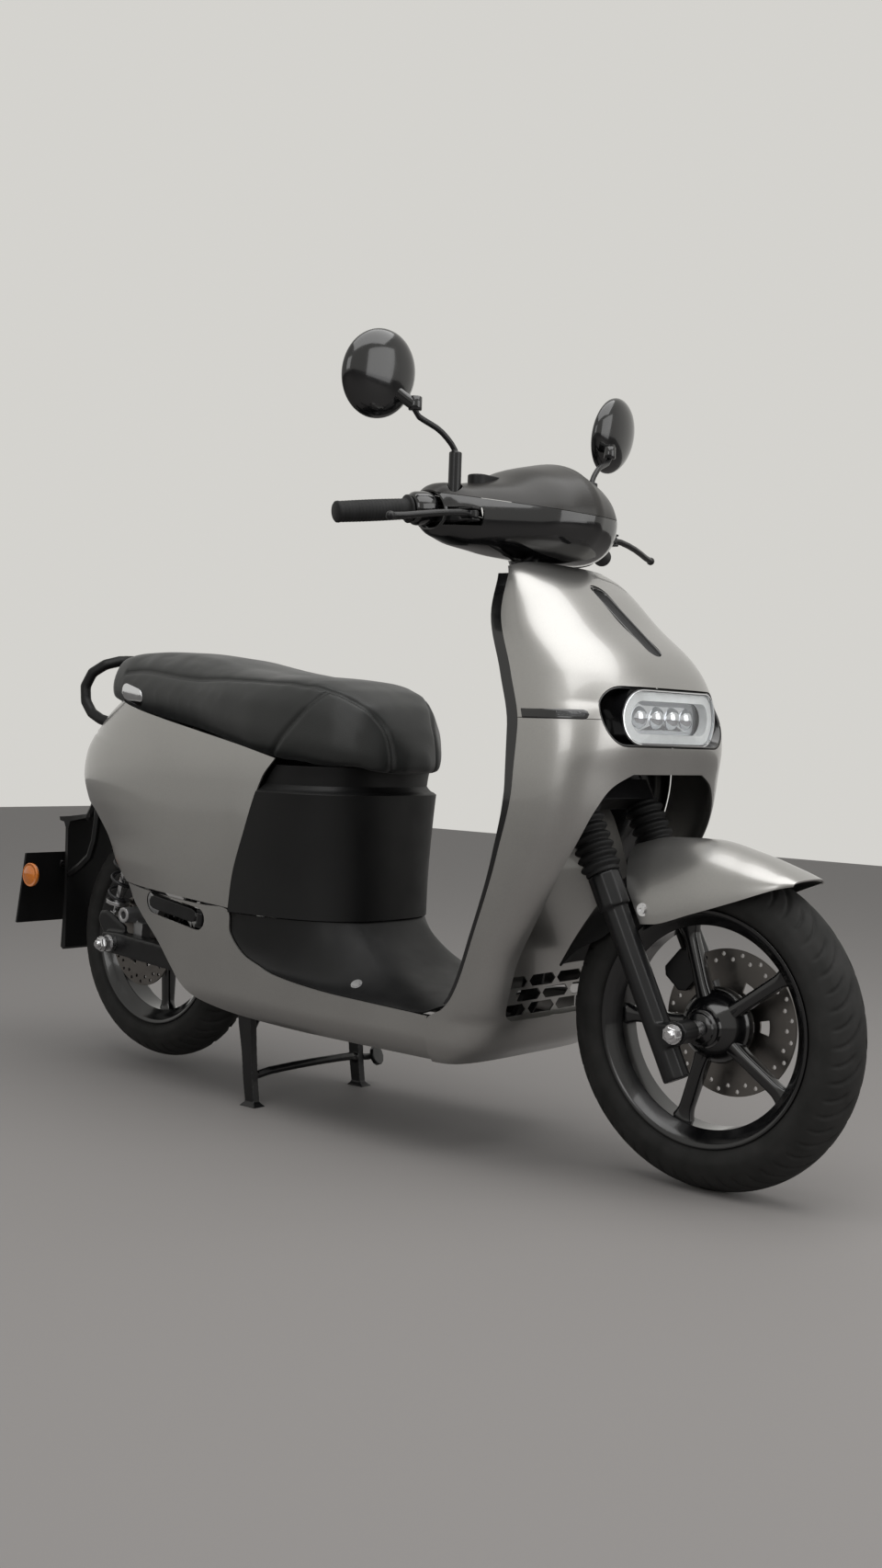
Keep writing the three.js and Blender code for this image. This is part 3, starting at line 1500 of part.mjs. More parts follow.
// Steering stem with the lower fork bridge
const bridgeHalfSpan = 114;
const bridgeHalfLength = 23;
const tubeSeat = (tubeRadius + seatGap) / Math.cos(Math.PI / tubeSides);
const bridge = extruded(
  pillOutline(0, 0, bridgeHalfSpan, bridgeHalfLength, 5),
  alongY,
  steeringAhead.clone().negate(),
  onFork(0, 0, bridgeFoot),
  bridgeTop - bridgeFoot,
);
const bridgeBores = [-1, 1].map((side) =>
  fromFootToTop(
    bridgeFoot - cutOverrun,
    bridgeTop + cutOverrun,
    tubeSeat,
    tubeSides,
    side * legHalfSpan,
  ),
);
add(
  "steering_stem",
  cut(
    joined(
      bridge,
      fromFootToTop(bridgeFoot + seatGap, stemTop, stemRadius, columnSides),
      fromFootToTop(bridgeTop - seatGap, headTubeFoot - runningGap, collarRadius, columnSides),
      fromFootToTop(headTubeTop + runningGap, headNutTop, collarRadius, 6),
    ),
    ...bridgeBores,
  ),
  "frameSteel",
);

// Fork tubes and their ribbed rubber boots
const sliderTop = 545;
const bootRibs = 7;
const bootSides = 8;
const bootOuter = 33;
const bootValley = 26;
const bootWall = 2;
const bootCollar = 6;
const bootFoot = sliderTop + seatGap;
const bootHead = bridgeFoot - seatGap;

function bootProfile() {
  const outer = [];
  const length = bootHead - bootFoot;
  const ribRun = (length - 2 * bootCollar) / bootRibs;
  for (let i = 0; i < bootRibs; i++) {
    outer.push([bootValley, bootCollar + i * ribRun]);
    outer.push([bootOuter, bootCollar + (i + 0.5) * ribRun]);
  }
  outer.push([bootValley, length - bootCollar]);
  const grip = (tubeRadius + seatGap) / Math.cos(Math.PI / bootSides);
  const hollow = bootValley - bootWall;
  return [
    [hollow, 0],
    [bootValley, 0],
    ...outer,
    [bootValley, length],
    [grip, length],
    [grip, length - bootCollar],
    [hollow, length - 2 * bootCollar],
    [hollow, 0],
  ];
}

sides.forEach(([name, side]) => {
  const left = side * legHalfSpan;
  add(`fork_tube_${name}`, fromFootToTop(tubeFoot, tubeTop, tubeRadius, tubeSides, left), "steel");
  const boot = turned(bootProfile(), onFork(0, left, bootFoot), onFork(0, left, bootHead), bootSides);
  add(`fork_boot_${name}`, boot, "rubber");
});

// Fork sliders with the axle lugs
const sliderFoot = 205;
const sliderRadius = 22;
const sliderCollarFoot = 488;
const sliderCollarRadius = 27;
const sliderBoreFoot = 244;
const frontAxleUp = (frontAxleX - steeringFootX) * steeringUp.x + frontTyreRadius * steeringUp.z;
const frontAxleAhead = (frontAxleX - steeringFootX) * steeringAhead.x + frontTyreRadius * steeringAhead.z;
const frontAxle = at(frontAxleX, 0, frontTyreRadius);
const axleRadius = 9;
const axleSides = 10;
const lugRadius = 19;
const lugInner = 70;
const lugOuter = 110;
const lugWebHalf = 15;

function forkSlider(side) {
  const left = side * legHalfSpan;
  const [low, high] = side > 0 ? [lugInner, lugOuter] : [-lugOuter, -lugInner];
  const web = extruded(
    [
      [0, -lugWebHalf],
      [frontAxleAhead, -lugWebHalf],
      [frontAxleAhead, lugWebHalf],
      [0, 2 * lugWebHalf],
    ],
    steeringAhead,
    steeringUp,
    onFork(0, high - seatGap, frontAxleUp),
    high - low - 2 * seatGap,
  );
  return cut(
    joined(
      fromFootToTop(sliderFoot, sliderTop, sliderRadius, tubeSides, left),
      fromFootToTop(sliderCollarFoot, sliderTop, sliderCollarRadius, tubeSides, left),
      web,
      acrossPin(frontAxle, low, high, lugRadius, tubeSides),
    ),
    fromFootToTop(
      sliderBoreFoot,
      sliderTop + cutOverrun,
      boreFor(tubeRadius, tubeSides),
      tubeSides,
      left,
    ),
    acrossPin(
      frontAxle,
      low - cutOverrun,
      high + cutOverrun,
      (axleRadius + seatGap) / Math.cos(Math.PI / axleSides),
      axleSides,
    ),
  );
}

sides.forEach(([name, side]) => add(`fork_slider_${name}`, forkSlider(side), "frameSteel"));

// Front fender: a painted shell with a black rear part
const fenderStations = [0, 0.2, 0.45, 0.7, 0.9, 1];
const fenderTopShares = [
  [0.777, 0.6759], [0.8613, 0.6924], [0.9808, 0.6949], [1.1034, 0.6747], [1.2015, 0.6481],
  [1.2475, 0.6329],
];
const fenderEdgeShares = [
  [0.8352, 0.5228], [0.892, 0.5266], [0.9962, 0.5544], [1.1065, 0.5861], [1.1985, 0.6152],
  [1.2352, 0.6253],
];
const fenderHalfWidthShares = [1, 1.01, 1.01, 0.96, 0.8, 0.6];
const fenderHalfWidth = 75;
const fenderFullness = 2.3;
const fenderWall = 2.5;
const hugger = 275;
const huggerHalfWidth = 60;
const huggerStart = 112 * degree;
const huggerEnd = 165 * degree;
const huggerEdgeShares = [[0, 0.8], [0.35, 0.75], [0.6, 0.78], [0.85, 0.9], [1, 0.965]];
const huggerEdgeAt = scaledCurve(huggerEdgeShares, 1, hugger);

function stationCurve(shares, size, pick) {
  return curveThrough(fenderStations.map((station, i) => [station, pick(shares[i]) * size]));
}
const fenderTopX = stationCurve(fenderTopShares, flankLength, (pair) => pair[0]);
const fenderTopZ = stationCurve(fenderTopShares, flankHeight, (pair) => pair[1]);
const fenderEdgeX = stationCurve(fenderEdgeShares, flankLength, (pair) => pair[0]);
const fenderEdgeZ = stationCurve(fenderEdgeShares, flankHeight, (pair) => pair[1]);
const fenderHalfAt = stationCurve(fenderHalfWidthShares, fenderHalfWidth, (share) => share);

function fenderSurface(u, v) {
  const turn = ((2 * u - 1) * Math.PI) / 2;
  const rise = Math.pow(Math.max(0, Math.cos(turn)), 2 / fenderFullness);
  const spread = Math.sign(turn) * Math.pow(Math.abs(Math.sin(turn)), 2 / fenderFullness);
  return at(
    fenderEdgeX(v) + (fenderTopX(v) - fenderEdgeX(v)) * rise,
    fenderHalfAt(v) * spread,
    fenderEdgeZ(v) + (fenderTopZ(v) - fenderEdgeZ(v)) * rise,
  );
}

function huggerSurface(u, v) {
  const turn = ((2 * u - 1) * Math.PI) / 2;
  const rise = Math.pow(Math.max(0, Math.cos(turn)), 2 / fenderFullness);
  const spread = Math.sign(turn) * Math.pow(Math.abs(Math.sin(turn)), 2 / fenderFullness);
  const angle = huggerStart + v * (huggerEnd - huggerStart);
  const radius = huggerEdgeAt(v) + (hugger - huggerEdgeAt(v)) * rise;
  return at(
    frontAxle.x + radius * Math.cos(angle),
    huggerHalfWidth * spread,
    frontAxle.z + radius * Math.sin(angle),
  );
}

const legClearance = [-1, 1].map((side) =>
  fromFootToTop(
    sliderFoot,
    bridgeFoot,
    (sliderCollarRadius + seatGap) / Math.cos(Math.PI / tubeSides),
    tubeSides,
    side * legHalfSpan,
  ),
);
const fenderBraceHalf = 52;
const fenderBraceShares = [[0.8031, 0.6291], [0.846, 0.6367], [0.846, 0.6899], [0.7969, 0.6759]];
add(
  "front_fender",
  cut(
    joined(
      sheet(fenderSurface, -fenderWall, 8, 7),
      sheet(huggerSurface, fenderWall, 6, 5),
      slabAcross(sideSpots(fenderBraceShares), -fenderBraceHalf, fenderBraceHalf),
    ),
    ...legClearance,
  ),
  "silverPaint",
);

// Wheels
const wheelSides = 24;
const tyreOuterShares = [
  [0, -0.735], [0.11, -0.735], [0.17, -0.9], [0.38, -1], [0.6, -0.9], [0.79, -0.7], [0.94, -0.37], [1, 0],
  [0.94, 0.37], [0.79, 0.7], [0.6, 0.9], [0.38, 1], [0.17, 0.9], [0.11, 0.735], [0, 0.735],
];
const rimSeatShare = 0.735;
const rimWellShare = 0.4;
const rimLipShare = 0.1;
const rimLip = 4.5;
const rimWall = 7;
const rimWellDepth = 11;
const spokeCount = 5;
const spokeHubWidth = 19;
const spokeRimWidth = 12;
const spokeHubDepth = 17;
const spokeRimDepth = 10;

function tyre(centre, outer, bead, halfWidth) {
  const place = ([radial, lateral]) => [bead + radial * (outer - bead), lateral * halfWidth];
  const profile = tyreOuterShares.map(place);
  profile.push(profile[0]);
  return turned(profile, centre, centre.clone().add(alongY), wheelSides);
}

function spoke(centre, from, to, angle) {
  const outward = at(Math.cos(angle), 0, Math.sin(angle));
  const tangent = at(-Math.sin(angle), 0, Math.cos(angle));
  const ring = (radius, width, depth) =>
    [[-1, -1], [1, -1], [1, 1], [-1, 1]].map(([a, b]) =>
      centre
        .clone()
        .addScaledVector(outward, radius)
        .addScaledVector(tangent, a * width)
        .addScaledVector(alongY, b * depth),
    );
  return lofted([
    ring(from, spokeHubWidth, spokeHubDepth),
    ring((from + to) / 2, spokeRimWidth, spokeRimDepth),
    ring(to, spokeHubWidth, spokeRimDepth),
  ]);
}

// A rim with its hub between two sides, five spokes and a running bore.
function rim(centre, outer, bead, halfWidth, hub, firstAngle) {
  const seatRadius = bead - seatGap;
  const seatSide = rimSeatShare * halfWidth + seatGap;
  const lipRadius = bead + rimLipShare * (outer - bead);
  const well = rimWellShare * halfWidth;
  const half = [
    [lipRadius, seatSide + rimLip],
    [lipRadius, seatSide],
    [seatRadius, seatSide],
    [seatRadius, well + rimWellDepth],
    [seatRadius - rimWellDepth, well],
  ];
  const under = [
    [seatRadius - rimWellDepth - rimWall, well],
    [seatRadius - rimWall, well + rimWellDepth],
    [lipRadius - rimLip, seatSide + rimLip],
  ];
  const flip = ([radius, side]) => [radius, -side];
  const profile = [
    ...half,
    ...half.map(flip).reverse(),
    ...under.map(flip).reverse(),
    ...under,
    half[0],
  ];
  const spokes = [];
  for (let i = 0; i < spokeCount; i++) {
    const angle = firstAngle + (i / spokeCount) * 2 * Math.PI;
    spokes.push(spoke(centre, hub.radius / 2, seatRadius - rimWellDepth - rimWall / 2, angle));
  }
  return cut(
    joined(
      turned(profile, centre, centre.clone().add(alongY), wheelSides),
      acrossPin(centre, hub.right, hub.left, hub.radius, tubeSides),
      acrossPin(centre, hub.right, hub.spigotLeft, hub.spigotRadius, tubeSides),
      acrossPin(centre, hub.spigotRight, hub.left, hub.spigotRadius, tubeSides),
      ...spokes,
    ),
    acrossPin(
      centre,
      hub.spigotRight - cutOverrun,
      hub.spigotLeft + cutOverrun,
      boreFor(axleRadius, axleSides),
      axleSides,
    ),
  );
}

// A brake disc with windows between its carrier and its ring.
function brakeDisc(centre, right, left, outer, inner, windows) {
  const holes = [];
  for (let i = 0; i < windows.count; i++) {
    const middle = (i / windows.count) * 2 * Math.PI;
    const corner = (radius, share) => [
      centre.x + radius * Math.cos(middle + share * windows.spread),
      centre.z + radius * Math.sin(middle + share * windows.spread),
    ];
    holes.push(
      slabAcross(
        [
          corner(windows.inner, -1),
          corner(windows.outer, -1),
          corner(windows.outer, 0),
          corner(windows.outer, 1),
          corner(windows.inner, 1),
        ],
        right - cutOverrun,
        left + cutOverrun,
      ),
    );
  }
  return cut(
    sleeve(
      at(centre.x, right, centre.z),
      at(centre.x, left, centre.z),
      outer,
      (inner + seatGap) / Math.cos(Math.PI / wheelSides),
      wheelSides,
    ),
    ...holes,
  );
}

const frontBead = 178;
const discThickness = 4;
const frontHub = { right: -42, left: 49.7, spigotRight: -45, spigotLeft: 56, radius: 32, spigotRadius: 24 };
const frontSpokeAngle = 108.5 * degree;
const frontDiscRight = frontHub.left + seatGap;
const frontDiscRadius = 118;
const frontWindows = { count: 6, inner: 40, outer: 74, spread: 21 * degree };
add(
  "front_rim",
  rim(frontAxle, frontTyreRadius, frontBead, frontTyreWidth / 2, frontHub, frontSpokeAngle),
  "blackPaint",
);
add("front_tyre", tyre(frontAxle, frontTyreRadius, frontBead, frontTyreWidth / 2), "rubber");
add(
  "front_disc",
  brakeDisc(
    frontAxle,
    frontDiscRight,
    frontDiscRight + discThickness,
    frontDiscRadius,
    frontHub.spigotRadius,
    frontWindows,
  ),
  "steel",
);

// Front axle with its nut and spacers
const axleNutOuter = 127;
const axleNutRadius = 14;
const axleEnd = 116;
const spacerRadius = 15;
add(
  "front_axle",
  joined(
    acrossPin(frontAxle, -axleNutOuter, axleEnd, axleRadius, axleSides),
    acrossPin(frontAxle, -axleNutOuter + seatGap, -lugOuter - seatGap, axleNutRadius, 6),
    acrossPin(frontAxle, -lugInner + seatGap, frontHub.spigotRight - runningGap, spacerRadius, axleSides),
    acrossPin(frontAxle, frontHub.spigotLeft + runningGap, lugInner - seatGap, spacerRadius, axleSides),
  ),
  "steel",
);

// Brake calipers straddle their discs
function caliper(centre, angle, discRight, discRadius, right, left, low, high, halfWidth) {
  const outward = at(Math.cos(angle), 0, Math.sin(angle));
  const tangent = at(-Math.sin(angle), 0, Math.cos(angle));
  const edge = halfWidth / 3;
  const outline = [
    [low, -halfWidth + edge],
    [low + edge, -halfWidth],
    [high - edge, -halfWidth],
    [high, -halfWidth + edge],
    [high, halfWidth - edge],
    [high - edge, halfWidth],
    [low + edge, halfWidth],
    [low, halfWidth - edge],
  ];
  const body = extruded(outline, outward, tangent, at(centre.x, left, centre.z), left - right);
  const slot = acrossPin(
    centre,
    discRight - 2 * runningGap,
    discRight + discThickness + 2 * runningGap,
    discRadius + smallStep,
    wheelSides,
  );
  return cut(body, slot);
}

const frontCaliperAngle = 139 * degree;
const frontCaliperRight = 40;
const caliperHalfWidth = 31;
add(
  "front_caliper",
  caliper(
    frontAxle,
    frontCaliperAngle,
    frontDiscRight,
    frontDiscRadius,
    frontCaliperRight,
    legHalfSpan - sliderRadius - seatGap,
    frontDiscRadius - caliperHalfWidth,
    frontDiscRadius + 2 * spokeRimWidth,
    caliperHalfWidth,
  ),
  "frameSteel",
);

// Swingarm: right arm, closed drive case on the left, cross bar and shock lugs
const rearAxle = at(rearAxleX, 0, rearAxleZ);
const armInner = 118;
const armOuter = 150;
const armPlanShares = [
  [-1.5146, -0.2718], [-1.5146, -0.4175], [-1.8058, -0.4175], [-2.0388, -0.6019], [-2.2718, -0.7282],
  [-3.3398, -0.7282], [-3.3592, -0.5728], [-2.3495, -0.5728], [-2.1359, -0.4466], [-1.9612, -0.301],
  [-1.8932, -0.2718],
];
const armSideShares = [
  [-0.469, 0.2772], [-0.5057, 0.2696], [-0.9808, 0.2987], [-1.0483, 0.3013], [-1.0636, 0.3165],
  [-1.0636, 0.3392], [-1.0483, 0.3519], [-0.9808, 0.3532], [-0.5057, 0.3253], [-0.469, 0.3177],
];
const caseInner = 75;
const caseOuter = 135;
const caseFrontShares = [
  [-0.3862, 0.2975], [-0.4015, 0.2481], [-0.4444, 0.2101], [-0.5057, 0.1975], [-0.6621, 0.2177],
  [-0.6621, 0.3949], [-0.5057, 0.3975], [-0.4444, 0.3848], [-0.4015, 0.3468],
];
const caseRearShares = [
  [-0.6192, 0.2127], [-0.9808, 0.2633], [-1.036, 0.2734], [-1.0728, 0.3038], [-1.0789, 0.3316],
  [-1.0636, 0.3646], [-1.0268, 0.3835], [-0.9808, 0.3873], [-0.6192, 0.3949],
];
const motorRadius = 58;
const motorRight = -55.7;
const motorLeft = 62.7;
const pivotBossRadius = 22;
const pivotBossOuter = 86;
const armBarRadius = 13;
const armBarShares = [[-0.6038, -0.3495, 0.3797], [-0.6038, 0.534, 0.3975]];
const armBarLinkShares = [[-0.5885, 0.3114], [-0.6192, 0.3165], [-0.6222, 0.3873], [-0.5916, 0.3899]];
const armBarLinkInner = 60;
const armBarLinkOuter = 84;
const shockFootShares = [
  [-0.9747, 0.3316], [-0.9747, 0.3696], [-1.0636, 0.4051], [-1.0943, 0.4025], [-1.1065, 0.3823],
  [-1.0973, 0.3646], [-1.0636, 0.3316],
];
const shockFootInner = 124;
const shockFootOuter = 134;
const rearPinSeat = (axleRadius + seatGap) / Math.cos(Math.PI / axleSides);
const pivotBore = acrossPin(
  swingPivot,
  -bodyHalfWidth,
  bodyHalfWidth,
  boreFor(swingPinRadius, frameSides),
  frameSides,
);

function planSpots(shares) {
  return shares.map(([a, b]) => [a * bodyHalfWidth, b * bodyHalfWidth]);
}

const armPlan = slabUp(planSpots(armPlanShares), panelBottom, sillTop * 2);
const armSide = slabAcross(sideSpots(armSideShares), -bodyHalfWidth, 0);
add(
  "swingarm",
  cut(
    joined(
      armPlan.intersect(armSide),
      acrossPin(swingPivot, -pivotBossOuter, motorRight - seatGap, pivotBossRadius, tubeSides),
      slabAcross(sideSpots(caseFrontShares), motorLeft + seatGap, pivotBossOuter),
      slabAcross(sideSpots(caseRearShares), caseInner, caseOuter),
      frameBar(armBarShares, armBarRadius),
      slabAcross(sideSpots(armBarLinkShares), -armBarLinkOuter, -armBarLinkInner),
      slabAcross(sideSpots(shockFootShares), -shockFootOuter, -shockFootInner),
      slabAcross(sideSpots(shockFootShares), shockFootInner, shockFootOuter),
      acrossPin(shockFootPin, -shockFootOuter, -shockPinInner, shockPinRadius, frameSides),
      acrossPin(shockFootPin, shockPinInner, shockFootOuter, shockPinRadius, frameSides),
    ),
    pivotBore,
    acrossPin(rearAxle, -bodyHalfWidth, bodyHalfWidth, rearPinSeat, axleSides),
  ),
  "frameSteel",
);
add("drive_motor", cut(acrossPin(swingPivot, motorRight, motorLeft, motorRadius, 24), pivotBore), "alloy");

// Rear wheel, disc, axle and caliper
const rearBead = 165;
const rearHub = { right: -69.7, left: 60, spigotRight: -78, spigotLeft: 74, radius: 36, spigotRadius: 26 };
const rearSpokeAngle = 54 * degree;
const rearDiscRadius = 92;
const rearDiscRight = rearHub.right - seatGap - discThickness;
const rearWindows = { count: 6, inner: 38, outer: 58, spread: 20 * degree };
add(
  "rear_rim",
  rim(rearAxle, rearTyreRadius, rearBead, rearTyreWidth / 2, rearHub, rearSpokeAngle),
  "blackPaint",
);
add("rear_tyre", tyre(rearAxle, rearTyreRadius, rearBead, rearTyreWidth / 2), "rubber");
add(
  "rear_disc",
  brakeDisc(
    rearAxle,
    rearDiscRight,
    rearDiscRight + discThickness,
    rearDiscRadius,
    rearHub.spigotRadius,
    rearWindows,
  ),
  "steel",
);
const rearNutOuter = 186;
const rearNutInner = 162;
const rearAxleEnd = 128;
add(
  "rear_axle",
  joined(
    acrossPin(rearAxle, -rearNutOuter, rearAxleEnd, axleRadius, axleSides),
    acrossPin(rearAxle, -rearNutOuter + axleRadius, -armOuter - seatGap, axleNutRadius, 6),
    acrossPin(rearAxle, -rearNutInner, -armOuter - seatGap, axleNutRadius + runningGap * 8, axleSides),
    acrossPin(rearAxle, -armInner + seatGap, rearHub.spigotRight - runningGap, spacerRadius, axleSides),
  ),
  "steel",
);
const rearCaliperAngle = 57 * degree;
const rearCaliperRight = -96;
const rearCaliperLeft = -61;
const rearCaliperHalf = 27;
const caliperArmShares = [[-0.9625, 0.3316], [-0.9257, 0.3316], [-0.9195, 0.3797], [-0.9625, 0.3873]];
const caliperEye = spot([-0.96245, 0, 0.4]);
const caliperEyeRadius = 16;
const caliperEyeBore = 8;
const caliperEyeOuter = 145;
add(
  "rear_caliper",
  cut(
    joined(
      caliper(
        rearAxle,
        rearCaliperAngle,
        rearDiscRight,
        rearDiscRadius,
        rearCaliperRight,
        rearCaliperLeft,
        rearDiscRadius - rearCaliperHalf,
        rearDiscRadius + 2 * spokeRimWidth - smallStep,
        rearCaliperHalf,
      ),
      slabAcross(sideSpots(caliperArmShares), -armInner + seatGap, rearCaliperRight + smallStep),
      acrossPin(caliperEye, -caliperEyeOuter, rearCaliperRight + smallStep, caliperEyeRadius, tubeSides),
    ),
    acrossPin(
      caliperEye,
      -caliperEyeOuter - cutOverrun,
      -caliperEyeOuter + cutOverrun / 2,
      caliperEyeBore,
      tubeSides,
    ),
  ),
  "alloy",
);

// Rear shock absorbers with visible springs
const shockAxis = shockFootPin.clone().sub(shockTopPin);
const shockLength = shockAxis.length();
const shockDown = shockAxis.clone().normalize();
const shockEyeRadius = 14;
const shockEyeHalfWidth = 11.6;
const shockTubeRadius = 11.5;
const shockTubeEnd = 150;
const shockBoreStart = 20;
const shockRodRadius = 6;
const shockRodStart = 95;
const shockEyeOpen = 9;
const springRadius = 21;
const springWire = 3.5;
const springTurns = 6;
const springTop = 36;
const springSeatRadius = 25;
const springSeatThickness = 4;
const springFoot = shockLength - 40;

function alongShock(side, distance) {
  return shockTopPin.clone().addScaledVector(shockDown, distance).setY(side * shockHalfSpan);
}

function shockRod(side, from, to, radius, count) {
  return rod(alongShock(side, from), alongShock(side, to), radius, count);
}

function springPoint(side, share) {
  const turn = share * springTurns * 2 * Math.PI;
  const sideways = at(-shockDown.z, 0, shockDown.x);
  const reach = springTop + springWire + share * (springFoot - springTop - 2 * springWire);
  return alongShock(side, reach)
    .addScaledVector(sideways, springRadius * Math.cos(turn))
    .addScaledVector(alongY, springRadius * Math.sin(turn));
}

function coilSpring(side) {
  const steps = springTurns * 8;
  const rings = [];
  for (let i = 0; i <= steps; i++) {
    const here = springPoint(side, i / steps);
    const ahead = springPoint(side, (i + 0.5) / steps).sub(springPoint(side, (i - 0.5) / steps));
    const forward = ahead.normalize();
    const sideways = forward.clone().cross(shockDown).normalize();
    const upward = sideways.clone().cross(forward);
    rings.push(
      [0, 1, 2, 3, 4].map((k) => {
        const turn = (k / 5) * 2 * Math.PI;
        return here
          .clone()
          .addScaledVector(sideways, springWire * Math.cos(turn))
          .addScaledVector(upward, springWire * Math.sin(turn));
      }),
    );
  }
  return lofted(rings);
}

function leastCurlGap() {
  const steps = springTurns * 16;
  let least = Infinity;
  for (let i = 0; i <= steps; i++) {
    for (let j = i + 8; j <= steps; j++) {
      least = Math.min(least, springPoint(1, i / steps).distanceTo(springPoint(1, j / steps)));
    }
  }
  return least - 2 * springWire;
}
console.log(`least gap between curls: ${leastCurlGap().toFixed(2)} mm`);

sides.forEach(([name, side]) => {
  const [low, high] = [
    side * shockHalfSpan - shockEyeHalfWidth,
    side * shockHalfSpan + shockEyeHalfWidth,
  ];
  const pinBore = acrossPin(
    shockTopPin,
    -bodyHalfWidth,
    bodyHalfWidth,
    (shockPinRadius + seatGap) / Math.cos(Math.PI / frameSides),
    frameSides,
  );
  const body = cut(
    joined(
      acrossPin(shockTopPin, low, high, shockEyeRadius, axleSides),
      shockRod(side, shockEyeRadius / 2, shockTubeEnd, shockTubeRadius, tubeSides),
      shockRod(
        side,
        springTop - seatGap - springSeatThickness,
        springTop - seatGap,
        springSeatRadius,
        tubeSides,
      ),
    ),
    pinBore,
    shockRod(side, shockBoreStart, shockLength, boreFor(shockRodRadius, axleSides), axleSides),
  );
  const rodPiece = cut(
    joined(
      shockRod(side, shockRodStart, shockLength, shockRodRadius, axleSides),
      acrossPin(shockFootPin, low, high, shockEyeRadius + springSeatThickness / 2, axleSides),
      shockRod(side, springFoot + seatGap, springFoot + 2 * springSeatThickness, springSeatRadius, tubeSides),
    ),
    acrossPin(shockFootPin, -bodyHalfWidth, bodyHalfWidth, shockEyeOpen, axleSides),
  );
  add(`rear_shock_body_${name}`, body, "frameSteel");
  add(`rear_shock_rod_${name}`, rodPiece, "steel");
  add(`rear_spring_${name}`, coilSpring(side), "greyPlastic");
});

// Handlebar with the stem clamp, lever perches and switch housings
const barRadius = 11;
const barSides = 8;
const barMiddleShares = [
  [0.3004, -1.1262, 1.3494], [0.328, -0.5825, 1.3418], [0.328, 0, 1.3291], [0.328, 0.5825, 1.3418],
  [0.3004, 1.1262, 1.3494],
];
const barGripShares = [[0.3042, 1.0947, 1.3505], [0.2238, 1.7573, 1.3266]];
const clampRadius = 24;
const clampFoot = 1098;
const clampTop = 1166;
const housingShares = [[0.3111, 1.0388, 1.3525], [0.2992, 1.1359, 1.349]];
const housingRadius = 24;
const perchInner = 176;
const perchOuter = 205;
const perchRear = 192;
const perchFront = 272;
const perchBottom = 1046;
const perchTop = 1066;
const leverPivot = spot([0.43831, 0.9466, 1.33671]);
const leverPinRadius = 4;
const leverEyeRadius = 9;
const leverEyeHalf = 6.5;
const leverPlate = 4;
const leverPlateHalf = 10;
const buttonRadius = 5.5;
const buttonRear = 168;
const buttonLength = 18;
const buttonTravel = 2;
const buttonY = 223;
const buttonZ = 1067;

function leverPlates(side, low, high) {
  const middle = side * leverPivot.y;
  return block(
    perchFront - leverPlateHalf,
    leverPivot.x + leverPlateHalf - smallStep,
    middle - leverPlateHalf,
    middle + leverPlateHalf,
    low,
    high,
  );
}

function barSide(side) {
  const [low, high] = side > 0 ? [perchInner, perchOuter] : [-perchOuter, -perchInner];
  const grip = spots(barGripShares, side);
  const housing = spots(housingShares, side);
  const plateLow = leverPivot.z - leverEyeHalf - runningGap;
  const plateHigh = leverPivot.z + leverEyeHalf + runningGap;
  return joined(
    rod(grip[0], grip[1], barRadius, barSides),
    rod(housing[0], housing[1], housingRadius, tubeSides),
    block(perchRear, perchFront - leverPlateHalf / 2, low, high, perchBottom, perchTop),
    leverPlates(side, plateLow - leverPlate, plateLow),
    leverPlates(side, plateHigh, plateHigh + leverPlate),
    rod(
      at(leverPivot.x, side * leverPivot.y, plateLow - leverPlate),
      at(leverPivot.x, side * leverPivot.y, plateHigh + leverPlate),
      leverPinRadius,
      frameSides,
    ),
  );
}

function buttonBore(side) {
  return rod(
    at(buttonRear - cutOverrun, side * buttonY, buttonZ),
    at(buttonRear + buttonLength + buttonTravel + runningGap, side * buttonY, buttonZ),
    boreFor(buttonRadius, frameSides),
    frameSides,
  );
}

const stemPocket = fromFootToTop(
  clampFoot - cutOverrun,
  stemTop + seatGap,
  (stemRadius + seatGap) / Math.cos(Math.PI / columnSides),
  columnSides,
);
add(
  "handlebar",
  cut(
    joined(
      bentBar(spots(barMiddleShares), barRadius, barSides, 8),
      fromFootToTop(clampFoot, clampTop, clampRadius, columnSides),
      barSide(-1),
      barSide(1),
    ),
    stemPocket,
    buttonBore(-1),
    buttonBore(1),
  ),
  "frameSteel",
);

sides.forEach(([name, side]) => {
  const button = rod(
    at(buttonRear, side * buttonY, buttonZ),
    at(buttonRear + buttonLength, side * buttonY, buttonZ),
    buttonRadius,
    frameSides,
  );
  add(side > 0 ? "horn_button" : "start_button", button, "greyPlastic");
});

// Grips
const gripRadius = 17;
const gripFlangeRadius = 23;
const gripFlange = 5;
const gripStart = 20;
const gripEndCap = 5;

function grip(side, gap) {
  const [inner, outer] = spots(barGripShares, side);
  const way = outer.clone().sub(inner).normalize();
  const point = (distance) => inner.clone().addScaledVector(way, distance);
  const length = inner.distanceTo(outer);
  return cut(
    joined(
      rod(point(gripStart), point(length + gap + gripEndCap), gripRadius, tubeSides),
      rod(point(gripStart), point(gripStart + gripFlange), gripFlangeRadius, tubeSides),
    ),
    rod(
      point(0),
      point(length + gap),
      (barRadius + gap) / Math.cos(Math.PI / barSides),
      barSides,
    ),
  );
}

add("throttle_grip", grip(-1, runningGap), "rubber");
add("left_grip", grip(1, seatGap), "rubber");

// Brake levers
const leverShares = [
  [0.4352, 0.9563, 1.3367], [0.4337, 1.1262, 1.3354], [0.423, 1.3786, 1.3266],
  [0.4046, 1.6311, 1.3152], [0.3954, 1.7524, 1.3114],
];
const leverRadius = 6;
const leverTipRadius = 8;

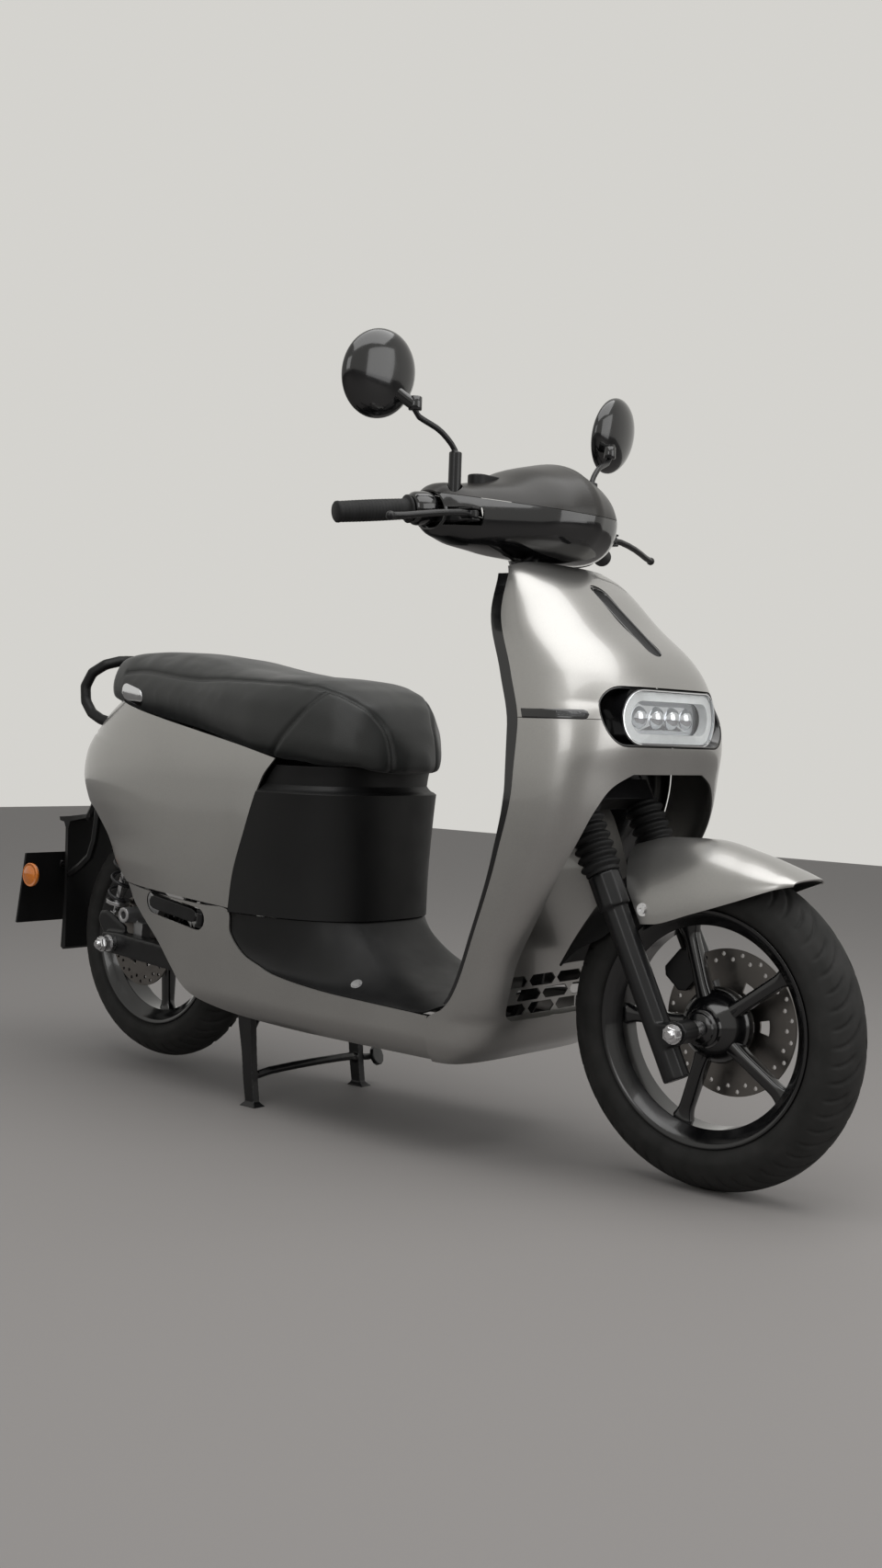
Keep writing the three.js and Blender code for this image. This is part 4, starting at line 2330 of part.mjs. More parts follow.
sides.forEach(([name, side]) => {
  const path = spots(leverShares, side);
  const tip = path[path.length - 1];
  const pivot = at(leverPivot.x, side * leverPivot.y, leverPivot.z);
  const ball = new THREE.SphereGeometry(leverTipRadius, 8, 6);
  ball.translate(tip.x, tip.y, tip.z);
  const blade = joined(
    bentBar(path, leverRadius, 6, 6),
    rod(
      at(pivot.x, pivot.y, pivot.z - leverEyeHalf),
      at(pivot.x, pivot.y, pivot.z + leverEyeHalf),
      leverEyeRadius,
      axleSides,
    ),
    solidOf(ball),
  );
  const bore = rod(
    at(pivot.x, pivot.y, pivot.z - cutOverrun),
    at(pivot.x, pivot.y, pivot.z + cutOverrun),
    boreFor(leverPinRadius, frameSides),
    frameSides,
  );
  add(`brake_lever_${name}`, cut(blade, bore), "blackPaint");
});

// Mirrors
const mirrorBossRadius = 11;
const mirrorFoot = spot([0.36782, 0.92233, 1.34937]);
const mirrorBossTop = 1160;
const mirrorStemRadius = 5.5;
const mirrorStemShares = [
  [0.3678, 0.9223, 1.4557], [0.3663, 0.9369, 1.4759], [0.3556, 1.068, 1.5063],
  [0.3433, 1.2233, 1.5228], [0.3378, 1.2961, 1.5316], [0.3372, 1.3107, 1.5418],
  [0.3372, 1.3107, 1.5544],
];
const mirrorPivot = spot([0.33716, 1.31068, 1.55443]);
const mirrorHubRadius = 11;
const mirrorHubFoot = 1216;
const mirrorHubTop = 1238;
const mirrorMiddle = spot([0.28352, 1.56311, 1.60633]);
const mirrorHalfWidth = 72;
const mirrorHalfHeight = 70;
const mirrorDome = 30;
const mirrorYaw = 8 * degree;
const mirrorLeanAhead = 0.17;
const mirrorLeanOut = 0.2;
const mirrorRingSteps = 16;
const mirrorRingShares = [[-0.14, 0.96], [0, 1], [0.3, 0.96], [0.62, 0.8], [0.86, 0.52], [1, 0.18]];
const mirrorNeckShares = [[0.3372, 1.3107, 1.5519], [0.3142, 1.4369, 1.5823]];

// The three directions of a mirror head, which leans and is turned a little outwards.
function mirrorUp(side) {
  return at(mirrorLeanAhead, side * mirrorLeanOut, 1).normalize();
}

function mirrorOut(side) {
  const out = at(-Math.sin(mirrorYaw), side * Math.cos(mirrorYaw), 0);
  const up = mirrorUp(side);
  return out.addScaledVector(up, -out.dot(up)).normalize();
}

function mirrorAhead(side) {
  return mirrorOut(side).cross(mirrorUp(side)).multiplyScalar(side);
}

sides.forEach(([name, side]) => {
  const foot = at(mirrorFoot.x, side * mirrorFoot.y, mirrorFoot.z + seatGap);
  const top = at(mirrorFoot.x, side * mirrorFoot.y, mirrorBossTop);
  add(
    `mirror_stem_${name}`,
    joined(
      rod(foot, top, mirrorBossRadius, axleSides),
      bentBar(spots(mirrorStemShares, side), mirrorStemRadius, 6, 10),
    ),
    "frameSteel",
  );
  const pivot = (height) => at(mirrorPivot.x, side * mirrorPivot.y, height);
  const rings = mirrorRingShares.map(([ahead, size]) => {
    const ring = [];
    for (let i = 0; i < mirrorRingSteps; i++) {
      const turn = (i / mirrorRingSteps) * 2 * Math.PI;
      ring.push(
        at(mirrorMiddle.x, side * mirrorMiddle.y, mirrorMiddle.z)
          .addScaledVector(mirrorAhead(side), ahead * mirrorDome)
          .addScaledVector(mirrorOut(side), size * mirrorHalfWidth * Math.cos(turn))
          .addScaledVector(mirrorUp(side), size * mirrorHalfHeight * Math.sin(turn)),
      );
    }
    return ring;
  });
  const [neckFrom, neckTo] = spots(mirrorNeckShares, side);
  add(
    `mirror_head_${name}`,
    cut(
      joined(
        lofted(rings),
        rod(pivot(mirrorHubFoot), pivot(mirrorHubTop), mirrorHubRadius, axleSides),
        rod(neckFrom, neckTo, mirrorHubRadius - seatGap, frameSides),
      ),
      rod(
        pivot(mirrorHubFoot - cutOverrun),
        pivot(mirrorPivot.z + runningGap),
        boreFor(mirrorStemRadius, axleSides) + runningGap,
        axleSides,
      ),
    ),
    "blackPaint",
  );
});

// Handlebar cowl: a hollow shell with openings for the stem, the bar ends, the levers and the mirrors
const cowlPlaces = [-1, -0.93, -0.78, -0.52, -0.26, 0, 0.26, 0.52, 0.78, 0.93, 1];
const cowlHalfWidth = 213;
const cowlMiddleShares = [
  [0, 0.4414, 1.3646], [0.3, 0.428, 1.3563], [0.55, 0.396, 1.3443], [0.78, 0.36, 1.3435],
  [0.93, 0.335, 1.3494], [1, 0.319, 1.3494],
];
const cowlLength = 112;
const cowlHeight = 86;
const cowlLengthShares = [[0, 1], [0.3, 0.94], [0.55, 0.79], [0.78, 0.57], [0.93, 0.42], [1, 0.3]];
const cowlHeightShares = [[0, 1], [0.3, 0.889], [0.55, 0.707], [0.78, 0.6], [0.93, 0.52], [1, 0.38]];
const cowlFullness = 2.3;
const cowlLean = 0.25;
const cowlRingSteps = 14;
const cowlEndOverlap = 1.1;
const cowlMiddleX = curveThrough(cowlMiddleShares.map(([place, a]) => [place, a * flankLength]));
const cowlMiddleZ = curveThrough(cowlMiddleShares.map(([place, , b]) => [place, b * flankHeight]));
const cowlLengthAt = scaledCurve(cowlLengthShares, 1, cowlLength);
const cowlHeightAt = scaledCurve(cowlHeightShares, 1, cowlHeight);
const stemOpening = 44;
const stemOpeningTop = 1176;
const mirrorOpening = mirrorBossRadius + 2 * runningGap;

function cowlRing(share, place, inset) {
  const ring = [];
  const reach = Math.abs(share);
  for (let i = 0; i < cowlRingSteps; i++) {
    const turn = (i / cowlRingSteps) * 2 * Math.PI;
    const power = 2 / cowlFullness;
    const a = Math.sign(Math.cos(turn)) * Math.pow(Math.abs(Math.cos(turn)), power);
    const b = Math.sign(Math.sin(turn)) * Math.pow(Math.abs(Math.sin(turn)), power);
    ring.push(
      at(
        cowlMiddleX(reach) + a * (cowlLengthAt(reach) - inset)
          - cowlLean * Math.max(0, b) * cowlHeightAt(reach),
        place * cowlHalfWidth,
        cowlMiddleZ(reach) + b * (cowlHeightAt(reach) - inset),
      ),
    );
  }
  return ring;
}

const cowlOuter = lofted(cowlPlaces.map((share) => cowlRing(share, share, 0)));
const cowlInner = lofted(
  cowlPlaces.map((share) => (
    cowlRing(share, Math.abs(share) === 1 ? share * cowlEndOverlap : share, coverWall)
  )),
);

function cowlOpenings(side) {
  const [low, high] = side > 0 ? [perchInner, perchOuter] : [-perchOuter, -perchInner];
  return [
    block(
      perchRear,
      leverPivot.x + cutOverrun,
      low - 2 * runningGap - smallStep,
      high + 2 * coverWall,
      perchBottom - 2 * coverWall,
      perchTop + coverWall,
    ),
    rod(
      at(mirrorFoot.x, side * mirrorFoot.y, mirrorFoot.z),
      at(mirrorFoot.x, side * mirrorFoot.y, mirrorBossTop),
      mirrorOpening / Math.cos(Math.PI / axleSides),
      axleSides,
    ),
    rod(
      at(buttonRear - cutOverrun, side * buttonY, buttonZ),
      at(buttonRear + buttonLength, side * buttonY, buttonZ),
      2 * buttonRadius,
      frameSides,
    ),
  ];
}

add(
  "handlebar_cowl",
  cut(
    cowlOuter,
    cowlInner,
    ...cowlOpenings(-1),
    ...cowlOpenings(1),
    fromFootToTop(clampFoot - 2 * cutOverrun, stemOpeningTop, stemOpening, 2 * tubeSides),
  ),
  "satinCowl",
);

export default scooter;
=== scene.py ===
# %% [markdown]
# A seated electric scooter, dressed piece by piece
#
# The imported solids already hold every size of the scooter. This lesson gives each of them the surface that the
# real one has, and adds what solids leave out: treads, seams, lenses, screws and hoses. Each step says what the
# piece is, how it could be made, and why one way was chosen.

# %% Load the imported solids
import json
import math

import bmesh
import bpy
import numpy as np
from mathutils import Matrix, Vector
from mathutils.bvhtree import BVHTree


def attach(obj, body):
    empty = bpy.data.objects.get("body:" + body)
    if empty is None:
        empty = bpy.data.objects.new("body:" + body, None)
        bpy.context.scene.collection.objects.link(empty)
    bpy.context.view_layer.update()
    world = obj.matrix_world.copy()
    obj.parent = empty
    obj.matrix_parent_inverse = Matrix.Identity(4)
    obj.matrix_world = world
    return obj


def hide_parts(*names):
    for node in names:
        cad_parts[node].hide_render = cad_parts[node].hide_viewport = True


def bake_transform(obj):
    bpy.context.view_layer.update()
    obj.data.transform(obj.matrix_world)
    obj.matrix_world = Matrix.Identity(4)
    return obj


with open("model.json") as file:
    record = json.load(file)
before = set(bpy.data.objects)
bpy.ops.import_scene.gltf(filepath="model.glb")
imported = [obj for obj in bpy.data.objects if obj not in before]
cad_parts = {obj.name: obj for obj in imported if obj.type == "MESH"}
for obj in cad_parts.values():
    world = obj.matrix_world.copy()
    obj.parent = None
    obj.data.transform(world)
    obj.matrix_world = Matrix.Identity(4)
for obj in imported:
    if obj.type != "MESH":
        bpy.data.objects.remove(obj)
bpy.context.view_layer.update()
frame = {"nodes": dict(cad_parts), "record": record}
solids = frame["nodes"]

# %% [markdown]
# The camera
#
# The photograph was taken from the front right, a little below the seat's height. A camera can be placed by eye, or
# worked out from things of known size. Here it was worked out from the two tyres, so its place and turn are plain
# numbers: where it stands, how far it is turned and tipped, and how long its lens is.

# %% Place the camera
scene = bpy.context.scene
scene.view_settings.view_transform = "Standard"
camera_place = Vector((2.0838, -2.3064, 0.7061))
camera_yaw, camera_tip, camera_roll = 2.279, 0.0313, 0.0352
looking = Vector((
    math.cos(camera_yaw) * math.cos(camera_tip),
    math.sin(camera_yaw) * math.cos(camera_tip),
    -math.sin(camera_tip),
))
level = Vector((math.sin(camera_yaw), -math.cos(camera_yaw), 0))
upright = level.cross(looking)
camera_right = math.cos(camera_roll) * level + math.sin(camera_roll) * upright
camera_up = -math.sin(camera_roll) * level + math.cos(camera_roll) * upright
focal_length, picture_height = 1850, 1706  # both in pixels


def placed(name, data):
    made = bpy.data.objects.new(name, data)
    scene.collection.objects.link(made)
    return made


camera = placed("camera", bpy.data.cameras.new("camera"))
turn = Matrix((camera_right, camera_up, -looking)).transposed().to_4x4()
camera.matrix_world = Matrix.Translation(camera_place) @ turn
camera.data.sensor_width = 36.0
camera.data.lens = camera.data.sensor_width * focal_length / picture_height
camera.data.clip_end = 60
scene.camera = camera
print("lens", round(camera.data.lens, 2), "mm")

# %% [markdown]
# Room and light
#
# A studio lights a dark, glossy object with large soft lamps, because small lamps leave hard spots in the paint.
# Three area lamps and a pale world are enough. The backdrop is a second colour of the world that only the camera,
# reflections and clear plastic see, so that it throws no extra light on the scooter.

# %% Build the room
def stage_material(name, colour):
    made = bpy.data.materials.new(name)
    made.use_nodes = True
    tree = made.node_tree
    tree.nodes["Principled BSDF"].inputs["Base Color"].default_value = (*colour, 1)
    tree.nodes["Principled BSDF"].inputs["Roughness"].default_value = 0.75
    return made


def plane(name, corners, material):
    mesh = bpy.data.meshes.new(name)
    mesh.from_pydata([Vector(c) for c in corners], [], [(0, 1, 2, 3)])
    mesh.materials.append(material)
    placed(name, mesh)


plane("floor", [(-9, -7, 0), (7, -7, 0), (7, 7, 0), (-9, 7, 0)],
      stage_material("floor_grey", (0.26, 0.245, 0.235)))
world = bpy.data.worlds.new("studio")
scene.world = world
world.use_nodes = True
air = world.node_tree.nodes
sky, backdrop = air["Background"], air.new("ShaderNodeBackground")
for light, colour, strength in ((sky, (0.80, 0.82, 0.84, 1), 0.42), (backdrop, (0.66, 0.65, 0.62, 1), 1.0)):
    light.inputs["Color"].default_value, light.inputs["Strength"].default_value = colour, strength
paths, choose = air.new("ShaderNodeLightPath"), air.new("ShaderNodeMixShader")
through, seen = air.new("ShaderNodeMath"), air.new("ShaderNodeMath")
through.use_clamp = seen.use_clamp = True
for source, out, target, into in (
        (paths, "Is Glossy Ray", through, 0), (paths, "Is Transmission Ray", through, 1),
        (paths, "Is Camera Ray", seen, 0), (through, 0, seen, 1), (seen, 0, choose, 0), (sky, 0, choose, 1),
        (backdrop, 0, choose, 2), (choose, 0, air["World Output"], 0)):
    world.node_tree.links.new(source.outputs[out], target.inputs[into])


def lamp(name, place, aim, size, power):
    light = bpy.data.lights.new(name, "AREA")
    light.shape, light.size, light.size_y, light.energy = "RECTANGLE", size[0], size[1], power
    made = placed(name, light)
    made.location = place
    made.rotation_euler = (Vector(aim) - Vector(place)).to_track_quat("-Z", "Y").to_euler()


lamp("ceiling_lamp", (1.0, -0.3, 3.2), (0.3, 0, 0.4), (3.6, 3.0), 78)
lamp("side_lamp", (1.2, -3.6, 1.7), (0, 0, 0.6), (1.6, 1.6), 16)
lamp("front_lamp", (3.6, 0.6, 1.5), (0.3, 0, 0.7), (2.6, 2.4), 34)

# %% [markdown]
# How a finish is written
#
# Every finish starts from the Principled shader. What is the same all over a surface, such as its gloss, is a plain
# value on the shader. What changes over the surface, such as grain, is a small network that reads Object
# coordinates, so it keeps its size in metres on every piece.

# %% Helpers for finishes
def sockets_of(material):
    return material.node_tree.nodes["Principled BSDF"].inputs


def finish(name, colour, roughness, metallic=0.0, coat=0.0, coat_roughness=0.05, specular=0.5, **more):
    made = bpy.data.materials.new(name)
    made.use_nodes = True
    values = {"Base Color": (*colour, 1), "Roughness": roughness, "Metallic": metallic, "Coat Weight": coat,
              "Coat Roughness": coat_roughness, "Specular IOR Level": specular}
    for socket, value in (values | {key.replace("_", " "): value for key, value in more.items()}).items():
        sockets_of(made)[socket].default_value = value
    return made


def node_of(material, kind, **values):
    made = material.node_tree.nodes.new(kind)
    for key, value in values.items():
        if key in made.inputs:
            made.inputs[key].default_value = value
        else:
            setattr(made, key, value)
    return made


def noise_on(material, scale, detail=2.0, stretch=(1, 1, 1)):
    where = node_of(material, "ShaderNodeTexCoord")
    shift = node_of(material, "ShaderNodeMapping")
    shift.inputs["Scale"].default_value = stretch
    noise = node_of(material, "ShaderNodeTexNoise", Scale=scale, Detail=detail)
    material.node_tree.links.new(where.outputs["Object"], shift.inputs["Vector"])
    material.node_tree.links.new(shift.outputs["Vector"], noise.inputs["Vector"])
    return noise.outputs["Fac"]


def bump_on(material, height, strength, distance, after=None):
    bump = node_of(material, "ShaderNodeBump", Strength=strength, Distance=distance)
    material.node_tree.links.new(height, bump.inputs["Height"])
    if after is not None:
        material.node_tree.links.new(after, bump.inputs["Normal"])
    material.node_tree.links.new(bump.outputs["Normal"], sockets_of(material)["Normal"])
    return bump.outputs["Normal"]


def vary(material, socket, scale, low, high, detail=2.0, stops=(0.3, 0.75)):
    ramp = node_of(material, "ShaderNodeValToRGB")
    for element, place, shade in zip(ramp.color_ramp.elements, stops, (low, high)):
        element.position, element.color = place, (*(shade if isinstance(shade, tuple) else (shade,) * 3), 1)
    material.node_tree.links.new(noise_on(material, scale, detail), ramp.inputs["Fac"])
    material.node_tree.links.new(ramp.outputs["Color"], sockets_of(material)[socket])


# %% [markdown]
# Painted covers
#
# The covers are metallic paint under clear coat. The flakes are far smaller than a pixel here, so a fine noise
# varies the colour by a little, and a slow one lets the tone wander as sprayed paint does.

# %% Silver paint
silver = finish("silver_paint", (0.36, 0.352, 0.338), 0.30, metallic=0.88, coat=0.7, coat_roughness=0.06)
vary(silver, "Base Color", 2600, (0.30, 0.294, 0.283), (0.42, 0.411, 0.396), detail=1.0, stops=(0.3, 0.7))
vary(silver, "Roughness", 9, 0.29, 0.37, stops=(0.2, 0.8))
print("finish", silver.name)

# %% [markdown]
# Moulded plastic
#
# Moulded black plastic has a fine grain that was etched into its mould. A noise bump well under a millimetre across
# gives it. Gloss black parts have no grain, only the slight waviness of a moulded face.

# %% Black plastics
satin_black = finish("satin_black_plastic", (0.006, 0.006, 0.0062), 0.42, specular=0.28)
bump_on(satin_black, noise_on(satin_black, 1500, 1.0), 0.18, 0.0004)
vary(satin_black, "Roughness", 14, 0.42, 0.56, stops=(0.3, 0.7))
gloss_black = finish("gloss_black_plastic", (0.005, 0.005, 0.0055), 0.14, coat=0.5, coat_roughness=0.04)
bump_on(gloss_black, noise_on(gloss_black, 22, 1.0), 0.05, 0.002)
vary(gloss_black, "Roughness", 60, 0.11, 0.19)
cowl_dark = finish("cowl_satin_paint", (0.020, 0.019, 0.018), 0.34, metallic=0.2, coat=0.12,
                   coat_roughness=0.25, specular=0.35)
vary(cowl_dark, "Base Color", 2200, (0.016, 0.015, 0.014), (0.028, 0.026, 0.024), detail=1.0, stops=(0.3, 0.7))
grey_plastic = finish("grey_plastic", (0.045, 0.046, 0.046), 0.45)
bump_on(grey_plastic, noise_on(grey_plastic, 1400, 1.0), 0.15, 0.0004)
print("finishes", satin_black.name, gloss_black.name, cowl_dark.name, grey_plastic.name)

# %% [markdown]
# Metal
#
# The frame and the levers are painted steel, the wheels gloss black, the discs ground steel and the drive case cast
# alloy. Cast metal has a sandy skin, ground metal a fine directed grain, so their bumps differ in stretch.

# %% Metals
frame_paint = finish("frame_satin_black", (0.006, 0.006, 0.0065), 0.30, coat=0.15, coat_roughness=0.2, specular=0.3)
bump_on(frame_paint, noise_on(frame_paint, 320), 0.10, 0.0005)
vary(frame_paint, "Roughness", 30, 0.28, 0.42)
wheel_paint = finish("wheel_gloss_black", (0.004, 0.004, 0.0045), 0.15, coat=0.4, coat_roughness=0.06)
bump_on(wheel_paint, noise_on(wheel_paint, 160), 0.06, 0.0006)
vary(wheel_paint, "Roughness", 40, 0.14, 0.24)
ground_steel = finish("ground_steel", (0.52, 0.52, 0.53), 0.28, metallic=1.0)
bump_on(ground_steel, noise_on(ground_steel, 900, 2.0, (1, 0.1, 1)), 0.15, 0.0003)
vary(ground_steel, "Roughness", 70, 0.22, 0.36)
bright_steel = finish("bright_steel", (0.66, 0.66, 0.67), 0.16, metallic=1.0)
vary(bright_steel, "Roughness", 220, 0.12, 0.24)
disc_steel = finish("disc_steel", (0.17, 0.16, 0.15), 0.34, metallic=1.0)
bump_on(disc_steel, noise_on(disc_steel, 300, 2.0), 0.06, 0.0002)
vary(disc_steel, "Roughness", 60, 0.28, 0.42)
cast_alloy = finish("cast_alloy", (0.36, 0.36, 0.365), 0.42, metallic=0.9)
bump_on(cast_alloy, noise_on(cast_alloy, 700, 3.0), 0.30, 0.0006)
vary(cast_alloy, "Roughness", 25, 0.36, 0.52)
spring_paint = finish("spring_paint", (0.03, 0.03, 0.032), 0.30, metallic=0.3)
bump_on(spring_paint, noise_on(spring_paint, 400), 0.08, 0.0004)
vary(spring_paint, "Roughness", 50, 0.26, 0.38)
print("finishes", frame_paint.name, wheel_paint.name, ground_steel.name, cast_alloy.name, spring_paint.name)

# %% [markdown]
# Rubber and leather
#
# Rubber is dull and slightly dusty, so its colour wanders towards grey. The seat cover is artificial leather: small
# domed cells with creases between them, which a Voronoi pattern draws well, on top of a slow sheen change.

# %% Rubber and leather
tyre_rubber = finish("tyre_rubber", (0.018, 0.018, 0.017), 0.70, specular=0.25)
vary(tyre_rubber, "Base Color", 24, (0.013, 0.013, 0.012), (0.027, 0.026, 0.025), detail=4.0)
bump_on(tyre_rubber, noise_on(tyre_rubber, 1100, 2.0), 0.25, 0.0004)
soft_rubber = finish("soft_rubber", (0.010, 0.010, 0.010), 0.58, specular=0.22)
vary(soft_rubber, "Base Color", 30, 0.009, 0.019)
bump_on(soft_rubber, noise_on(soft_rubber, 1300, 1.0), 0.2, 0.0003)


def leather_grain(material, cell, depth):
    where = node_of(material, "ShaderNodeTexCoord")
    cells = node_of(material, "ShaderNodeTexVoronoi", Scale=1 / cell)
    material.node_tree.links.new(where.outputs["Object"], cells.inputs["Vector"])
    fine = bump_on(material, cells.outputs["Distance"], 0.32, depth)
    bump_on(material, noise_on(material, 120, 3.0), 0.10, 0.001, after=fine)


seat_leather = finish("seat_leather", (0.014, 0.015, 0.014), 0.44, specular=0.45, Sheen_Weight=0.12)
leather_grain(seat_leather, 0.0018, 0.0004)
vary(seat_leather, "Roughness", 12, 0.40, 0.54, detail=3.0)
print("finishes", tyre_rubber.name, soft_rubber.name, seat_leather.name)

# %% [markdown]
# Lenses
#
# A lens is clear plastic over something that shows through. Clear plastic is the same shader with its transmission
# turned up, and a tint where the lens is red or amber. The light ring is opal, so it glows a little by itself.

# %% Lens finishes
clear_lens = finish("clear_lens", (0.93, 0.94, 0.95), 0.03, Transmission_Weight=0.96, IOR=1.12)
vary(clear_lens, "Roughness", 90, 0.02, 0.06)
red_lens = finish("red_lens", (0.34, 0.012, 0.012), 0.10, coat=0.6)
vary(red_lens, "Base Color", 200, (0.26, 0.008, 0.008), (0.42, 0.018, 0.016))
amber_lens = finish("amber_lens", (0.80, 0.22, 0.02), 0.12, coat=0.6)
vary(amber_lens, "Base Color", 500, (0.70, 0.17, 0.012), (0.86, 0.27, 0.03))
opal_ring = finish("opal_ring", (0.70, 0.71, 0.70), 0.22, Emission_Color=(0.9, 0.93, 0.95, 1), Emission_Strength=0.06)
vary(opal_ring, "Base Color", 60, (0.66, 0.67, 0.66), (0.74, 0.75, 0.74))
reflector_chrome = finish("reflector_chrome", (0.75, 0.76, 0.78), 0.10, metallic=1.0)
vary(reflector_chrome, "Roughness", 80, 0.06, 0.16)
plate_white = finish("plate_white", (0.62, 0.62, 0.60), 0.40, coat=0.3)
vary(plate_white, "Roughness", 40, 0.36, 0.46)
mirror_glass = finish("mirror_glass", (0.82, 0.84, 0.85), 0.02, metallic=1.0)
vary(mirror_glass, "Roughness", 50, 0.015, 0.045, stops=(0.3, 0.8))
print("finishes", clear_lens.name, red_lens.name, amber_lens.name, opal_ring.name)

# %% [markdown]
# From a solid to a moulded cover
#
# The solids have sharp edges and flat facets. A real moulding has a small round along each edge, and that round
# is what catches the light. The copy of a solid is merged into one skin, its flat faces are joined, and then a
# Bevel rounds every edge that is sharper than a set angle. The rest is shaded smooth.

# %% Refine the solids
def merged_copy(node, flat=0.6):
    shape = bmesh.new()
    shape.from_mesh(solids[node].data)
    bmesh.ops.remove_doubles(shape, verts=shape.verts, dist=0.00002)
    bmesh.ops.dissolve_degenerate(shape, edges=shape.edges, dist=0.00002)
    if flat:
        bmesh.ops.dissolve_limit(shape, angle_limit=math.radians(flat), verts=shape.verts, edges=shape.edges)
    return shape


def as_mesh(shape, name):
    mesh = bpy.data.meshes.new(name)
    shape.to_mesh(mesh)
    shape.free()
    return mesh


def shown(name, shape, material, body, replaced=()):
    mesh = as_mesh(shape, name)
    mesh.materials.append(material)
    made = placed(name, mesh)
    mesh.shade_smooth()
    if body:
        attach(made, body)
    if replaced:
        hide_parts(*replaced)
    return made


def evaluated(piece):
    return bpy.data.meshes.new_from_object(piece.evaluated_get(bpy.context.evaluated_depsgraph_get()))


def baked(piece):
    mesh = evaluated(piece)
    piece.modifiers.clear()
    piece.data = mesh
    return mesh


def sharp(piece, degrees):
    piece.data.set_sharp_from_angle(angle=math.radians(degrees))
    return piece


def rounded(made, width, angle=38, segments=2):
    bevel = made.modifiers.new("edge_round", "BEVEL")
    bevel.width, bevel.segments, bevel.limit_method = width, segments, "ANGLE"
    bevel.angle_limit = math.radians(angle)
    return sharp(made, angle)


body_with = {n: b for b, ns in frame["record"]["behaviour"]["bodies"].items() for n in ns}


def moulded(node, material, width):
    piece = shown(node + "_shape", merged_copy(node), material, body_with[node], (node,))
    return rounded(piece, width)


SIDES = (("right", -1), ("left", 1))


def both_sides(table):
    # A name that ends in an underscore stands for a right and a left piece.
    return {name + end: value for name, value in table.items()
            for end in ([side for side, _ in SIDES] if name.endswith("_") else [""])}


print("helpers for covers are ready")

# %% [markdown]
# Dark covers and fittings
#
# The same treatment serves the hidden covers, the frame, the shafts and the motor. Pieces that get a shape of their
# own later on, such as the tyres, the seat and the springs, are left out here. The two buttons taper towards their
# feet, so that they stay clear of the softened casting round them when they are pressed.

# %% Refine the dark pieces
dark = {
    "storage_bucket": satin_black, "rear_mudguard": satin_black, "seat_base": satin_black,
    "horn_button": grey_plastic, "start_button": grey_plastic, "tail_light": red_lens,
    "battery_pack": grey_plastic, "main_frame": frame_paint, "steering_stem": frame_paint,
    "fork_tube_": ground_steel, "front_axle": ground_steel, "rear_axle": ground_steel,
    "rear_shock_rod_": ground_steel, "drive_motor": cast_alloy,
}
plain = {node: moulded(node, material, 0.0008) for node, material in both_sides(dark).items()}
FOOT_TAPER, FOOT_SHORTER = 0.78, Vector((0.0022, 0, 0))
for name in ("horn_button", "start_button"):
    points = plain[name].data.vertices
    foot = max(point.co.x for point in points)
    ends = [point for point in points if point.co.x > foot - 0.001]
    middle = sum((point.co for point in ends), Vector()) / len(ends)
    for point in ends:
        point.co = middle + (point.co - middle) * FOOT_TAPER - FOOT_SHORTER
print("dark pieces", len(plain))

# %% [markdown]
# Curves that the covers follow
#
# The painted covers were drawn from a few side-view and front-view curves. The same curves are used here, with many
# more steps than the solids have, so that the highlights run smoothly. A monotone curve through the listed pairs
# never overshoots, which keeps flat parts flat.

# %% Curves in millimetres
MOVE = 37.5  # the solids stand this far ahead of the curves' own zero
FLANK_LENGTH, FLANK_HEIGHT = 652.5, 790.0
COVER_WALL = 3.0


def model(x, y, z):
    return Vector(((x + MOVE) / 1000, y / 1000, z / 1000))


def in_mm(place):
    return Vector((place.x * 1000 - MOVE, place.y * 1000, place.z * 1000))


def curve_through(pairs, place_size=1.0, value_size=1.0):
    xs = [a * place_size for a, b in pairs]
    ys = [b * value_size for a, b in pairs]
    if xs[0] > xs[-1]:
        xs, ys = xs[::-1], ys[::-1]
    slope = [(ys[i + 1] - ys[i]) / (xs[i + 1] - xs[i]) for i in range(len(xs) - 1)]
    tangent = [slope[0]]
    for before, after in zip(slope, slope[1:]):
        tangent.append(0.0 if before * after <= 0 else 2 * before * after / (before + after))
    tangent.append(slope[-1])

    def value(place):
        if place <= xs[0]:
            return ys[0]
        if place >= xs[-1]:
            return ys[-1]
        i = int(np.searchsorted(xs, place, side="right")) - 1
        span = xs[i + 1] - xs[i]
        s = (place - xs[i]) / span
        rise = s * s * (3 - 2 * s)
        return (ys[i] * (1 - rise) + ys[i + 1] * rise
                + span * (s * (1 - s) ** 2 * tangent[i] - s * s * (1 - s) * tangent[i + 1]))

    return value


SHIELD_TOP, NOSE_REACH, PANEL_BOTTOM = 997.0, 545.0, 163.0
nose_at = curve_through([
    (0.163, 0.53), (0.194, 0.612), (0.231, 0.646), (0.29, 0.685), (0.337, 0.716), (0.402, 0.79), (0.49, 0.9),
    (0.57, 0.978), (0.651, 1.009), (0.695, 1.026), (0.74, 1.031), (0.772, 1.021), (0.802, 1.002), (0.835, 0.96),
    (0.892, 0.837), (0.957, 0.706), (0.985, 0.622), (1, 0.55)], SHIELD_TOP, NOSE_REACH)
front_half_at = curve_through([
    (0.163, 0.83), (0.175, 0.875), (0.2, 0.915), (0.24, 0.92), (0.38, 0.955), (0.515, 0.985), (0.63, 1),
    (0.72, 0.98), (0.805, 0.905), (0.907, 0.76), (0.962, 0.65), (0.985, 0.56), (1, 0.42)], SHIELD_TOP, 224)
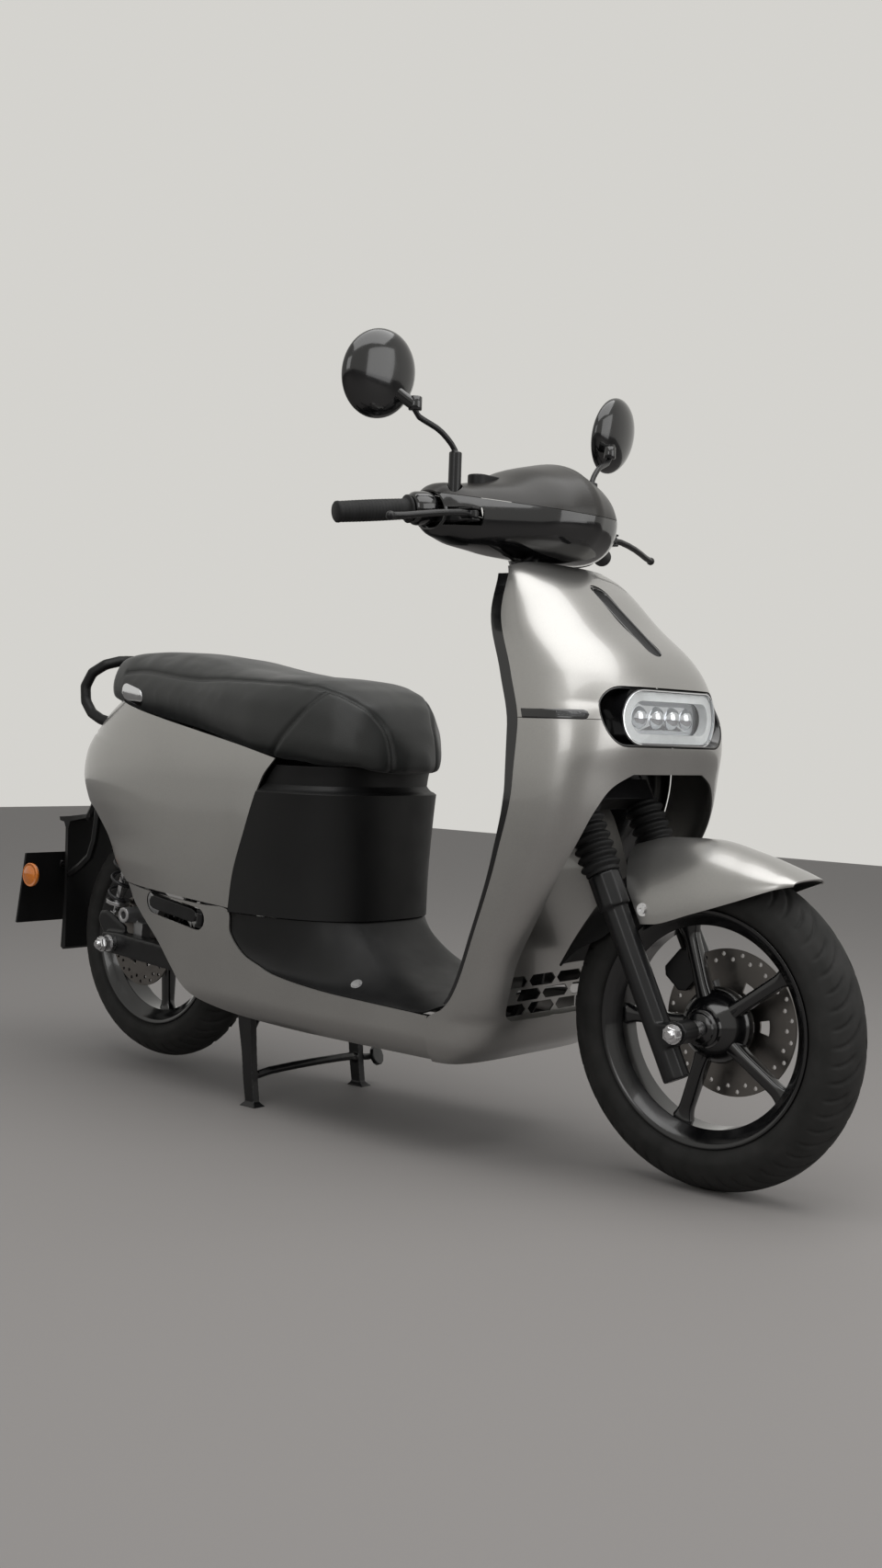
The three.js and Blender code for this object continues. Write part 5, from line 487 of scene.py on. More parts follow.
rider_edge_at = curve_through([
    (0.163, 0.4135), (0.234, 0.4145), (0.241, 0.426), (0.254, 0.473), (0.284, 0.52), (0.38, 0.594), (0.515, 0.679),
    (0.632, 0.721), (0.72, 0.716), (0.805, 0.659), (0.907, 0.569), (0.962, 0.554), (0.985, 0.52), (1, 0.46)],
    SHIELD_TOP, NOSE_REACH)
trim_at = curve_through([(0.163, 0.4), (0.38, 0.42), (0.5, 0.5), (0.64, 0.76), (0.74, 1), (1, 0.95)], SHIELD_TOP, 24)
fullness_at = curve_through([(0.6, 3.9), (0.7, 3.5), (0.76, 2.8)], SHIELD_TOP, 1)


def front_body(across, height):
    turn = across * math.pi / 2
    edge = rider_edge_at(height) + trim_at(height)
    power = 2 / fullness_at(height)
    reach = max(0.0, math.cos(turn)) ** power
    spread = abs(math.sin(turn)) ** power
    x = edge + (nose_at(height) - edge) * reach
    return Vector((x, math.copysign(front_half_at(height) * spread, across), height))


print("nose reaches", round(nose_at(738)), "mm at the headlight")

# %% [markdown]
# One skin, many covers
#
# A moulded cover is a sheet of even thickness. Solidify could thicken a grid, but laying the second face along the
# grid's own normals gives the same sheet and keeps both faces where the solids have them. Holes are then cut with
# exact booleans, because a real moulding has crisp openings.

# %% Sheets, rings and cutters
def grid_faces(rows, columns, offset=0, flip=False):
    faces = []
    for j in range(rows - 1):
        for i in range(columns - 1):
            a = offset + j * columns + i
            quad = (a, a + 1, a + columns + 1, a + columns)
            faces.append(quad[::-1] if flip else quad)
    return faces


def sheet_of(point_at, wall, steps_u, steps_v):
    nudge = 0.0008
    outer, inner = [], []
    for j in range(steps_v + 1):
        for i in range(steps_u + 1):
            u, v = i / steps_u, j / steps_v
            along_u = point_at(min(1, u + nudge), v) - point_at(max(0, u - nudge), v)
            along_v = point_at(u, min(1, v + nudge)) - point_at(u, max(0, v - nudge))
            here = point_at(u, v)
            outer.append(here)
            inner.append(here + along_u.cross(along_v).normalized() * wall)
    columns, rows = steps_u + 1, steps_v + 1
    total = columns * rows
    faces = grid_faces(rows, columns) + grid_faces(rows, columns, total, True)
    rim = [j * columns for j in range(rows)] + [(rows - 1) * columns + i for i in range(1, columns)]
    rim += [j * columns + columns - 1 for j in range(rows - 2, -1, -1)] + [i for i in range(columns - 2, 0, -1)]
    for a, b in zip(rim, rim[1:] + rim[:1]):
        faces.append((a, b, b + total, a + total))
    return closed(outer + inner, faces)


def closed(points, faces):
    shape = bmesh.new()
    corners = [shape.verts.new(model(*p)) for p in points]
    for face in faces:
        ring = [corners[k] for k in face]
        if len(set(ring)) > 2:
            shape.faces.new(ring)
    bmesh.ops.remove_doubles(shape, verts=shape.verts, dist=0.00001)
    bmesh.ops.recalc_face_normals(shape, faces=shape.faces)
    return shape


def loft(rings, capped=True, round_about=True):
    count = len(rings[0])
    points = [p for ring in rings for p in ring]
    faces = []
    for j in range(len(rings) - 1):
        for i in range(count if round_about else count - 1):
            a, b = j * count + i, j * count + (i + 1) % count
            faces.append((a, b, b + count, a + count))
    if capped:
        faces += [tuple(range(count))[::-1], tuple(len(points) - count + i for i in range(count))]
    return closed(points, faces)


def lathe(profile, start, way, sides):
    way = Vector(way).normalized()
    side = way.orthogonal().normalized()
    other = way.cross(side)
    rings = []
    for k in range(sides):
        turn = 2 * math.pi * k / sides
        out = math.cos(turn) * side + math.sin(turn) * other
        rings.append([Vector(start) + out * r + way * s for r, s in profile])
    count = len(profile)
    faces = []
    for k in range(sides):
        for i in range(count - 1):
            a, b = k * count + i, ((k + 1) % sides) * count + i
            faces.append((a, b, b + 1, a + 1))
    return closed([p for ring in rings for p in ring], faces)


def merged(shapes):
    total = bmesh.new()
    for part in shapes:
        total.from_mesh(as_mesh(part, "part"))
    return total


def plug(radius, low, high, start, way, sides):
    return lathe([(0, low), (radius, low), (radius, high), (0, high)], start, way, sides)


def prism(outline, place, low, high):
    rings = [[Vector(place(a, b, depth)) for a, b in outline] for depth in (low, high)]
    return loft(rings)


def pill(middle_a, middle_b, half_length, half_height, steps=14):
    outline = []
    for sign in (1, -1):
        for i in range(steps + 1):
            turn = -math.pi / 2 + math.pi * i / steps
            outline.append((middle_a + sign * (half_length - half_height + half_height * math.cos(turn)),
                            middle_b + sign * half_height * math.sin(turn)))
    return outline


def cut_out(shape, *cutters):
    work, *tools = [placed("work", as_mesh(part, "work")) for part in (shape, *cutters)]
    for tool in tools:
        hole = work.modifiers.new("hole", "BOOLEAN")
        hole.operation, hole.solver, hole.object = "DIFFERENCE", "EXACT", tool
    left = bmesh.new()
    left.from_mesh(evaluated(work))
    for used in tools + [work]:
        bpy.data.objects.remove(used)
    bmesh.ops.remove_doubles(left, verts=left.verts, dist=0.00002)
    bmesh.ops.dissolve_degenerate(left, edges=left.edges, dist=0.00002)
    return left


def along_nose(a, b, depth):
    return depth, a, b


def across_side(a, b, depth):
    return a, depth, b


def from_above(a, b, depth):
    return a, b, depth


print("helpers for sheets, lofts, lathes and holes are ready")

# %% [markdown]
# Front shield and lower panel
#
# Both are one surface, parted by a seam at the height of the headlight. The pill-shaped recess of the headlight
# crosses that seam, so the same cutter goes through both. Below it the wheel arch is cut out of the lower panel.

# %% Make the front covers
def painted(name, shape, node, width, segments=3, body="chassis"):
    return rounded(shown(name, shape, silver, body, (node,)), width, segments=segments)


def front_sheet(low, high_at, steps_u, steps_v):
    def point_at(u, v):
        across = 2 * u - 1
        return front_body(across, low + v * (high_at(across) - low))

    return sheet_of(point_at, COVER_WALL, steps_u, steps_v)


LAMP_HEIGHT, LAMP_HALF_WIDTH, LAMP_HALF_HEIGHT = 738, 173, 47.5


def headlight_cutter():
    return prism(pill(0, LAMP_HEIGHT, LAMP_HALF_WIDTH, LAMP_HALF_HEIGHT, 20), along_nose, 405, 615)


slot_run = nose_at(848) - nose_at(938)
slot_lean = math.atan2(slot_run, 90)
slot_middle = Vector((nose_at(893), 0, 893))
slot_up = Vector((-math.sin(slot_lean), 0, math.cos(slot_lean)))
slot_out = Vector((math.cos(slot_lean), 0, math.sin(slot_lean)))


def in_slot(a, b, depth):
    return slot_middle + slot_up * a + Vector((0, -b, 0)) + slot_out * depth


shield = front_sheet(731.5, lambda across: 988 - 12 * across ** 2, 96, 64)
shield = cut_out(shield, headlight_cutter(), prism(pill(0, 0, 90, 20), in_slot, -36, 36))
front_shield = painted("front_shield_cover", shield, "front_shield", 0.0014)
arch = [(0.76, 0), (0.86, 0.03), (0.91, 0.124), (0.943, 0.239), (0.99, 0.398), (1.045, 0.612), (1.02, 0.788),
        (0.93, 0.89), (0.8, 0.955), (0.57, 1)]
arch_left = [(a * 175, 238 + b * 410) for a, b in arch]


def smooth_outline(points, steps=6):
    made = []
    for i in range(len(points) - 1):
        p0, p1 = points[max(0, i - 1)], points[i]
        p2, p3 = points[i + 1], points[min(len(points) - 1, i + 2)]
        for k in range(steps):
            t = k / steps
            made.append(tuple(0.5 * (2 * b + (c - a) * t + (2 * a - 5 * b + 4 * c - d) * t * t
                                     + (3 * b - a - 3 * c + d) * t ** 3) for a, b, c, d in zip(p0, p1, p2, p3)))
    return made + [points[-1]]


arch_left = smooth_outline(arch_left)
arch_cutter = prism(arch_left + [(-a, b) for a, b in arch_left[::-1]], along_nose, 280, 585)
lower = front_sheet(PANEL_BOTTOM, lambda across: 730.5, 96, 96)
lower = cut_out(lower, arch_cutter, headlight_cutter())
lower_panel = painted("lower_panel_cover", lower, "lower_front_panel", 0.0014)
print("front covers", len(front_shield.data.polygons), len(lower_panel.data.polygons), "faces")

# %% [markdown]
# Inner leg shield and splash panel
#
# Behind the painted edge runs a gloss black band, which is the flange of the inner leg shield. The splash panel
# closes the arch behind the wheel and carries a honeycomb of long hexagons at its foot.

# %% Make the shield's rear covers
bulge_at = curve_through([(0.26, 0.14), (0.34, 0.33), (0.49, 0.62), (0.61, 1), (0.65, 0.95), (0.71, 0.76),
                          (0.81, 0.62), (1, 0.62)], 973, 138)


def inner_shield(u, v):
    height = 264 + v * 702
    half, edge = front_half_at(height), rider_edge_at(height)
    if u <= 0.1 or u >= 0.9:
        run = u / 0.1 if u < 0.5 else (1 - u) / 0.1
        return Vector((edge + (trim_at(height) - 1.5) * (1 - run), -half if u < 0.5 else half, height))
    across = 2 * (u - 0.1) / 0.8 - 1
    return Vector((edge - bulge_at(height) * (1 - across * across) ** 1.5, across * half, height))


inner = shown("inner_shield_cover", sheet_of(inner_shield, COVER_WALL, 80, 60), gloss_black, "chassis",
              ("inner_leg_shield",))
rounded(inner, 0.0012, segments=3)
splash_x = curve_through([(0.373, 0.947), (0.5, 0.955), (0.643, 0.986), (0.772, 1), (0.9, 0.966), (1, 0.893)],
                         622, 356)


def splash_half(height):
    edge = rider_edge_at(height) + trim_at(height)
    run = min(1, max(0, (splash_x(height) - edge) / (nose_at(height) - edge)))
    full = fullness_at(height)
    outer = front_half_at(height) * (1 - run ** full) ** (1 / full) - 9
    behind = rider_edge_at(height) + 15 - splash_x(height)
    room = max(0, behind / bulge_at(height)) ** (2 / 3)
    return min(outer, front_half_at(height) * math.sqrt(max(0, 1 - room)))


def splash(u, v):
    height = 232 + v * 390
    return Vector((splash_x(height), (2 * u - 1) * splash_half(height), height))


vents = []
long_hexagon = [(-36, 0), (-26.5, -9.5), (26.5, -9.5), (36, 0), (26.5, 9.5), (-26.5, 9.5)]
for row in range(3):
    middle_z = 251.5 + row * 23
    count = 4 - row % 2
    for column in range(count):
        middle_y = (column - (count - 1) / 2) * 76
        outline = [(middle_y + across, middle_z + up) for across, up in long_hexagon]
        vents.append(prism(outline, along_nose, 276, 396))
painted("splash_cover", cut_out(sheet_of(splash, COVER_WALL, 40, 48), *vents), "splash_panel", 0.001, 2)
print("vent cells", len(vents))

# %% [markdown]
# Sills and side panels
#
# The flank is one surface from the floor to the seat. It is widest at the feet, tucks in under the floor and draws
# round the tail. The sill and the side panel are two strips of it, bounded by curves seen from the side.

# %% Make the flanks
flank_at = curve_through([(-1, 0.835), (-0.69, 0.845), (-0.47, 0.89), (-0.12, 0.961), (0.24, 0.985), (0.56, 1)],
                         420, 206)
tail_reach_at = curve_through([
    (0.19, 0.663), (0.375, 0.817), (0.522, 0.905), (0.583, 0.927), (0.631, 0.969), (0.679, 1.006), (0.7425, 1.028),
    (0.7975, 1.018), (0.846, 0.987), (0.8875, 0.949), (0.929, 0.896), (1, 0.79)], 800, 845)
tail_full_at = curve_through([(0.42, 2.1), (0.53, 2.6)], 800, 1)


def flank_half(x, height):
    half = flank_at(x)
    if x < -420:
        run = (-420 - x) / (tail_reach_at(height) - 420)
        full = tail_full_at(height)
        half = 172 * max(0, 1 - min(1, run) ** full) ** (1 / full)
    if height > 600:
        half -= 14 * ((height - 600) / 140) ** 2
    if height < 205:
        half -= 22 * ((205 - height) / 42) ** 2
    return half


def spline_at(points, t):
    place = (len(points) - 1) * min(1, max(0, t))
    i = int(place)
    t = place - i
    last = len(points) - 1
    p0, p1 = points[max(0, i - 1)], points[i]
    p2, p3 = points[min(last, i + 1)], points[min(last, i + 2)]
    return [(2 * b - 2 * c + (c - a) / 2 + (d - b) / 2) * t ** 3 + (-3 * b + 3 * c - (c - a) - (d - b) / 2) * t * t
            + (c - a) / 2 * t + b for a, b, c, d in zip(p0, p1, p2, p3)]


def side_places(shares):
    return [(a * FLANK_LENGTH, b * FLANK_HEIGHT) for a, b in shares]


sill_top = side_places([
    (-0.929, 0.486), (-0.845, 0.4785), (-0.677, 0.467), (-0.555, 0.461), (-0.446, 0.457), (-0.431, 0.404),
    (-0.377, 0.3633), (-0.299, 0.3418), (-0.2145, 0.3253), (-0.0215, 0.3114), (0.15, 0.3063), (0.3586, 0.3013)])
sill_bottom = side_places([
    (-0.9165, 0.4658), (-0.89, 0.4304), (-0.768, 0.362), (-0.69, 0.3025), (-0.645, 0.267), (-0.5824, 0.238),
    (-0.48, 0.2177), (-0.3755, 0.2089), (-0.207, 0.2063), (-0.0153, 0.2063), (0.1563, 0.2063), (0.3586, 0.2063)])
panel_front_at = curve_through([
    (0.4608, 0.4414), (0.533, 0.4291), (0.643, 0.3816), (0.7747, 0.305), (0.8177, 0.2529)],
    FLANK_HEIGHT, -FLANK_LENGTH)
panel_rear_at = curve_through([
    (0.4873, 0.938), (0.519, 0.985), (0.5899, 1.055), (0.6582, 1.15), (0.7089, 1.2935), (0.7519, 1.3118),
    (0.8076, 1.298), (0.857, 1.2598), (0.8658, 1.172), (0.8924, 1.145), (0.947, 1.0805)], FLANK_HEIGHT, -FLANK_LENGTH)


def sill_surface(side, u, v):
    low, high = spline_at(sill_bottom, u), spline_at(sill_top, u)
    x, z = low[0] + (high[0] - low[0]) * v, low[1] + (high[1] - low[1]) * v
    return Vector((x, side * flank_half(x, z), z))


def panel_surface(side, u, v):
    front_z, rear_z = 364.5 + v * 282, 385.5 + v * 363
    run = 1 - (1 - u) ** 1.7
    x = panel_front_at(front_z) * (1 - run) + panel_rear_at(rear_z) * run
    z = front_z * (1 - run) + rear_z * run
    return Vector((x, side * flank_half(x, z), z))


peg_slope = math.radians(-8)


def in_pocket(a, b, depth):
    return (-444 + a * math.cos(peg_slope) - b * math.sin(peg_slope), depth,
            345 + a * math.sin(peg_slope) + b * math.cos(peg_slope))


for name, side in SIDES:
    sill = sheet_of(lambda u, v: sill_surface(side, u, v), side * COVER_WALL, 120, 14)
    sill = cut_out(sill, prism(pill(0, 0, 90, 21), in_pocket, side * 172 - 40, side * 172 + 40))
    sill_cover = painted(f"sill_{name}_cover", sill, f"side_sill_{name}", 0.0013)
    panel = sheet_of(lambda u, v: panel_surface(side, 1 - u, v), side * COVER_WALL, 90, 60)
    panel_cover = painted(f"panel_{name}_cover", panel, f"side_panel_{name}", 0.0013)
    print(name, "flank", len(sill_cover.data.polygons) + len(panel_cover.data.polygons), "faces")

# %% [markdown]
# Under-seat cover and floorboard
#
# The dark cover wraps round the storage space like a column with a rounded front, and steps in under the seat. The
# floorboard starts from its foot and runs out to the sills and forward to the leg shield.

# %% Make the middle covers
def cover_plan(around, height):
    turn = around * math.pi / 2
    edge = panel_front_at(height) + 1.5
    inset = 18 * min(1, max(0, (height - 585) / 14)) ** 0.5
    half = flank_half(edge, height) - inset
    reach = max(0, math.cos(turn)) ** (2 / 2.9)
    spread = abs(math.sin(turn)) ** (2 / 2.9)
    return Vector((edge + (-27 - inset - edge) * reach, math.copysign(half * spread, around), height))


cover_heights = [0, 0.08, 0.16, 0.24, 0.33, 0.42, 0.5, 0.58, 0.66, 0.73, 0.78, 0.81, 0.818, 0.823, 0.828, 0.836,
                 0.845, 0.854, 0.863, 0.88, 0.9, 0.95, 1]


def cover_surface(u, v):
    place = min(len(cover_heights) - 1.0001, v * (len(cover_heights) - 1))
    i = int(place)
    share = cover_heights[i] + (cover_heights[i + 1] - cover_heights[i]) * (place - i)
    return cover_plan(2 * u - 1, 358.5 + share * 275.5)


under_seat = shown("under_seat_column", sheet_of(cover_surface, COVER_WALL, 96, 66), satin_black, "chassis",
                   ("under_seat_cover",))
rounded(under_seat, 0.0012, 50, segments=3)


def floor_rim(u):
    mirror, way = (1, 1 - u) if u > 0.5 else (-1, u)
    along = min(1, way / 0.38)
    x, z = spline_at(sill_top, 0.37 + along * 0.6)
    half = flank_half(x, z) - 4.5
    if way <= 0.38:
        return Vector((x, mirror * half, z + 1))
    turn = (way - 0.38) / 0.12 * math.pi / 2
    return Vector((x + (246 - x) * math.sin(turn) ** 0.4, mirror * half * max(0, math.cos(turn)) ** 0.4,
                   z + 1 + (257 - z - 1) * math.sin(turn)))


def floor_surface(u, v):
    start, outer = cover_plan(2 * u - 1, 356.5), floor_rim(u)
    drop = 1 - (1 - v) ** 3.2
    return Vector((start.x + (outer.x - start.x) * v, start.y + (outer.y - start.y) * v,
                   start.z + (outer.z - start.z) * drop))


floor_cover = shown("floorboard_cover", sheet_of(floor_surface, COVER_WALL, 100, 32), satin_black, "chassis",
                    ("floorboard",))
rounded(floor_cover, 0.001, 50)
print("middle covers", len(under_seat.data.polygons), len(floor_cover.data.polygons), "faces")

# %% [markdown]
# Front fender
#
# The fender is a painted shell over the wheel with a black extension behind it. The shell is lofted between two
# curves, one along its crown and one along its lower edge, with a superellipse in between. The extension follows
# the tyre at an even distance. Both leave room for the fork legs.

# %% Make the fender
stations = [0, 0.2, 0.45, 0.7, 0.9, 1]
crown = side_places([(0.777, 0.6759), (0.8613, 0.6924), (0.9808, 0.6949), (1.1034, 0.6747), (1.2015, 0.6481),
                     (1.2475, 0.6329)])
hem = side_places([(0.8352, 0.5228), (0.892, 0.5266), (0.9962, 0.5544), (1.1065, 0.5861), (1.1985, 0.6152),
                   (1.2352, 0.6253)])
crown_x, crown_z = (curve_through([(s, p[k]) for s, p in zip(stations, crown)]) for k in (0, 1))
hem_x, hem_z = (curve_through([(s, p[k]) for s, p in zip(stations, hem)]) for k in (0, 1))
fender_half = curve_through(list(zip(stations, (1, 1.01, 1.01, 0.96, 0.8, 0.6))), 1, 75)
hugger_edge = curve_through([(0, 0.8), (0.35, 0.75), (0.6, 0.78), (0.85, 0.9), (1, 0.965)], 1, 275)
STEER_FOOT, CASTER, LEG_SPREAD = 737.5, math.radians(26.5), 90


def on_fork(ahead, left, up):
    return Vector((STEER_FOOT + ahead * math.cos(CASTER) - up * math.sin(CASTER), left,
                   ahead * math.sin(CASTER) + up * math.cos(CASTER)))


def up_fork(height):
    return height / math.cos(CASTER)


def fork_way():
    return on_fork(0, 0, 1) - on_fork(0, 0, 0)


def arched(u):
    turn = (2 * u - 1) * math.pi / 2
    return max(0, math.cos(turn)) ** (2 / 2.3), math.copysign(abs(math.sin(turn)) ** (2 / 2.3), turn)


def fender_surface(u, v):
    rise, spread = arched(u)
    return Vector((hem_x(v) + (crown_x(v) - hem_x(v)) * rise, fender_half(v) * spread,
                   hem_z(v) + (crown_z(v) - hem_z(v)) * rise))


def hugger_surface(u, v):
    rise, spread = arched(u)
    angle = math.radians(112 + 53 * v)
    radius = hugger_edge(v) + (275 - hugger_edge(v)) * rise
    return Vector((FLANK_LENGTH + radius * math.cos(angle), 60 * spread, 258 + radius * math.sin(angle)))


def leg_rooms():
    foot = on_fork(0, 0, up_fork(205))
    return [plug(27.6, 0, 515, foot + Vector((0, side * LEG_SPREAD, 0)), fork_way(), 40) for _, side in SIDES]


shell = cut_out(sheet_of(fender_surface, -2.5, 56, 64), *leg_rooms())
fender = painted("fender_shell", shell, "front_fender", 0.001, body="fork_lowers")
hugger = shown("fender_rear", sheet_of(hugger_surface, 2.5, 40, 40), satin_black, "fork_lowers", ())
rounded(hugger, 0.0008)
print("fender", len(fender.data.polygons), "faces")

# %% [markdown]
# Tyres
#
# A tyre is a profile turned about its axle. The tread is pressed into that surface: each vertex asks how far it is
# from the nearest groove and sinks if it is close. The grooves are sickles that start at the shoulder and bend
# along the crown, a long and a short one in turn, and mirrored from side to side.

# %% Make the tyres
tyre_profile = [(0, -0.735), (0.06, -0.735), (0.11, -0.76), (0.17, -0.9), (0.27, -0.975), (0.38, -1), (0.5, -0.96),
                (0.6, -0.9), (0.7, -0.8), (0.79, -0.69), (0.87, -0.54), (0.94, -0.36), (0.985, -0.18), (1, 0)]
tyre_profile += [(a, -b) for a, b in tyre_profile[-2::-1]]


def groove_depth(angle, lateral, outer, pitches):
    side = 0.5 if lateral > 0 else 0.0
    a = abs(lateral)
    pitch = 2 * math.pi * outer / pitches
    along = (angle / (2 * math.pi) * pitches + side) % 1.0
    depth = 0.0
    for start, low, high, reach, width in ((0.05, 0.07, 0.93, 46, 5.6), (0.55, 0.34, 0.9, 24, 4.4)):
        if not low <= a <= high:
            continue
        t = (a - low) / (high - low)
        line = start * pitch + reach * (1 - t) ** 2
        slope = 2 * reach * (1 - t) / ((high - low) * 50)
        taper = min(1, 5 * t, 4 * (1 - t))
        for turn in (-1, 0, 1):
            away = abs(along * pitch - line + turn * pitch) / math.sqrt(1 + slope * slope)
            depth = max(depth, min(1, max(0, 1.35 - away / (width / 2))) * taper)
    return depth


TYRE_STEPS, TREAD_DEPTH = 540, 4.6


def tyre_shape(centre, outer, bead, half, pitches):
    outline = smooth_outline(tyre_profile, 4)
    points, faces = [], []
    for k in range(TYRE_STEPS):
        angle = 2 * math.pi * k / TYRE_STEPS
        for radial, lateral in outline:
            depth = TREAD_DEPTH * groove_depth(angle, lateral, outer, pitches) if radial > 0.5 else 0.0
            radius = bead + radial * (outer - bead) - depth
            points.append((centre[0] + radius * math.cos(angle), centre[1] + lateral * half,
                           centre[2] + radius * math.sin(angle)))
    count = len(outline)
    for k in range(TYRE_STEPS):
        behind, ahead = k * count, (k + 1) % TYRE_STEPS * count
        for i in range(count):
            a, b, c, d = behind + i, ahead + i, behind + (i + 1) % count, ahead + (i + 1) % count
            faces.append((a, b, d, c))
    shape = bmesh.new()
    corners = [shape.verts.new(model(*p)) for p in points]
    for face in faces:
        shape.faces.new([corners[q] for q in face])
    bmesh.ops.recalc_face_normals(shape, faces=shape.faces)
    return shape


FRONT_AXLE, REAR_AXLE = (652.5, 0, 258), (-652.5, 0, 259)
wheel_sizes = {"front": (FRONT_AXLE, 258, 178, 49), "rear": (REAR_AXLE, 242, 165, 56)}
pitches = {"front": 27, "rear": 25}
for end, size in wheel_sizes.items():
    tyre = shown(f"{end}_tyre_tread", tyre_shape(*size, pitches[end]), tyre_rubber, f"{end}_wheel",
                 (f"{end}_tyre",))
    print(end, "tyre", len(tyre.data.polygons), "faces")

# %% [markdown]
# Wheels
#
# The cast wheel is a turned rim, a hub and five spokes that flare into both. Casting leaves no sharp inner corner,
# so each spoke is a loft of rounded sections that widen towards the hub and towards the rim.

# %% Make the rims
SPOKES, SPOKE_RINGS, SPOKE_SIDES = 5, 24, 24


def rim_shape(centre, outer, bead, half, hub, first_angle):
    seat, side = bead - 0.5, 0.735 * half + 0.5
    lip, well = bead + 0.1 * (outer - bead), 0.4 * half
    upper = [(lip, side + 4.5), (lip, side), (seat, side), (seat, well + 11), (seat - 4, well + 2), (seat - 11, well)]
    under = [(seat - 18, well), (seat - 14, well + 4), (seat - 7, well + 11), (lip - 8, side + 2),
             (lip - 4.5, side + 4.5)]
    profile = upper + [(r, -s) for r, s in upper[::-1]] + [(r, -s) for r, s in under[::-1]] + under + [upper[0]]
    parts = [lathe(profile, centre, (0, 1, 0), 144)]
    hub_profile = [(0, hub["right"] - 4), (hub["spigot"] * 0.75, hub["right"] - 3), (hub["spigot"], hub["right"]),
                   (hub["spigot"] + 1, hub["right"] + 4), (hub["radius"] * 0.92, hub["right"] + 6),
                   (hub["radius"], hub["right"] + 12), (hub["radius"] + 3, 0), (hub["radius"], hub["left"] - 8),
                   (hub["radius"] * 0.9, hub["left"]), (0, hub["left"])]
    parts.append(lathe(hub_profile, centre, (0, 1, 0), 72))
    parts.append(lathe(hub["dome"], centre, (0, 1, 0), 96))
    inner, outer_end = hub["radius"] * 0.5, seat - 14
    for k in range(SPOKES):
        angle = first_angle + 2 * math.pi * k / SPOKES
        out = Vector((math.cos(angle), 0, math.sin(angle)))
        around = Vector((-math.sin(angle), 0, math.cos(angle)))
        rings = []
        for i in range(SPOKE_RINGS + 1):
            t = i / SPOKE_RINGS
            radius = inner + t * (outer_end - inner)
            width = 11.5 + 10 * max(0, 1 - t / 0.42) ** 2 + 9 * max(0, (t - 0.82) / 0.18) ** 2
            depth = 17 - 7 * t + 3 * max(0, (t - 0.85) / 0.15) ** 2
            ring = []
            for q in range(SPOKE_SIDES):
                turn = 2 * math.pi * q / SPOKE_SIDES
                c, s = math.cos(turn), math.sin(turn)
                a = math.copysign(abs(c) ** 0.55, c) * width
                b = math.copysign(abs(s) ** 0.7, s) * depth
                ring.append(Vector(centre) + out * radius + around * a + Vector((0, b, 0)))
            rings.append(ring)
        parts.append(loft(rings))
    return merged(parts)


front_dome = [(0, -36), (22, -36), (26, -34), (36, -27), (48, -15), (57, 0), (61, 13), (59, 24), (50, 29), (0, 30)]
rear_dome = [(0, -44), (30, -44), (36, -40), (46, -28), (54, -12), (57, 6), (53, 22), (42, 32), (0, 34)]
hubs = {"front": {"right": -45, "left": 49.7, "radius": 32, "spigot": 24, "dome": front_dome},
        "rear": {"right": -74, "left": 70, "radius": 36, "spigot": 26, "dome": rear_dome}}
first_spoke = {"front": 108.5, "rear": 54}
for end, size in wheel_sizes.items():
    wheel = shown(f"{end}_wheel_casting", rim_shape(*size, hubs[end], math.radians(first_spoke[end])), wheel_paint,
                  f"{end}_wheel", (f"{end}_rim",))
    rounded(wheel, 0.0006, 40)
    print(end, "wheel", len(wheel.data.polygons), "faces")

# %% [markdown]
# Brake discs
#
# A disc is a flat ring of ground steel with two rows of small holes and six windows. Boolean cuts make exact
# edges, so one cutter holds all the holes, another all the windows, and the ring is cut once by each.

# %% Make the discs
def disc_shape(centre, right, outer, inner, count, window_low, window_high, window_spread):
    thick, windows_round = 4, 6
    ring = lathe([(inner, right), (outer - 0.6, right), (outer, right + 0.6), (outer, right + thick - 0.6),
                  (outer - 0.6, right + thick), (inner, right + thick), (inner, right)], centre, (0, 1, 0), 144)
    holes = []
    for k in range(count):
        angle = 2 * math.pi * k / count
        radius = outer - (8 if k % 2 else 17)
        spot = Vector((centre[0] + radius * math.cos(angle), right - 5, centre[2] + radius * math.sin(angle)))
        holes.append(plug(3.5, 0, thick + 10, spot, (0, 1, 0), 16))
    windows = []
    for k in range(windows_round):
        outline = []
        for radius, sign, widen in ((window_low, 1, 0.9), (window_high, -1, 1)):
            for share in (-1, -0.5, 0, 0.5, 1):
                turn = 2 * math.pi * k / windows_round + sign * share * math.radians(window_spread) * widen
                outline.append((centre[0] + radius * math.cos(turn), centre[2] + radius * math.sin(turn)))
        windows.append(prism(outline, across_side, right - 30, right + thick + 30))
    return cut_out(ring, merged(windows), merged(holes))


for end, size in (("front", (FRONT_AXLE, 50.2, 118, 24, 40, 54, 71, 10)),
                  ("rear", (REAR_AXLE, -74.2, 92, 26.5, 36, 42, 55, 11))):
    disc = shown(f"{end}_disc_ring", disc_shape(*size), disc_steel, f"{end}_wheel", (f"{end}_disc",))
    print(end, "disc", len(sharp(disc, 30).data.polygons), "faces")

# %% [markdown]
# Castings and bars
#
# Forks, swingarm, stand, levers and calipers are cast, forged or bent, so all their corners are soft. A voxel
# remesh of the solid followed by smoothing gives exactly that. It would be wrong for thin covers, which it would
# fill or tear, and right for these thick pieces.

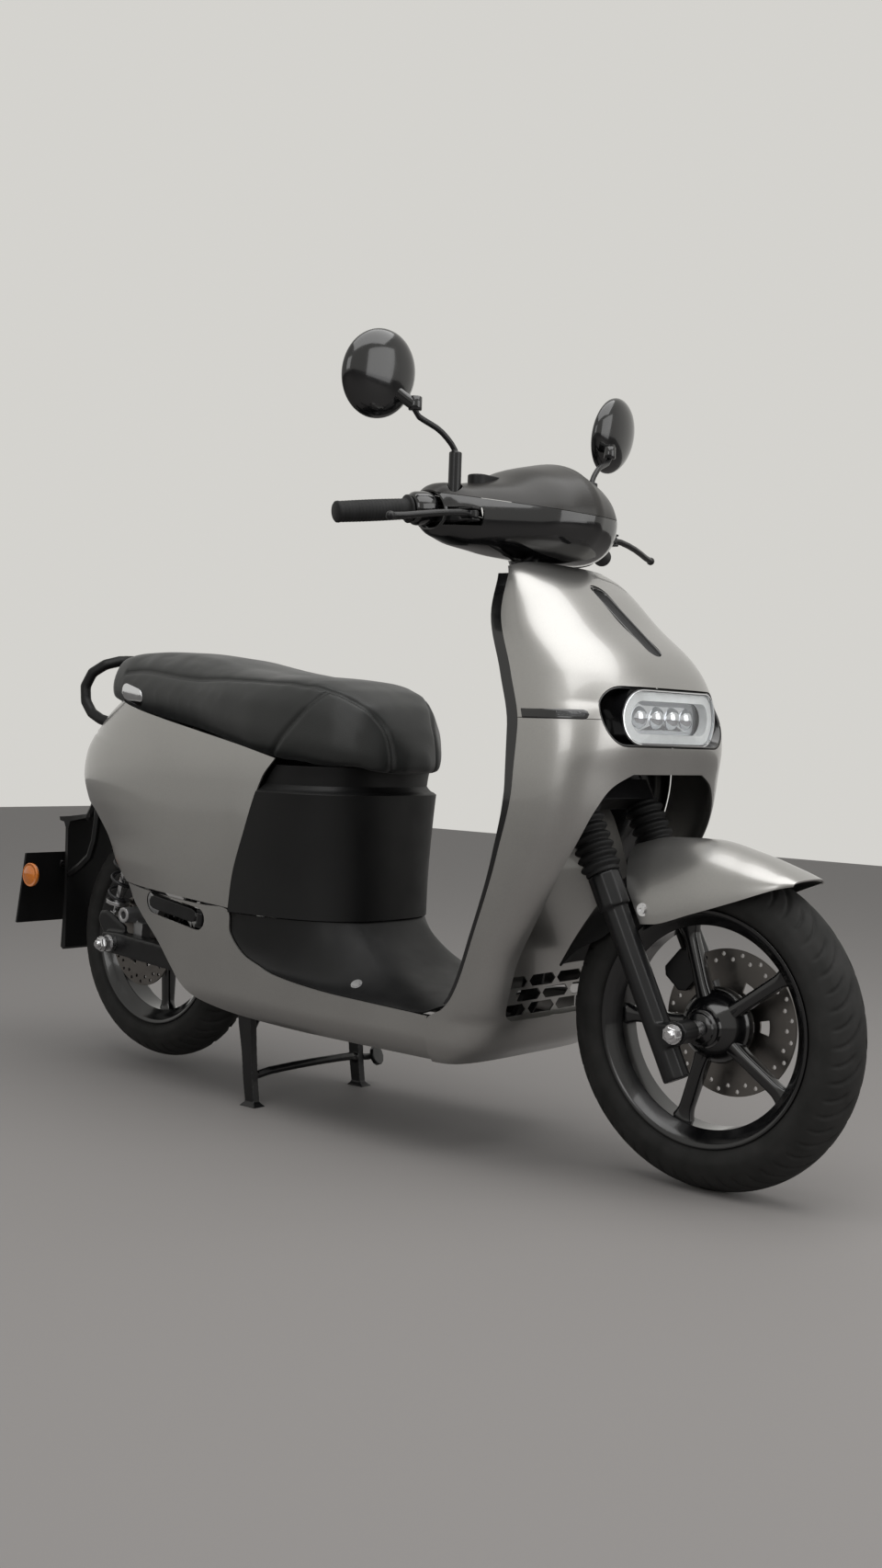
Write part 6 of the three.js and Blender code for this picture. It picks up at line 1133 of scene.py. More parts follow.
# %% Soften the castings
def remeshed(piece, voxel, rounds):
    remesh = piece.modifiers.new("voxels", "REMESH")
    remesh.mode, remesh.voxel_size, remesh.use_smooth_shade = "VOXEL", voxel, True
    smooth = piece.modifiers.new("soft", "SMOOTH")
    smooth.factor, smooth.iterations = 0.5, rounds
    return baked(piece)


def repainted(piece, material):
    piece.data.materials.clear()
    piece.data.materials.append(material)
    piece.data.shade_smooth()


def softened(node, material, voxel, rounds):
    piece = shown(node + "_casting", merged_copy(node, 0), material, body_with[node], ())
    remeshed(piece, voxel, rounds)
    repainted(piece, material)
    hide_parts(node)
    return piece


# Each line gives the material, the size of the voxels in metres and the rounds of smoothing.
castings = {
    "fork_slider_": (frame_paint, 0.0015, 24), "front_caliper": (frame_paint, 0.0014, 5),
    "rear_caliper": (cast_alloy, 0.0014, 5), "swingarm": (frame_paint, 0.0022, 12),
    "centre_stand": (frame_paint, 0.0014, 6), "handlebar": (frame_paint, 0.0014, 5),
    "brake_lever_": (frame_paint, 0.0011, 12), "footpeg_": (frame_paint, 0.0011, 5),
    "mirror_stem_": (frame_paint, 0.0011, 20), "grab_rail": (satin_black, 0.0018, 36),
    "rear_shock_body_": (frame_paint, 0.0014, 5),
}
cast = {node: softened(node, *how) for node, how in both_sides(castings).items()}
print("softened pieces", len(cast), "with", sum(len(p.data.polygons) for p in cast.values()), "faces")

# %% [markdown]
# Fork boots
#
# A boot is a bellows: a wave turned about the fork leg. The real boot stretches with the fork.

# %% Make the boots
boot_foot, boot_head, FOLDS = 545.3, 664.7, 7


def boot_profile():
    outer = [(24, 0), (26, 0), (27.5, 2), (27.5, 5)]
    length = boot_head - boot_foot
    run = (length - 12) / FOLDS
    for i in range(FOLDS * 12 + 1):
        t = i / 12
        wave = 0.5 - 0.5 * math.cos(2 * math.pi * t)
        outer.append((26.2 + 6.6 * wave ** 0.8, 6 + t * run))
    return outer + [(27, length - 4), (26, length), (17, length), (17, length - 6), (24, length - 12), (24, 0)]


boots = []
for name, side in SIDES:
    y = side * LEG_SPREAD
    start = on_fork(0, y, boot_foot)
    boot = shown(f"boot_{name}", lathe(boot_profile(), start, fork_way(), 56), soft_rubber, None,
                 (f"fork_boot_{name}",))
    top, foot = (model(*on_fork(0, y, height)) for height in (boot_head - 6, boot_foot + 6))
    boots.append(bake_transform(boot))
print("boots", len(boots))

# %% [markdown]
# Springs and grips
#
# A spring is a round wire swept along a helix. The real spring stretches with the swingarm. A grip is turned like a
# boot, with shallow ribs.

# %% Make the springs and grips
shock_top = Vector((-640, 0, 565))
shock_foot = Vector((-708, 0, 300))
shock_way = (shock_foot - shock_top).normalized()
spring_foot = (shock_foot - shock_top).length - 40
SPRING_RADIUS, SPRING_TURNS, SHOCK_SPREAD = 21, 6, 101


def spring_point(y, share):
    turn = share * SPRING_TURNS * 2 * math.pi
    reach = 39.5 + share * (spring_foot - 43)
    sideways = Vector((-shock_way.z, 0, shock_way.x))
    return (shock_top + shock_way * reach + sideways * SPRING_RADIUS * math.cos(turn)
            + Vector((0, y + SPRING_RADIUS * math.sin(turn), 0)))


def wire_rings(point_at, radius, steps, sides=14):
    rings = []
    for i in range(steps + 1):
        t = i / steps
        way = (point_at(min(1, t + 0.002)) - point_at(max(0, t - 0.002))).normalized()
        side = way.cross(Vector((0.31, 0.2, 0.93))).normalized()
        other = way.cross(side)
        rings.append([point_at(t) + side * radius * math.cos(q) + other * radius * math.sin(q)
                      for q in (2 * math.pi * k / sides for k in range(sides))])
    return rings


springs = []
for name, side in SIDES:
    y = side * SHOCK_SPREAD
    coil = shown(f"spring_{name}", loft(wire_rings(lambda t: spring_point(y, t), 3.5, 240)), spring_paint, None,
                 (f"rear_spring_{name}",))
    top, foot = (model(*(shock_top + Vector((0, y, 0)) + shock_way * d)) for d in (42, spring_foot - 6))
    springs.append(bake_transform(coil))
grip_inner, grip_outer = Vector((198.5, 225.5, 1066.9)), Vector((146, 362, 1048))


def grip_ends(side):
    return [Vector((place.x, side * place.y, place.z)) for place in (grip_inner, grip_outer)]


def grip_shape(side):
    start, end = grip_ends(side)
    length = (end - start).length + 5
    profile = [(0, 20), (22, 20), (23, 21), (23, 24), (22, 25), (17.6, 25.6)]
    for i in range(101):
        s = 27 + (length - 34) * i / 100
        swell = 0.7 * math.sin(math.pi * i / 100) + 0.35 * (0.5 + 0.5 * math.cos(2 * math.pi * i / 5))
        profile.append((16.6 + swell, s))
    profile += [(17.4, length - 5), (17.2, length - 2), (15, length), (0, length)]
    return lathe(profile, start, end - start, 60)


grips = [
    shown("throttle_rubber", grip_shape(-1), soft_rubber, "throttle", ("throttle_grip",)),
    shown("left_grip_rubber", grip_shape(1), soft_rubber, "steering", ("left_grip",)),
]
print("springs and grips", len(springs) + len(grips))

# %% [markdown]
# Mirrors
#
# A mirror head is a shallow dome with a round rim and a glass set into its back. The dome is a loft of ellipses
# that shrink along a curve, closed by the glass, which is a separate piece with a mirror's finish.

# %% Make the mirror heads
mirror_profile = [(-0.14, 0.94), (-0.12, 0.96), (-0.05, 0.99), (0.05, 1.0), (0.2, 0.985), (0.35, 0.94), (0.5, 0.87),
                  (0.62, 0.79), (0.74, 0.68), (0.84, 0.55), (0.92, 0.40), (0.97, 0.26), (1.0, 0.10)]


def mirror_frame(side):
    up = Vector((0.17, side * 0.2, 1)).normalized()
    out = Vector((-math.sin(math.radians(8)), side * math.cos(math.radians(8)), 0))
    out = (out - up * out.dot(up)).normalized()
    return Vector((0.28352 * 652.5, side * 1.56311 * 206, 1.60633 * 790)), up, out, out.cross(up) * side


def mirror_ring(side, ahead, size, steps=72):
    middle, up, out, front = mirror_frame(side)
    return [middle + front * ahead * 30 + out * size * 72 * math.cos(q) + up * size * 70 * math.sin(q)
            for q in (2 * math.pi * k / steps for k in range(steps))]


mirrors = []
for name, side in SIDES:
    head = loft([mirror_ring(side, a, s) for a, s in mirror_profile])
    pivot = Vector((220, side * 270, 1216))
    middle = mirror_frame(side)[0]
    neck = [pivot + Vector((0, 0, 8)), pivot.lerp(middle, 0.30) + Vector((0, 0, 2)), pivot.lerp(middle, 0.62)]
    tube = loft(wire_rings(lambda t: neck[0].lerp(neck[1], t).lerp(neck[1].lerp(neck[2], t), t), 9.6, 16, 20))
    hub = lathe([(0, -0.4), (10, 0), (11, 1.2), (11, 20.5), (9.6, 22), (0, 22.2)], pivot, (0, 0, 1), 40)
    body = shown(f"mirror_{name}_shell", merged([head, tube, hub]), gloss_black, "mirror_" + name,
                 (f"mirror_head_{name}",))
    sharp(body, 50)
    back = loft([mirror_ring(side, -0.150, 0.90), mirror_ring(side, -0.165, 0.895)])
    glass = shown(f"mirror_{name}_glass", back, mirror_glass, "mirror_" + name, ())
    mirrors += [body, glass]
print("mirror pieces", len(mirrors))

# %% [markdown]
# Handlebar cowl
#
# The cowl is widest and deepest at its middle and tapers to each side, with a superellipse as its section. It is
# two mouldings: a satin one above and a gloss black one below. One loft is split by height, so the seam between
# them follows the shape.

# %% Make the cowl
cowl_x = curve_through([(0, 0.4414), (0.3, 0.428), (0.55, 0.396), (0.78, 0.36), (0.93, 0.335), (1, 0.319)], 1, 652.5)
cowl_z = curve_through([(0, 1.3646), (0.3, 1.3563), (0.55, 1.3443), (0.78, 1.3435), (0.93, 1.3494), (1, 1.3494)],
                       1, 790)
cowl_length = curve_through([(0, 1), (0.3, 0.94), (0.55, 0.79), (0.78, 0.57), (0.93, 0.42), (1, 0.3)], 1, 112)
cowl_height = curve_through([(0, 1), (0.3, 0.889), (0.55, 0.707), (0.78, 0.6), (0.93, 0.52), (1, 0.38)], 1, 86)


def cowl_ring(share, place, inset, steps=72):
    ring, reach = [], abs(share)
    for k in range(steps):
        c, s = math.cos(2 * math.pi * k / steps), math.sin(2 * math.pi * k / steps)
        a, b = math.copysign(abs(c) ** (2 / 2.3), c), math.copysign(abs(s) ** (2 / 2.3), s)
        ring.append(Vector((cowl_x(reach) + a * (cowl_length(reach) - inset) - 0.25 * max(0, b) * cowl_height(reach),
                            place * 213, cowl_z(reach) + b * (cowl_height(reach) - inset))))
    return ring


def cowl_half(lower):
    places = [math.sin(math.pi / 2 * (i / 24 - 1)) for i in range(49)]
    outer = loft([cowl_ring(p, p, 0) for p in places])
    inner = loft([cowl_ring(p, p * (1.1 if abs(p) == 1 else 1), 3) for p in places])
    cutters = [inner]
    for side in (-1, 1):
        low, high = sorted((side * 173.2, side * 211))
        cutters.append(prism([(192, 1040), (330, 1040), (330, 1069), (192, 1069)], across_side, low, high))
        cutters.append(plug(12.2, -40, 60, Vector((241.5, side * 190, 1100)), (0, 0, 1), 40))
    cutters.append(plug(44, 0, up_fork(1176) - up_fork(1018), on_fork(0, 0, up_fork(1018)), fork_way(), 60))
    seam = [(-50, 1098), (60, 1098), (200, 1096), (300, 1083), (420, 1066), (600, 1046)]
    edge = [(x, z - 0.4 if lower else z + 0.4) for x, z in seam]
    outline = edge + ([(600, 1400), (-50, 1400)] if lower else [(600, 900), (-50, 900)])
    cutters.append(prism(outline, across_side, -300, 300))
    return cut_out(outer, *cutters)


collar_profile = [(11, -22), (23, -22), (26, -18), (27.6, -6), (27.6, 8), (26.4, 13), (23, 17), (20, 18.4),
                  (11, 18.4), (11, -22)]
for name, side in SIDES:
    start, end = grip_ends(side)
    collar = lathe(collar_profile, start, end - start, 72)
    rounded(shown(f"switch_housing_{name}", collar, gloss_black, "steering", ()), 0.0006, 50)
cap = prism([(246 + b, -118 + a) for a, b in pill(0, 0, 37, 17, 16)], from_above, 1100, 1129.5)
rounded(shown("fluid_cap", cap, satin_black, "steering", ()), 0.0025, 50, 4)
cowl_top = shown("cowl_upper", cowl_half(False), cowl_dark, "steering", ("handlebar_cowl",))
cowl_low = shown("cowl_lower", cowl_half(True), gloss_black, "steering", ())
for half in (cowl_top, cowl_low):
    rounded(half, 0.0009, 40)
print("cowl", len(cowl_top.data.polygons), len(cowl_low.data.polygons), "faces")

# %% [markdown]
# Headlight
#
# The headlight is a pill-shaped black bowl with a lens block in it. Behind the clear cover sit an opal ring that
# follows the pill's outline and four projector lenses. The CAD solid is one block, so these are modelled apart.

# %% Make the headlight
lamp_front = nose_at(LAMP_HEIGHT) + 2
LAMP_BEND = 620  # the lens block is curved from side to side with this radius


def sag(y):
    return LAMP_BEND - math.sqrt(LAMP_BEND ** 2 - y * y)


def lamp_block(half_width, half_height, rear, front):
    outline = pill(0, LAMP_HEIGHT, half_width, half_height, 28)
    layers = [[Vector((rear, y, z)) for y, z in outline]]
    for share in (1, 0.93, 0.8, 0.6, 0.4, 0.2, 0.05):
        layers.append([Vector((front - sag(y * share), y * share, LAMP_HEIGHT + (z - LAMP_HEIGHT) * share))
                       for y, z in outline])
    return loft(layers)


def tube_of_pill(outer, inner, rear, front):
    return cut_out(lamp_block(*outer, rear, front), lamp_block(*inner, rear - 20, front + 20))


def on_nose(y, z):
    around = math.asin(min(1, (abs(y) / front_half_at(z)) ** (fullness_at(z) / 2))) * 2 / math.pi
    return Vector((front_body(around, z).x + COVER_WALL, y, z))


bezel_rings = []
for inset, back in ((0.8, 1.5), (3.2, 0.8), (4.6, 4), (8, 20), (16, 36), (30, 44)):
    outline = pill(0, LAMP_HEIGHT, LAMP_HALF_WIDTH - inset, LAMP_HALF_HEIGHT - inset, 28)
    bezel_rings.append([on_nose(y, z) - Vector((back, 0, 0)) for y, z in outline])
bezel = shown("headlight_bezel", loft(bezel_rings, capped=False), gloss_black, "chassis", ("headlight",))
thick = bezel.modifiers.new("wall", "SOLIDIFY")
thick.thickness, thick.offset = 0.0015, -1
projectors = []
for y in (-66, -22, 22, 66):
    dome = lathe([(0, -14), (20.5, -14), (20.5, 2), (19, 3), (18, 8), (15, 13), (9, 16.5), (3, 18), (0, 18.2)],
                 Vector((lamp_front - 34 - sag(y), y, LAMP_HEIGHT)), (1, 0, 0), 40)
    projectors.append(dome)
clear_cover = cut_out(lamp_block(130.8, 41.3, lamp_front - 28, lamp_front),
                      lamp_block(129, 39.8, 430, lamp_front - 2))
lamp_parts = {
    "back": (lamp_block(140, 42, 484, 489), reflector_chrome, "lamp"),
    "ring": (tube_of_pill((130, 40.5), (110, 26), lamp_front - 30, lamp_front - 5), opal_ring, "lamp"),
    "inner": (lamp_block(111, 27, 490, lamp_front - 26), reflector_chrome, "lamp"),
    "projectors": (merged(projectors), reflector_chrome, "lamp"),
    "sleeve": (tube_of_pill((134, 44.5), (131.8, 42.3), 472, lamp_front - 1), gloss_black, "black_gloss"),
    "edge": (tube_of_pill((132.8, 43.3), (131, 41.5), lamp_front - 24, lamp_front + 0.8), reflector_chrome, "lamp"),
    "cover": (clear_cover, clear_lens, "lamp"),
}
for part, (shape, material, slot) in lamp_parts.items():
    piece = shown("headlight_" + part, shape, material, "chassis", ())
    if part != "projectors":
        sharp(piece, 45)
print("headlight pieces", len(lamp_parts) + 1)

# %% [markdown]
# Indicator strips
#
# On each side a short dark strip with a clear pocket sits in the seam between the shield and the lower panel. It
# hugs the surface, so each of its points is taken from the surface and lifted by a millimetre.

# %% Make the indicator strips
def on_front(across, height, lift):
    here = front_body(across, height)
    along = front_body(across + 0.002, height) - front_body(across - 0.002, height)
    up = front_body(across, height + 1) - front_body(across, height - 1)
    return here + along.cross(up).normalized() * (COVER_WALL + lift)


def strip(side, start, end, low, high, lift, steps=40):
    rows = []
    for i in range(steps + 1):
        t = i / steps
        across = side * (start + (end - start) * t)
        near_end = min(1, (1 - t) * steps * 0.22)
        half = (high - low) / 2 * math.sqrt(max(0.0, 1 - (1 - near_end) ** 2))
        middle = (high + low) / 2
        rows.append([on_front(across, middle + half * k, lift * math.sqrt(max(0, 1 - k ** 4))) for k in
                     (-1, -0.8, -0.5, 0, 0.5, 0.8, 1)])
    points = [p for row in rows for p in row]
    return closed(points, grid_faces(steps + 1, 7))


indicators = []
for name, side in SIDES:
    base = shown(f"indicator_{name}", strip(side, 0.992, 0.57, 730, 745, 1.2), gloss_black, "chassis", ())
    lens = shown(f"indicator_{name}_lens", strip(side, 0.80, 0.60, 733.5, 741.5, 1.9), clear_lens,
                 "chassis", ())
    indicators += [base, lens]
print("indicator pieces", len(indicators))

# %% [markdown]
# Seat
#
# The cushion is foam under a sewn cover, so it is simulated as cloth: the solid is remeshed, blown up a little with
# pressure, and held to within a few millimetres of where it was. First its lower edge is drawn down towards the
# side panels, which it hugs on the real seat. The sewn seams come afterwards, because a remesh would lose them.

# %% Simulate the cushion
CLOTH_FRAMES, SWELL_LIMIT, DIP_LIMIT = 14, 0.003, 0.0005
seam_points = {
    "side_right": [(-690, -128, 812), (-618, -110, 805), (-470, -118, 787), (-331, -125, 781), (-214, -130, 780),
                   (-78, -125, 777), (-29, -105, 766), (-9, -90, 747), (-3, -70, 711), (-2, -60, 670),
                   (-2, -55, 622)],
    "slant_right": [(-208, -165, 645), (-174, -165, 687), (-134, -160, 730), (-96, -130, 773)],
}
for name in list(seam_points):
    seam_points[name.replace("right", "left")] = [(x, -y, z) for x, y, z in seam_points[name]]


cushion = placed("cushion", as_mesh(merged_copy("seat_cushion", 0), "cushion"))
cushion_data = remeshed(cushion, 0.0055, 6)
hem_places = [-737, -640, -520, -400, -280, -220, -160, -100]
hem_heights, hem_drops = [775, 753, 727, 703, 674, 665, 649, 635], [31, 31, 26, 19, 16, 13, 8, 0]


def lowered(points):
    x, z = points[:, 0] * 1000, points[:, 2] * 1000
    fade = np.clip(1 - (z - np.interp(x, hem_places, hem_heights)) / 70, 0, 1) ** 1.5
    lower_points = points.copy()
    lower_points[:, 2] -= np.interp(x, hem_places, hem_drops) * fade / 1000
    return lower_points


for part in (cushion_data, plain["seat_base"].data):
    for vertex, place in zip(part.vertices, lowered(np.array([v.co for v in part.vertices]))):
        vertex.co = place
start_points = np.array([v.co for v in cushion_data.vertices])
cloth = cushion.modifiers.new("cloth", "CLOTH")
cloth.settings.use_pressure = True
cloth.settings.uniform_pressure_force = 3.0
cloth.settings.effector_weights.gravity = 0
cloth.settings.tension_stiffness = cloth.settings.compression_stiffness = 30
cloth.point_cache.frame_end = CLOTH_FRAMES
for step in range(1, CLOTH_FRAMES + 1):
    scene.frame_set(step)
moved = np.array([v.co for v in evaluated(cushion).vertices]) - start_points
cushion.modifiers.clear()
scene.frame_set(1)
length = np.linalg.norm(moved, axis=1, keepdims=True)
moved *= np.minimum(1, SWELL_LIMIT / np.maximum(length, 1e-9))
moved[:, 2] = np.maximum(moved[:, 2], -DIP_LIMIT)
for vertex, place in zip(cushion_data.vertices, start_points + moved):
    vertex.co = place
print("the cushion swelled by up to", round(float(np.abs(moved).max()) * 1000, 1), "mm")

# %% [markdown]
# Sewn seams
#
# Where two panels of leather are sewn, the cover is pulled into the foam. Every vertex near a seam line sinks along
# its normal, with a rounded valley. Two rows of stitches then lie along the same line.

# %% Press the seams and sew them
SEAM_DEPTH, SEAM_WIDTH, STITCH_ROW, STITCH_DEPTH = 0.0038, 0.0052, 0.0042, 0.0018
calm = cushion.modifiers.new("calm", "SMOOTH")
calm.factor, calm.iterations = 0.5, 14
finer = cushion.modifiers.new("finer", "SUBSURF")
finer.levels = finer.render_levels = 1
fine_mesh = baked(cushion)
skin_tree = BVHTree.FromObject(cushion, bpy.context.evaluated_depsgraph_get())


def seam_line(name):
    spots = smooth_outline(seam_points[name], 12)
    line = []
    for spot in spots:
        near, normal, _, _ = skin_tree.find_nearest(model(*spot))
        line.append((near, normal))
    return line


seam_lines = {name: seam_line(name) for name in seam_points}
places = np.array([v.co for v in fine_mesh.vertices])
normals = np.array([v.normal for v in fine_mesh.vertices])
sink = np.zeros(len(places))
for line in seam_lines.values():
    for (a, _), (b, _) in zip(line, line[1:]):
        a, b = np.array(a), np.array(b)
        span = b - a
        t = np.clip(((places - a) @ span) / max(1e-12, span @ span), 0, 1)
        away = np.linalg.norm(places - (a + t[:, None] * span), axis=1)
        sink = np.maximum(sink, SEAM_DEPTH * np.exp(-(away / SEAM_WIDTH) ** 2))
for vertex, place in zip(fine_mesh.vertices, places - normals * sink[:, None]):
    vertex.co = place
repainted(cushion, seat_leather)
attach(cushion, "seat")
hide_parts("seat_cushion")


def tree_with(name, sizes):
    tree = bpy.data.node_groups.new(name, "GeometryNodeTree")
    tree.interface.new_socket("Geometry", in_out="INPUT", socket_type="NodeSocketGeometry")
    for size, value in sizes.items():
        tree.interface.new_socket(size, in_out="INPUT", socket_type="NodeSocketFloat").default_value = value
    tree.interface.new_socket("Material", in_out="INPUT", socket_type="NodeSocketMaterial")
    tree.interface.new_socket("Geometry", in_out="OUTPUT", socket_type="NodeSocketGeometry")
    return tree, tree.nodes.new


def wire(tree, *runs):
    for source, out, target, into in runs:
        tree.links.new(source.outputs[out], target.inputs[into])


def set_inputs(modifier, **values):
    names = modifier.node_group.interface.items_tree
    sockets = {item.name: item.identifier for item in names if item.in_out == "INPUT"}
    for name, value in values.items():
        modifier[sockets[name]] = value


def stitch_tree():
    tree, add = tree_with("stitches", {"Pitch": 0.005, "Thread": 0.0005, "Length": 0.0017})
    start, end = add("NodeGroupInput"), add("NodeGroupOutput")
    curve, spread = add("GeometryNodeMeshToCurve"), add("GeometryNodeResampleCurve")
    spread.mode = "LENGTH"
    place, thread = add("GeometryNodeInstanceOnPoints"), add("GeometryNodeMeshUVSphere")
    thread.inputs["Segments"].default_value, thread.inputs["Rings"].default_value = 8, 5
    shape = add("GeometryNodeTransform")
    size = add("ShaderNodeCombineXYZ")
    aim = add("FunctionNodeAlignEulerToVector")
    aim.axis = "Z"
    tangent, real = add("GeometryNodeInputTangent"), add("GeometryNodeRealizeInstances")
    paint = add("GeometryNodeSetMaterial")
    thread.inputs["Radius"].default_value = 1.0
    wire(tree, (start, "Geometry", curve, "Mesh"), (curve, "Curve", spread, "Curve"),
         (start, "Pitch", spread, "Length"), (spread, "Curve", place, "Points"),
         (start, "Thread", size, "X"), (start, "Thread", size, "Y"), (start, "Length", size, "Z"),
         (thread, "Mesh", shape, "Geometry"), (size, "Vector", shape, "Scale"),
         (shape, "Geometry", place, "Instance"), (tangent, "Tangent", aim, "Vector"),
         (aim, "Rotation", place, "Rotation"), (place, "Instances", real, "Geometry"),
         (real, "Geometry", paint, "Geometry"), (start, "Material", paint, "Material"),
         (paint, "Geometry", end, "Geometry"))
    return tree


seam_mesh = bpy.data.meshes.new("seat_stitches")
points, edges = [], []
for line in seam_lines.values():
    for shift in (-STITCH_ROW, STITCH_ROW):
        first = len(points)
        for k, (spot, normal) in enumerate(line):
            ahead = line[min(len(line) - 1, k + 1)][0] - line[max(0, k - 1)][0]
            side = ahead.cross(normal).normalized()
            points.append(spot + side * shift - normal * STITCH_DEPTH)
        edges += [(i, i + 1) for i in range(first, len(points) - 1)]
seam_mesh.from_pydata(points, edges, [])
stitches = placed("seat_stitches", seam_mesh)
sewing = stitches.modifiers.new("sewing", "NODES")
sewing.node_group = stitch_tree()
set_inputs(sewing, Material=seat_leather)
baked(stitches)
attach(stitches, "seat")
print("stitches", len(stitches.data.polygons), "faces")

# %% [markdown]
# Slot in the nose
#
# The pill-shaped slot in the nose holds a dark dished insert with a thin glossy rim. Both are lofts of pill outlines
# that sit on the nose's own curve and sink step by step.

# %% Make the slot insert
def slot_ring(half_length, half_width, lift):
    ring = []
    for a, b in pill(0, 0, half_length, half_width, 20):
        spot = in_slot(a, b, 0)
        ring.append(on_nose(spot.y, spot.z) + slot_out * lift)
    return ring


slot_rim = loft([slot_ring(*size) for size in (
    (87, 17, -12), (89.4, 19.4, -12), (89.4, 19.4, -0.6), (88.6, 18.6, 0.5), (87.4, 17.4, 0.5), (86.6, 16.6, -0.6),
    (86.6, 16.6, -11))])
slot_dish = loft([slot_ring(*size) for size in (
    (86.3, 16.3, -14), (86.3, 16.3, -2), (84.5, 14.5, -5.5), (82, 11.5, -8), (79, 8, -9.6), (75, 4, -10.2)
)])
nose_pieces = [shown("nose_slot_rim", slot_rim, gloss_black, "chassis", ()),
               shown("nose_slot_dish", slot_dish, satin_black, "chassis", ())]
print("nose slot", len(nose_pieces), "pieces")

# %% [markdown]
# Screws, nuts and snap caps
#
# Screws repeat, so one small node tree makes them all: it takes points that carry a direction, and puts a washer
# and a socket-head screw on each. Its sizes are inputs, so the same tree makes the floor's flat snap caps.

# %% Set the screws
def screw_tree():
    tree, add = tree_with("screws", {"Head": 0.006, "Height": 0.004, "Washer": 0.009, "Socket": 0.003})
    start, end = add("NodeGroupInput"), add("NodeGroupOutput")
    head, washer, socket = (add("GeometryNodeMeshCylinder") for _ in range(3))
    for part, sides in ((head, 28), (washer, 32), (socket, 6)):
        part.inputs["Vertices"].default_value = sides
    washer.inputs["Depth"].default_value = 0.0016
    raised, sunk, carve = add("GeometryNodeTransform"), add("GeometryNodeTransform"), add("GeometryNodeMeshBoolean")
    carve.operation = "DIFFERENCE"
    for moved, share in ((raised, 0.5), (sunk, 1.1)):
        lift, rise = add("ShaderNodeMath"), add("ShaderNodeCombineXYZ")
        lift.operation, lift.inputs[1].default_value = "MULTIPLY", share
        wire(tree, (start, "Height", lift, 0), (lift, 0, rise, "Z"), (rise, "Vector", moved, "Translation"))
    joined, place = add("GeometryNodeJoinGeometry"), add("GeometryNodeInstanceOnPoints")
    way, real = add("GeometryNodeInputNamedAttribute"), add("GeometryNodeRealizeInstances")
    paint = add("GeometryNodeSetMaterial")
    way.data_type, way.inputs["Name"].default_value = "FLOAT_VECTOR", "aim"
    turn = add("FunctionNodeAlignEulerToVector")
    turn.axis = "Z"
    wire(tree, (start, "Head", head, "Radius"), (start, "Height", head, "Depth"),
         (start, "Washer", washer, "Radius"), (start, "Socket", socket, "Radius"),
         (start, "Height", socket, "Depth"), (head, "Mesh", raised, "Geometry"),
         (socket, "Mesh", sunk, "Geometry"), (raised, "Geometry", carve, "Mesh 1"),
         (sunk, "Geometry", carve, "Mesh 2"), (carve, "Mesh", joined, "Geometry"),
         (washer, "Mesh", joined, "Geometry"), (way, "Attribute", turn, "Vector"),
         (turn, "Rotation", place, "Rotation"), (start, "Geometry", place, "Points"),
         (joined, "Geometry", place, "Instance"), (place, "Instances", real, "Geometry"),
         (real, "Geometry", paint, "Geometry"), (start, "Material", paint, "Material"),
         (paint, "Geometry", end, "Geometry"))
    return tree


screw_maker = screw_tree()


def screws(name, spots, body, material, slot, **sizes):
    mesh = bpy.data.meshes.new(name)
    mesh.from_pydata([tuple(model(*place)) for place, _ in spots], [], [])
    aims = mesh.attributes.new("aim", "FLOAT_VECTOR", "POINT")
    aims.data.foreach_set("vector", [c for _, way in spots for c in Vector(way).normalized()])
    made = placed(name, mesh)
    turner = made.modifiers.new("screws", "NODES")
    turner.node_group = screw_maker
    set_inputs(turner, Material=material, **sizes)
    baked(made)
    sharp(made, 30)
    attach(made, body)
    return made


fender_screws = screws("fender_screws", [((562, -77.0, 437), (0.05, -1, 0.05)), ((562, 77.0, 437), (0.05, 1, 0.05))],
                       "fork_lowers", bright_steel, "steel", Head=0.0065, Height=0.005, Washer=0.0105, Socket=0.0032)
floor_tree = BVHTree.FromObject(floor_cover, bpy.context.evaluated_depsgraph_get())
cap_spots = []
for x, y in ((20, -150), (20, 150), (96, -70), (96, 70)):
    hit, out, _, _ = floor_tree.find_nearest(model(x, y, 262))
    out = out if out.z > 0 else -out
    cap_spots.append((in_mm(hit), out))
floor_caps = screws("floor_caps", cap_spots,
                    "chassis", ground_steel, "steel", Head=0.0085, Height=0.002, Washer=0.0105, Socket=0.0015)
plate_screws = screws("plate_screws", [((-941, -60, 392), (-1, 0, 0.2)), ((-941, 60, 392), (-1, 0, 0.2))],
                      "chassis", ground_steel, "steel", Head=0.0045, Height=0.003, Washer=0.0075, Socket=0.0022)
caliper_bolts = screws("front_caliper_bolts", [((566, 69, 322), (0, 1, 0)), ((588, 69, 350), (0, 1, 0))],
                       "fork_lowers", ground_steel, "steel", Head=0.006, Height=0.006, Washer=0.009, Socket=0.003)
axle_nuts = []
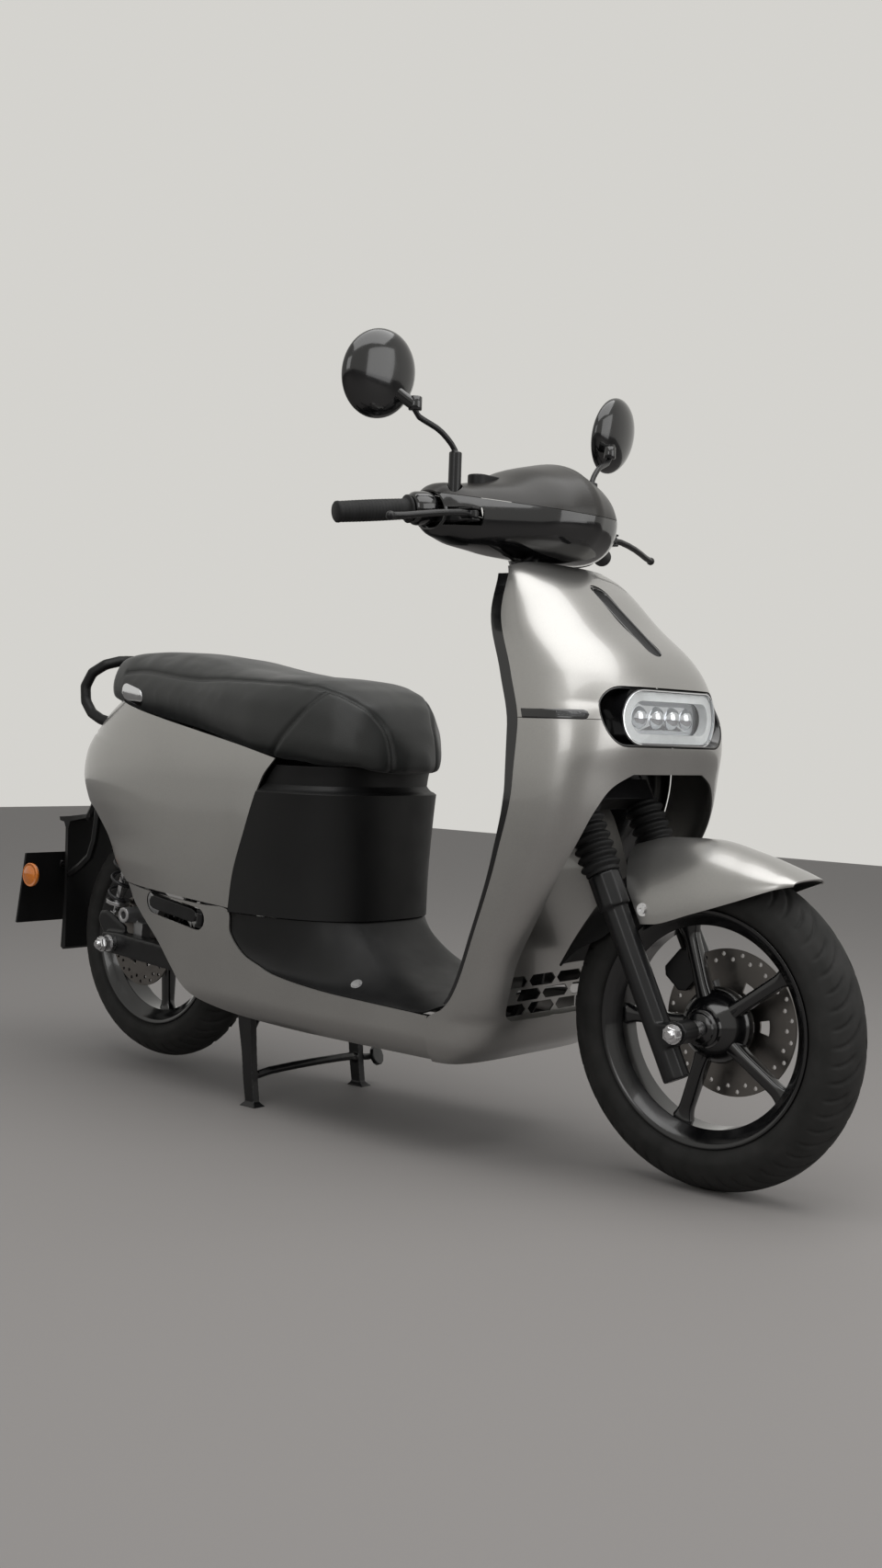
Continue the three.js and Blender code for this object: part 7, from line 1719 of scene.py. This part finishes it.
for name, place, way, body in (
        ("front_axle_nut", (652.5, -118, 258), (0, -1, 0), "fork_lowers"),
        ("rear_axle_nut", (-652.5, -176, 259), (0, -1, 0), "rear_arm")):
    washer = lathe([(0, -1), (15.5, -1), (15.5, 1.4), (0, 1.4)], Vector(place), way, 48)
    hexagon = lathe([(0, 1), (12.6, 1), (13, 2), (13, 8), (11.4, 9.6), (0, 9.6)], Vector(place), way, 6)
    ridges = [(6.4 + 0.35 * (k % 2), 9.4 + 0.7 * k) for k in range(8)]
    thread = lathe([(0, 9)] + ridges + [(5.4, 15.4), (0, 15.6)], Vector(place), way, 32)
    nut = shown(name, merged([washer, hexagon, thread]), bright_steel, body, ())
    axle_nuts.append(sharp(nut, 25))
print("screws", sum(len(p.data.polygons) for p in (fender_screws, floor_caps, plate_screws, caliper_bolts)), "faces")

# %% [markdown]
# Reflector, plate and badge
#
# A round amber reflector faces sideways from each side of the plate carrier. The plate and the badge plates on the
# seat are bare, because a reusable part carries no lettering.

# %% Make the reflector and the bare plates
reflector_profile = [(0, -3), (25, -3), (25, 2), (24, 3.2), (22.6, 3.2), (22.4, 2.6), (18, 4.6), (12, 6.2), (6, 7),
                     (0, 7.3)]
for name, side in SIDES:
    shape = lathe(reflector_profile, Vector((-935, side * 146, 372)), (0, side, 0), 48)
    shown(f"reflector_{name}", shape, amber_lens, "chassis", ())
plate_foot, plate_head = Vector((-984.5, 0, 270)), Vector((-957, 0, 410))
plate_way = (plate_head - plate_foot).normalized()
plate_out = Vector((-plate_way.z, 0, plate_way.x))


def on_plate(a, b, depth):
    return plate_foot + plate_way * (70 + b) + Vector((0, a, 0)) + plate_out * depth


def round_rectangle(half_a, half_b, radius, steps=6):
    outline = []
    for sign_a, sign_b, start in ((1, 1, 0), (-1, 1, 90), (-1, -1, 180), (1, -1, 270)):
        for k in range(steps + 1):
            turn = math.radians(start + 90 * k / steps)
            outline.append((sign_a * (half_a - radius) + radius * math.cos(turn),
                            sign_b * (half_b - radius) + radius * math.sin(turn)))
    return outline


plate_shape = prism(round_rectangle(130, 66, 10), on_plate, -1.0, 1.4)
rounded(shown("bare_plate", plate_shape, plate_white, "chassis", ()), 0.0004, 40)
badges = []
for name, side in SIDES:
    spot, normal, _, _ = skin_tree.find_nearest(model(-655, side * 116, 757))
    run = (Vector((1, 0, -0.22)) - normal * normal.dot(Vector((1, 0, -0.22)))).normalized()
    rise = normal.cross(run)
    rings = []
    for size, lift in ((0.96, -1.5), (1.0, 0.6), (0.97, 1.4), (0.88, 1.7)):
        ring = []
        for a, b in pill(0, 0, 40 * size, 18 * size, 12):
            near, out, _, _ = skin_tree.find_nearest(spot + run * (a / 1000) + rise * (b / 1000))
            ring.append(in_mm(near + out * (lift / 1000)))
        rings.append(ring)
    badges.append(shown(f"bare_badge_{name}", loft(rings), reflector_chrome, "seat", ()))
print("badge plates", len(badges))

# %% [markdown]
# Brake hoses
#
# Each hose leaves its lever's perch, dips below the cowl and turns into the stem opening. Both ends are clamped to
# parts that turn with the handlebar, so the hoses ride along with it.

# %% Run the brake hoses
hose_path = [(222, -176, 1048), (262, -168, 1030), (283, -140, 1012), (284, -100, 1001), (268, -62, 997),
             (246, -36, 1006), (236, -22, 1030)]


def hose(side):
    spots = [Vector((x, side * -y, z)) for x, y, z in hose_path]

    def point_at(t):
        return Vector(spline_at([list(p) for p in spots], t))

    return loft(wire_rings(point_at, 3.6, 60, 12))


hoses = [shown(f"brake_hose_{name}", hose(side), soft_rubber, "steering", ()) for name, side in SIDES]
print("hoses", len(hoses))
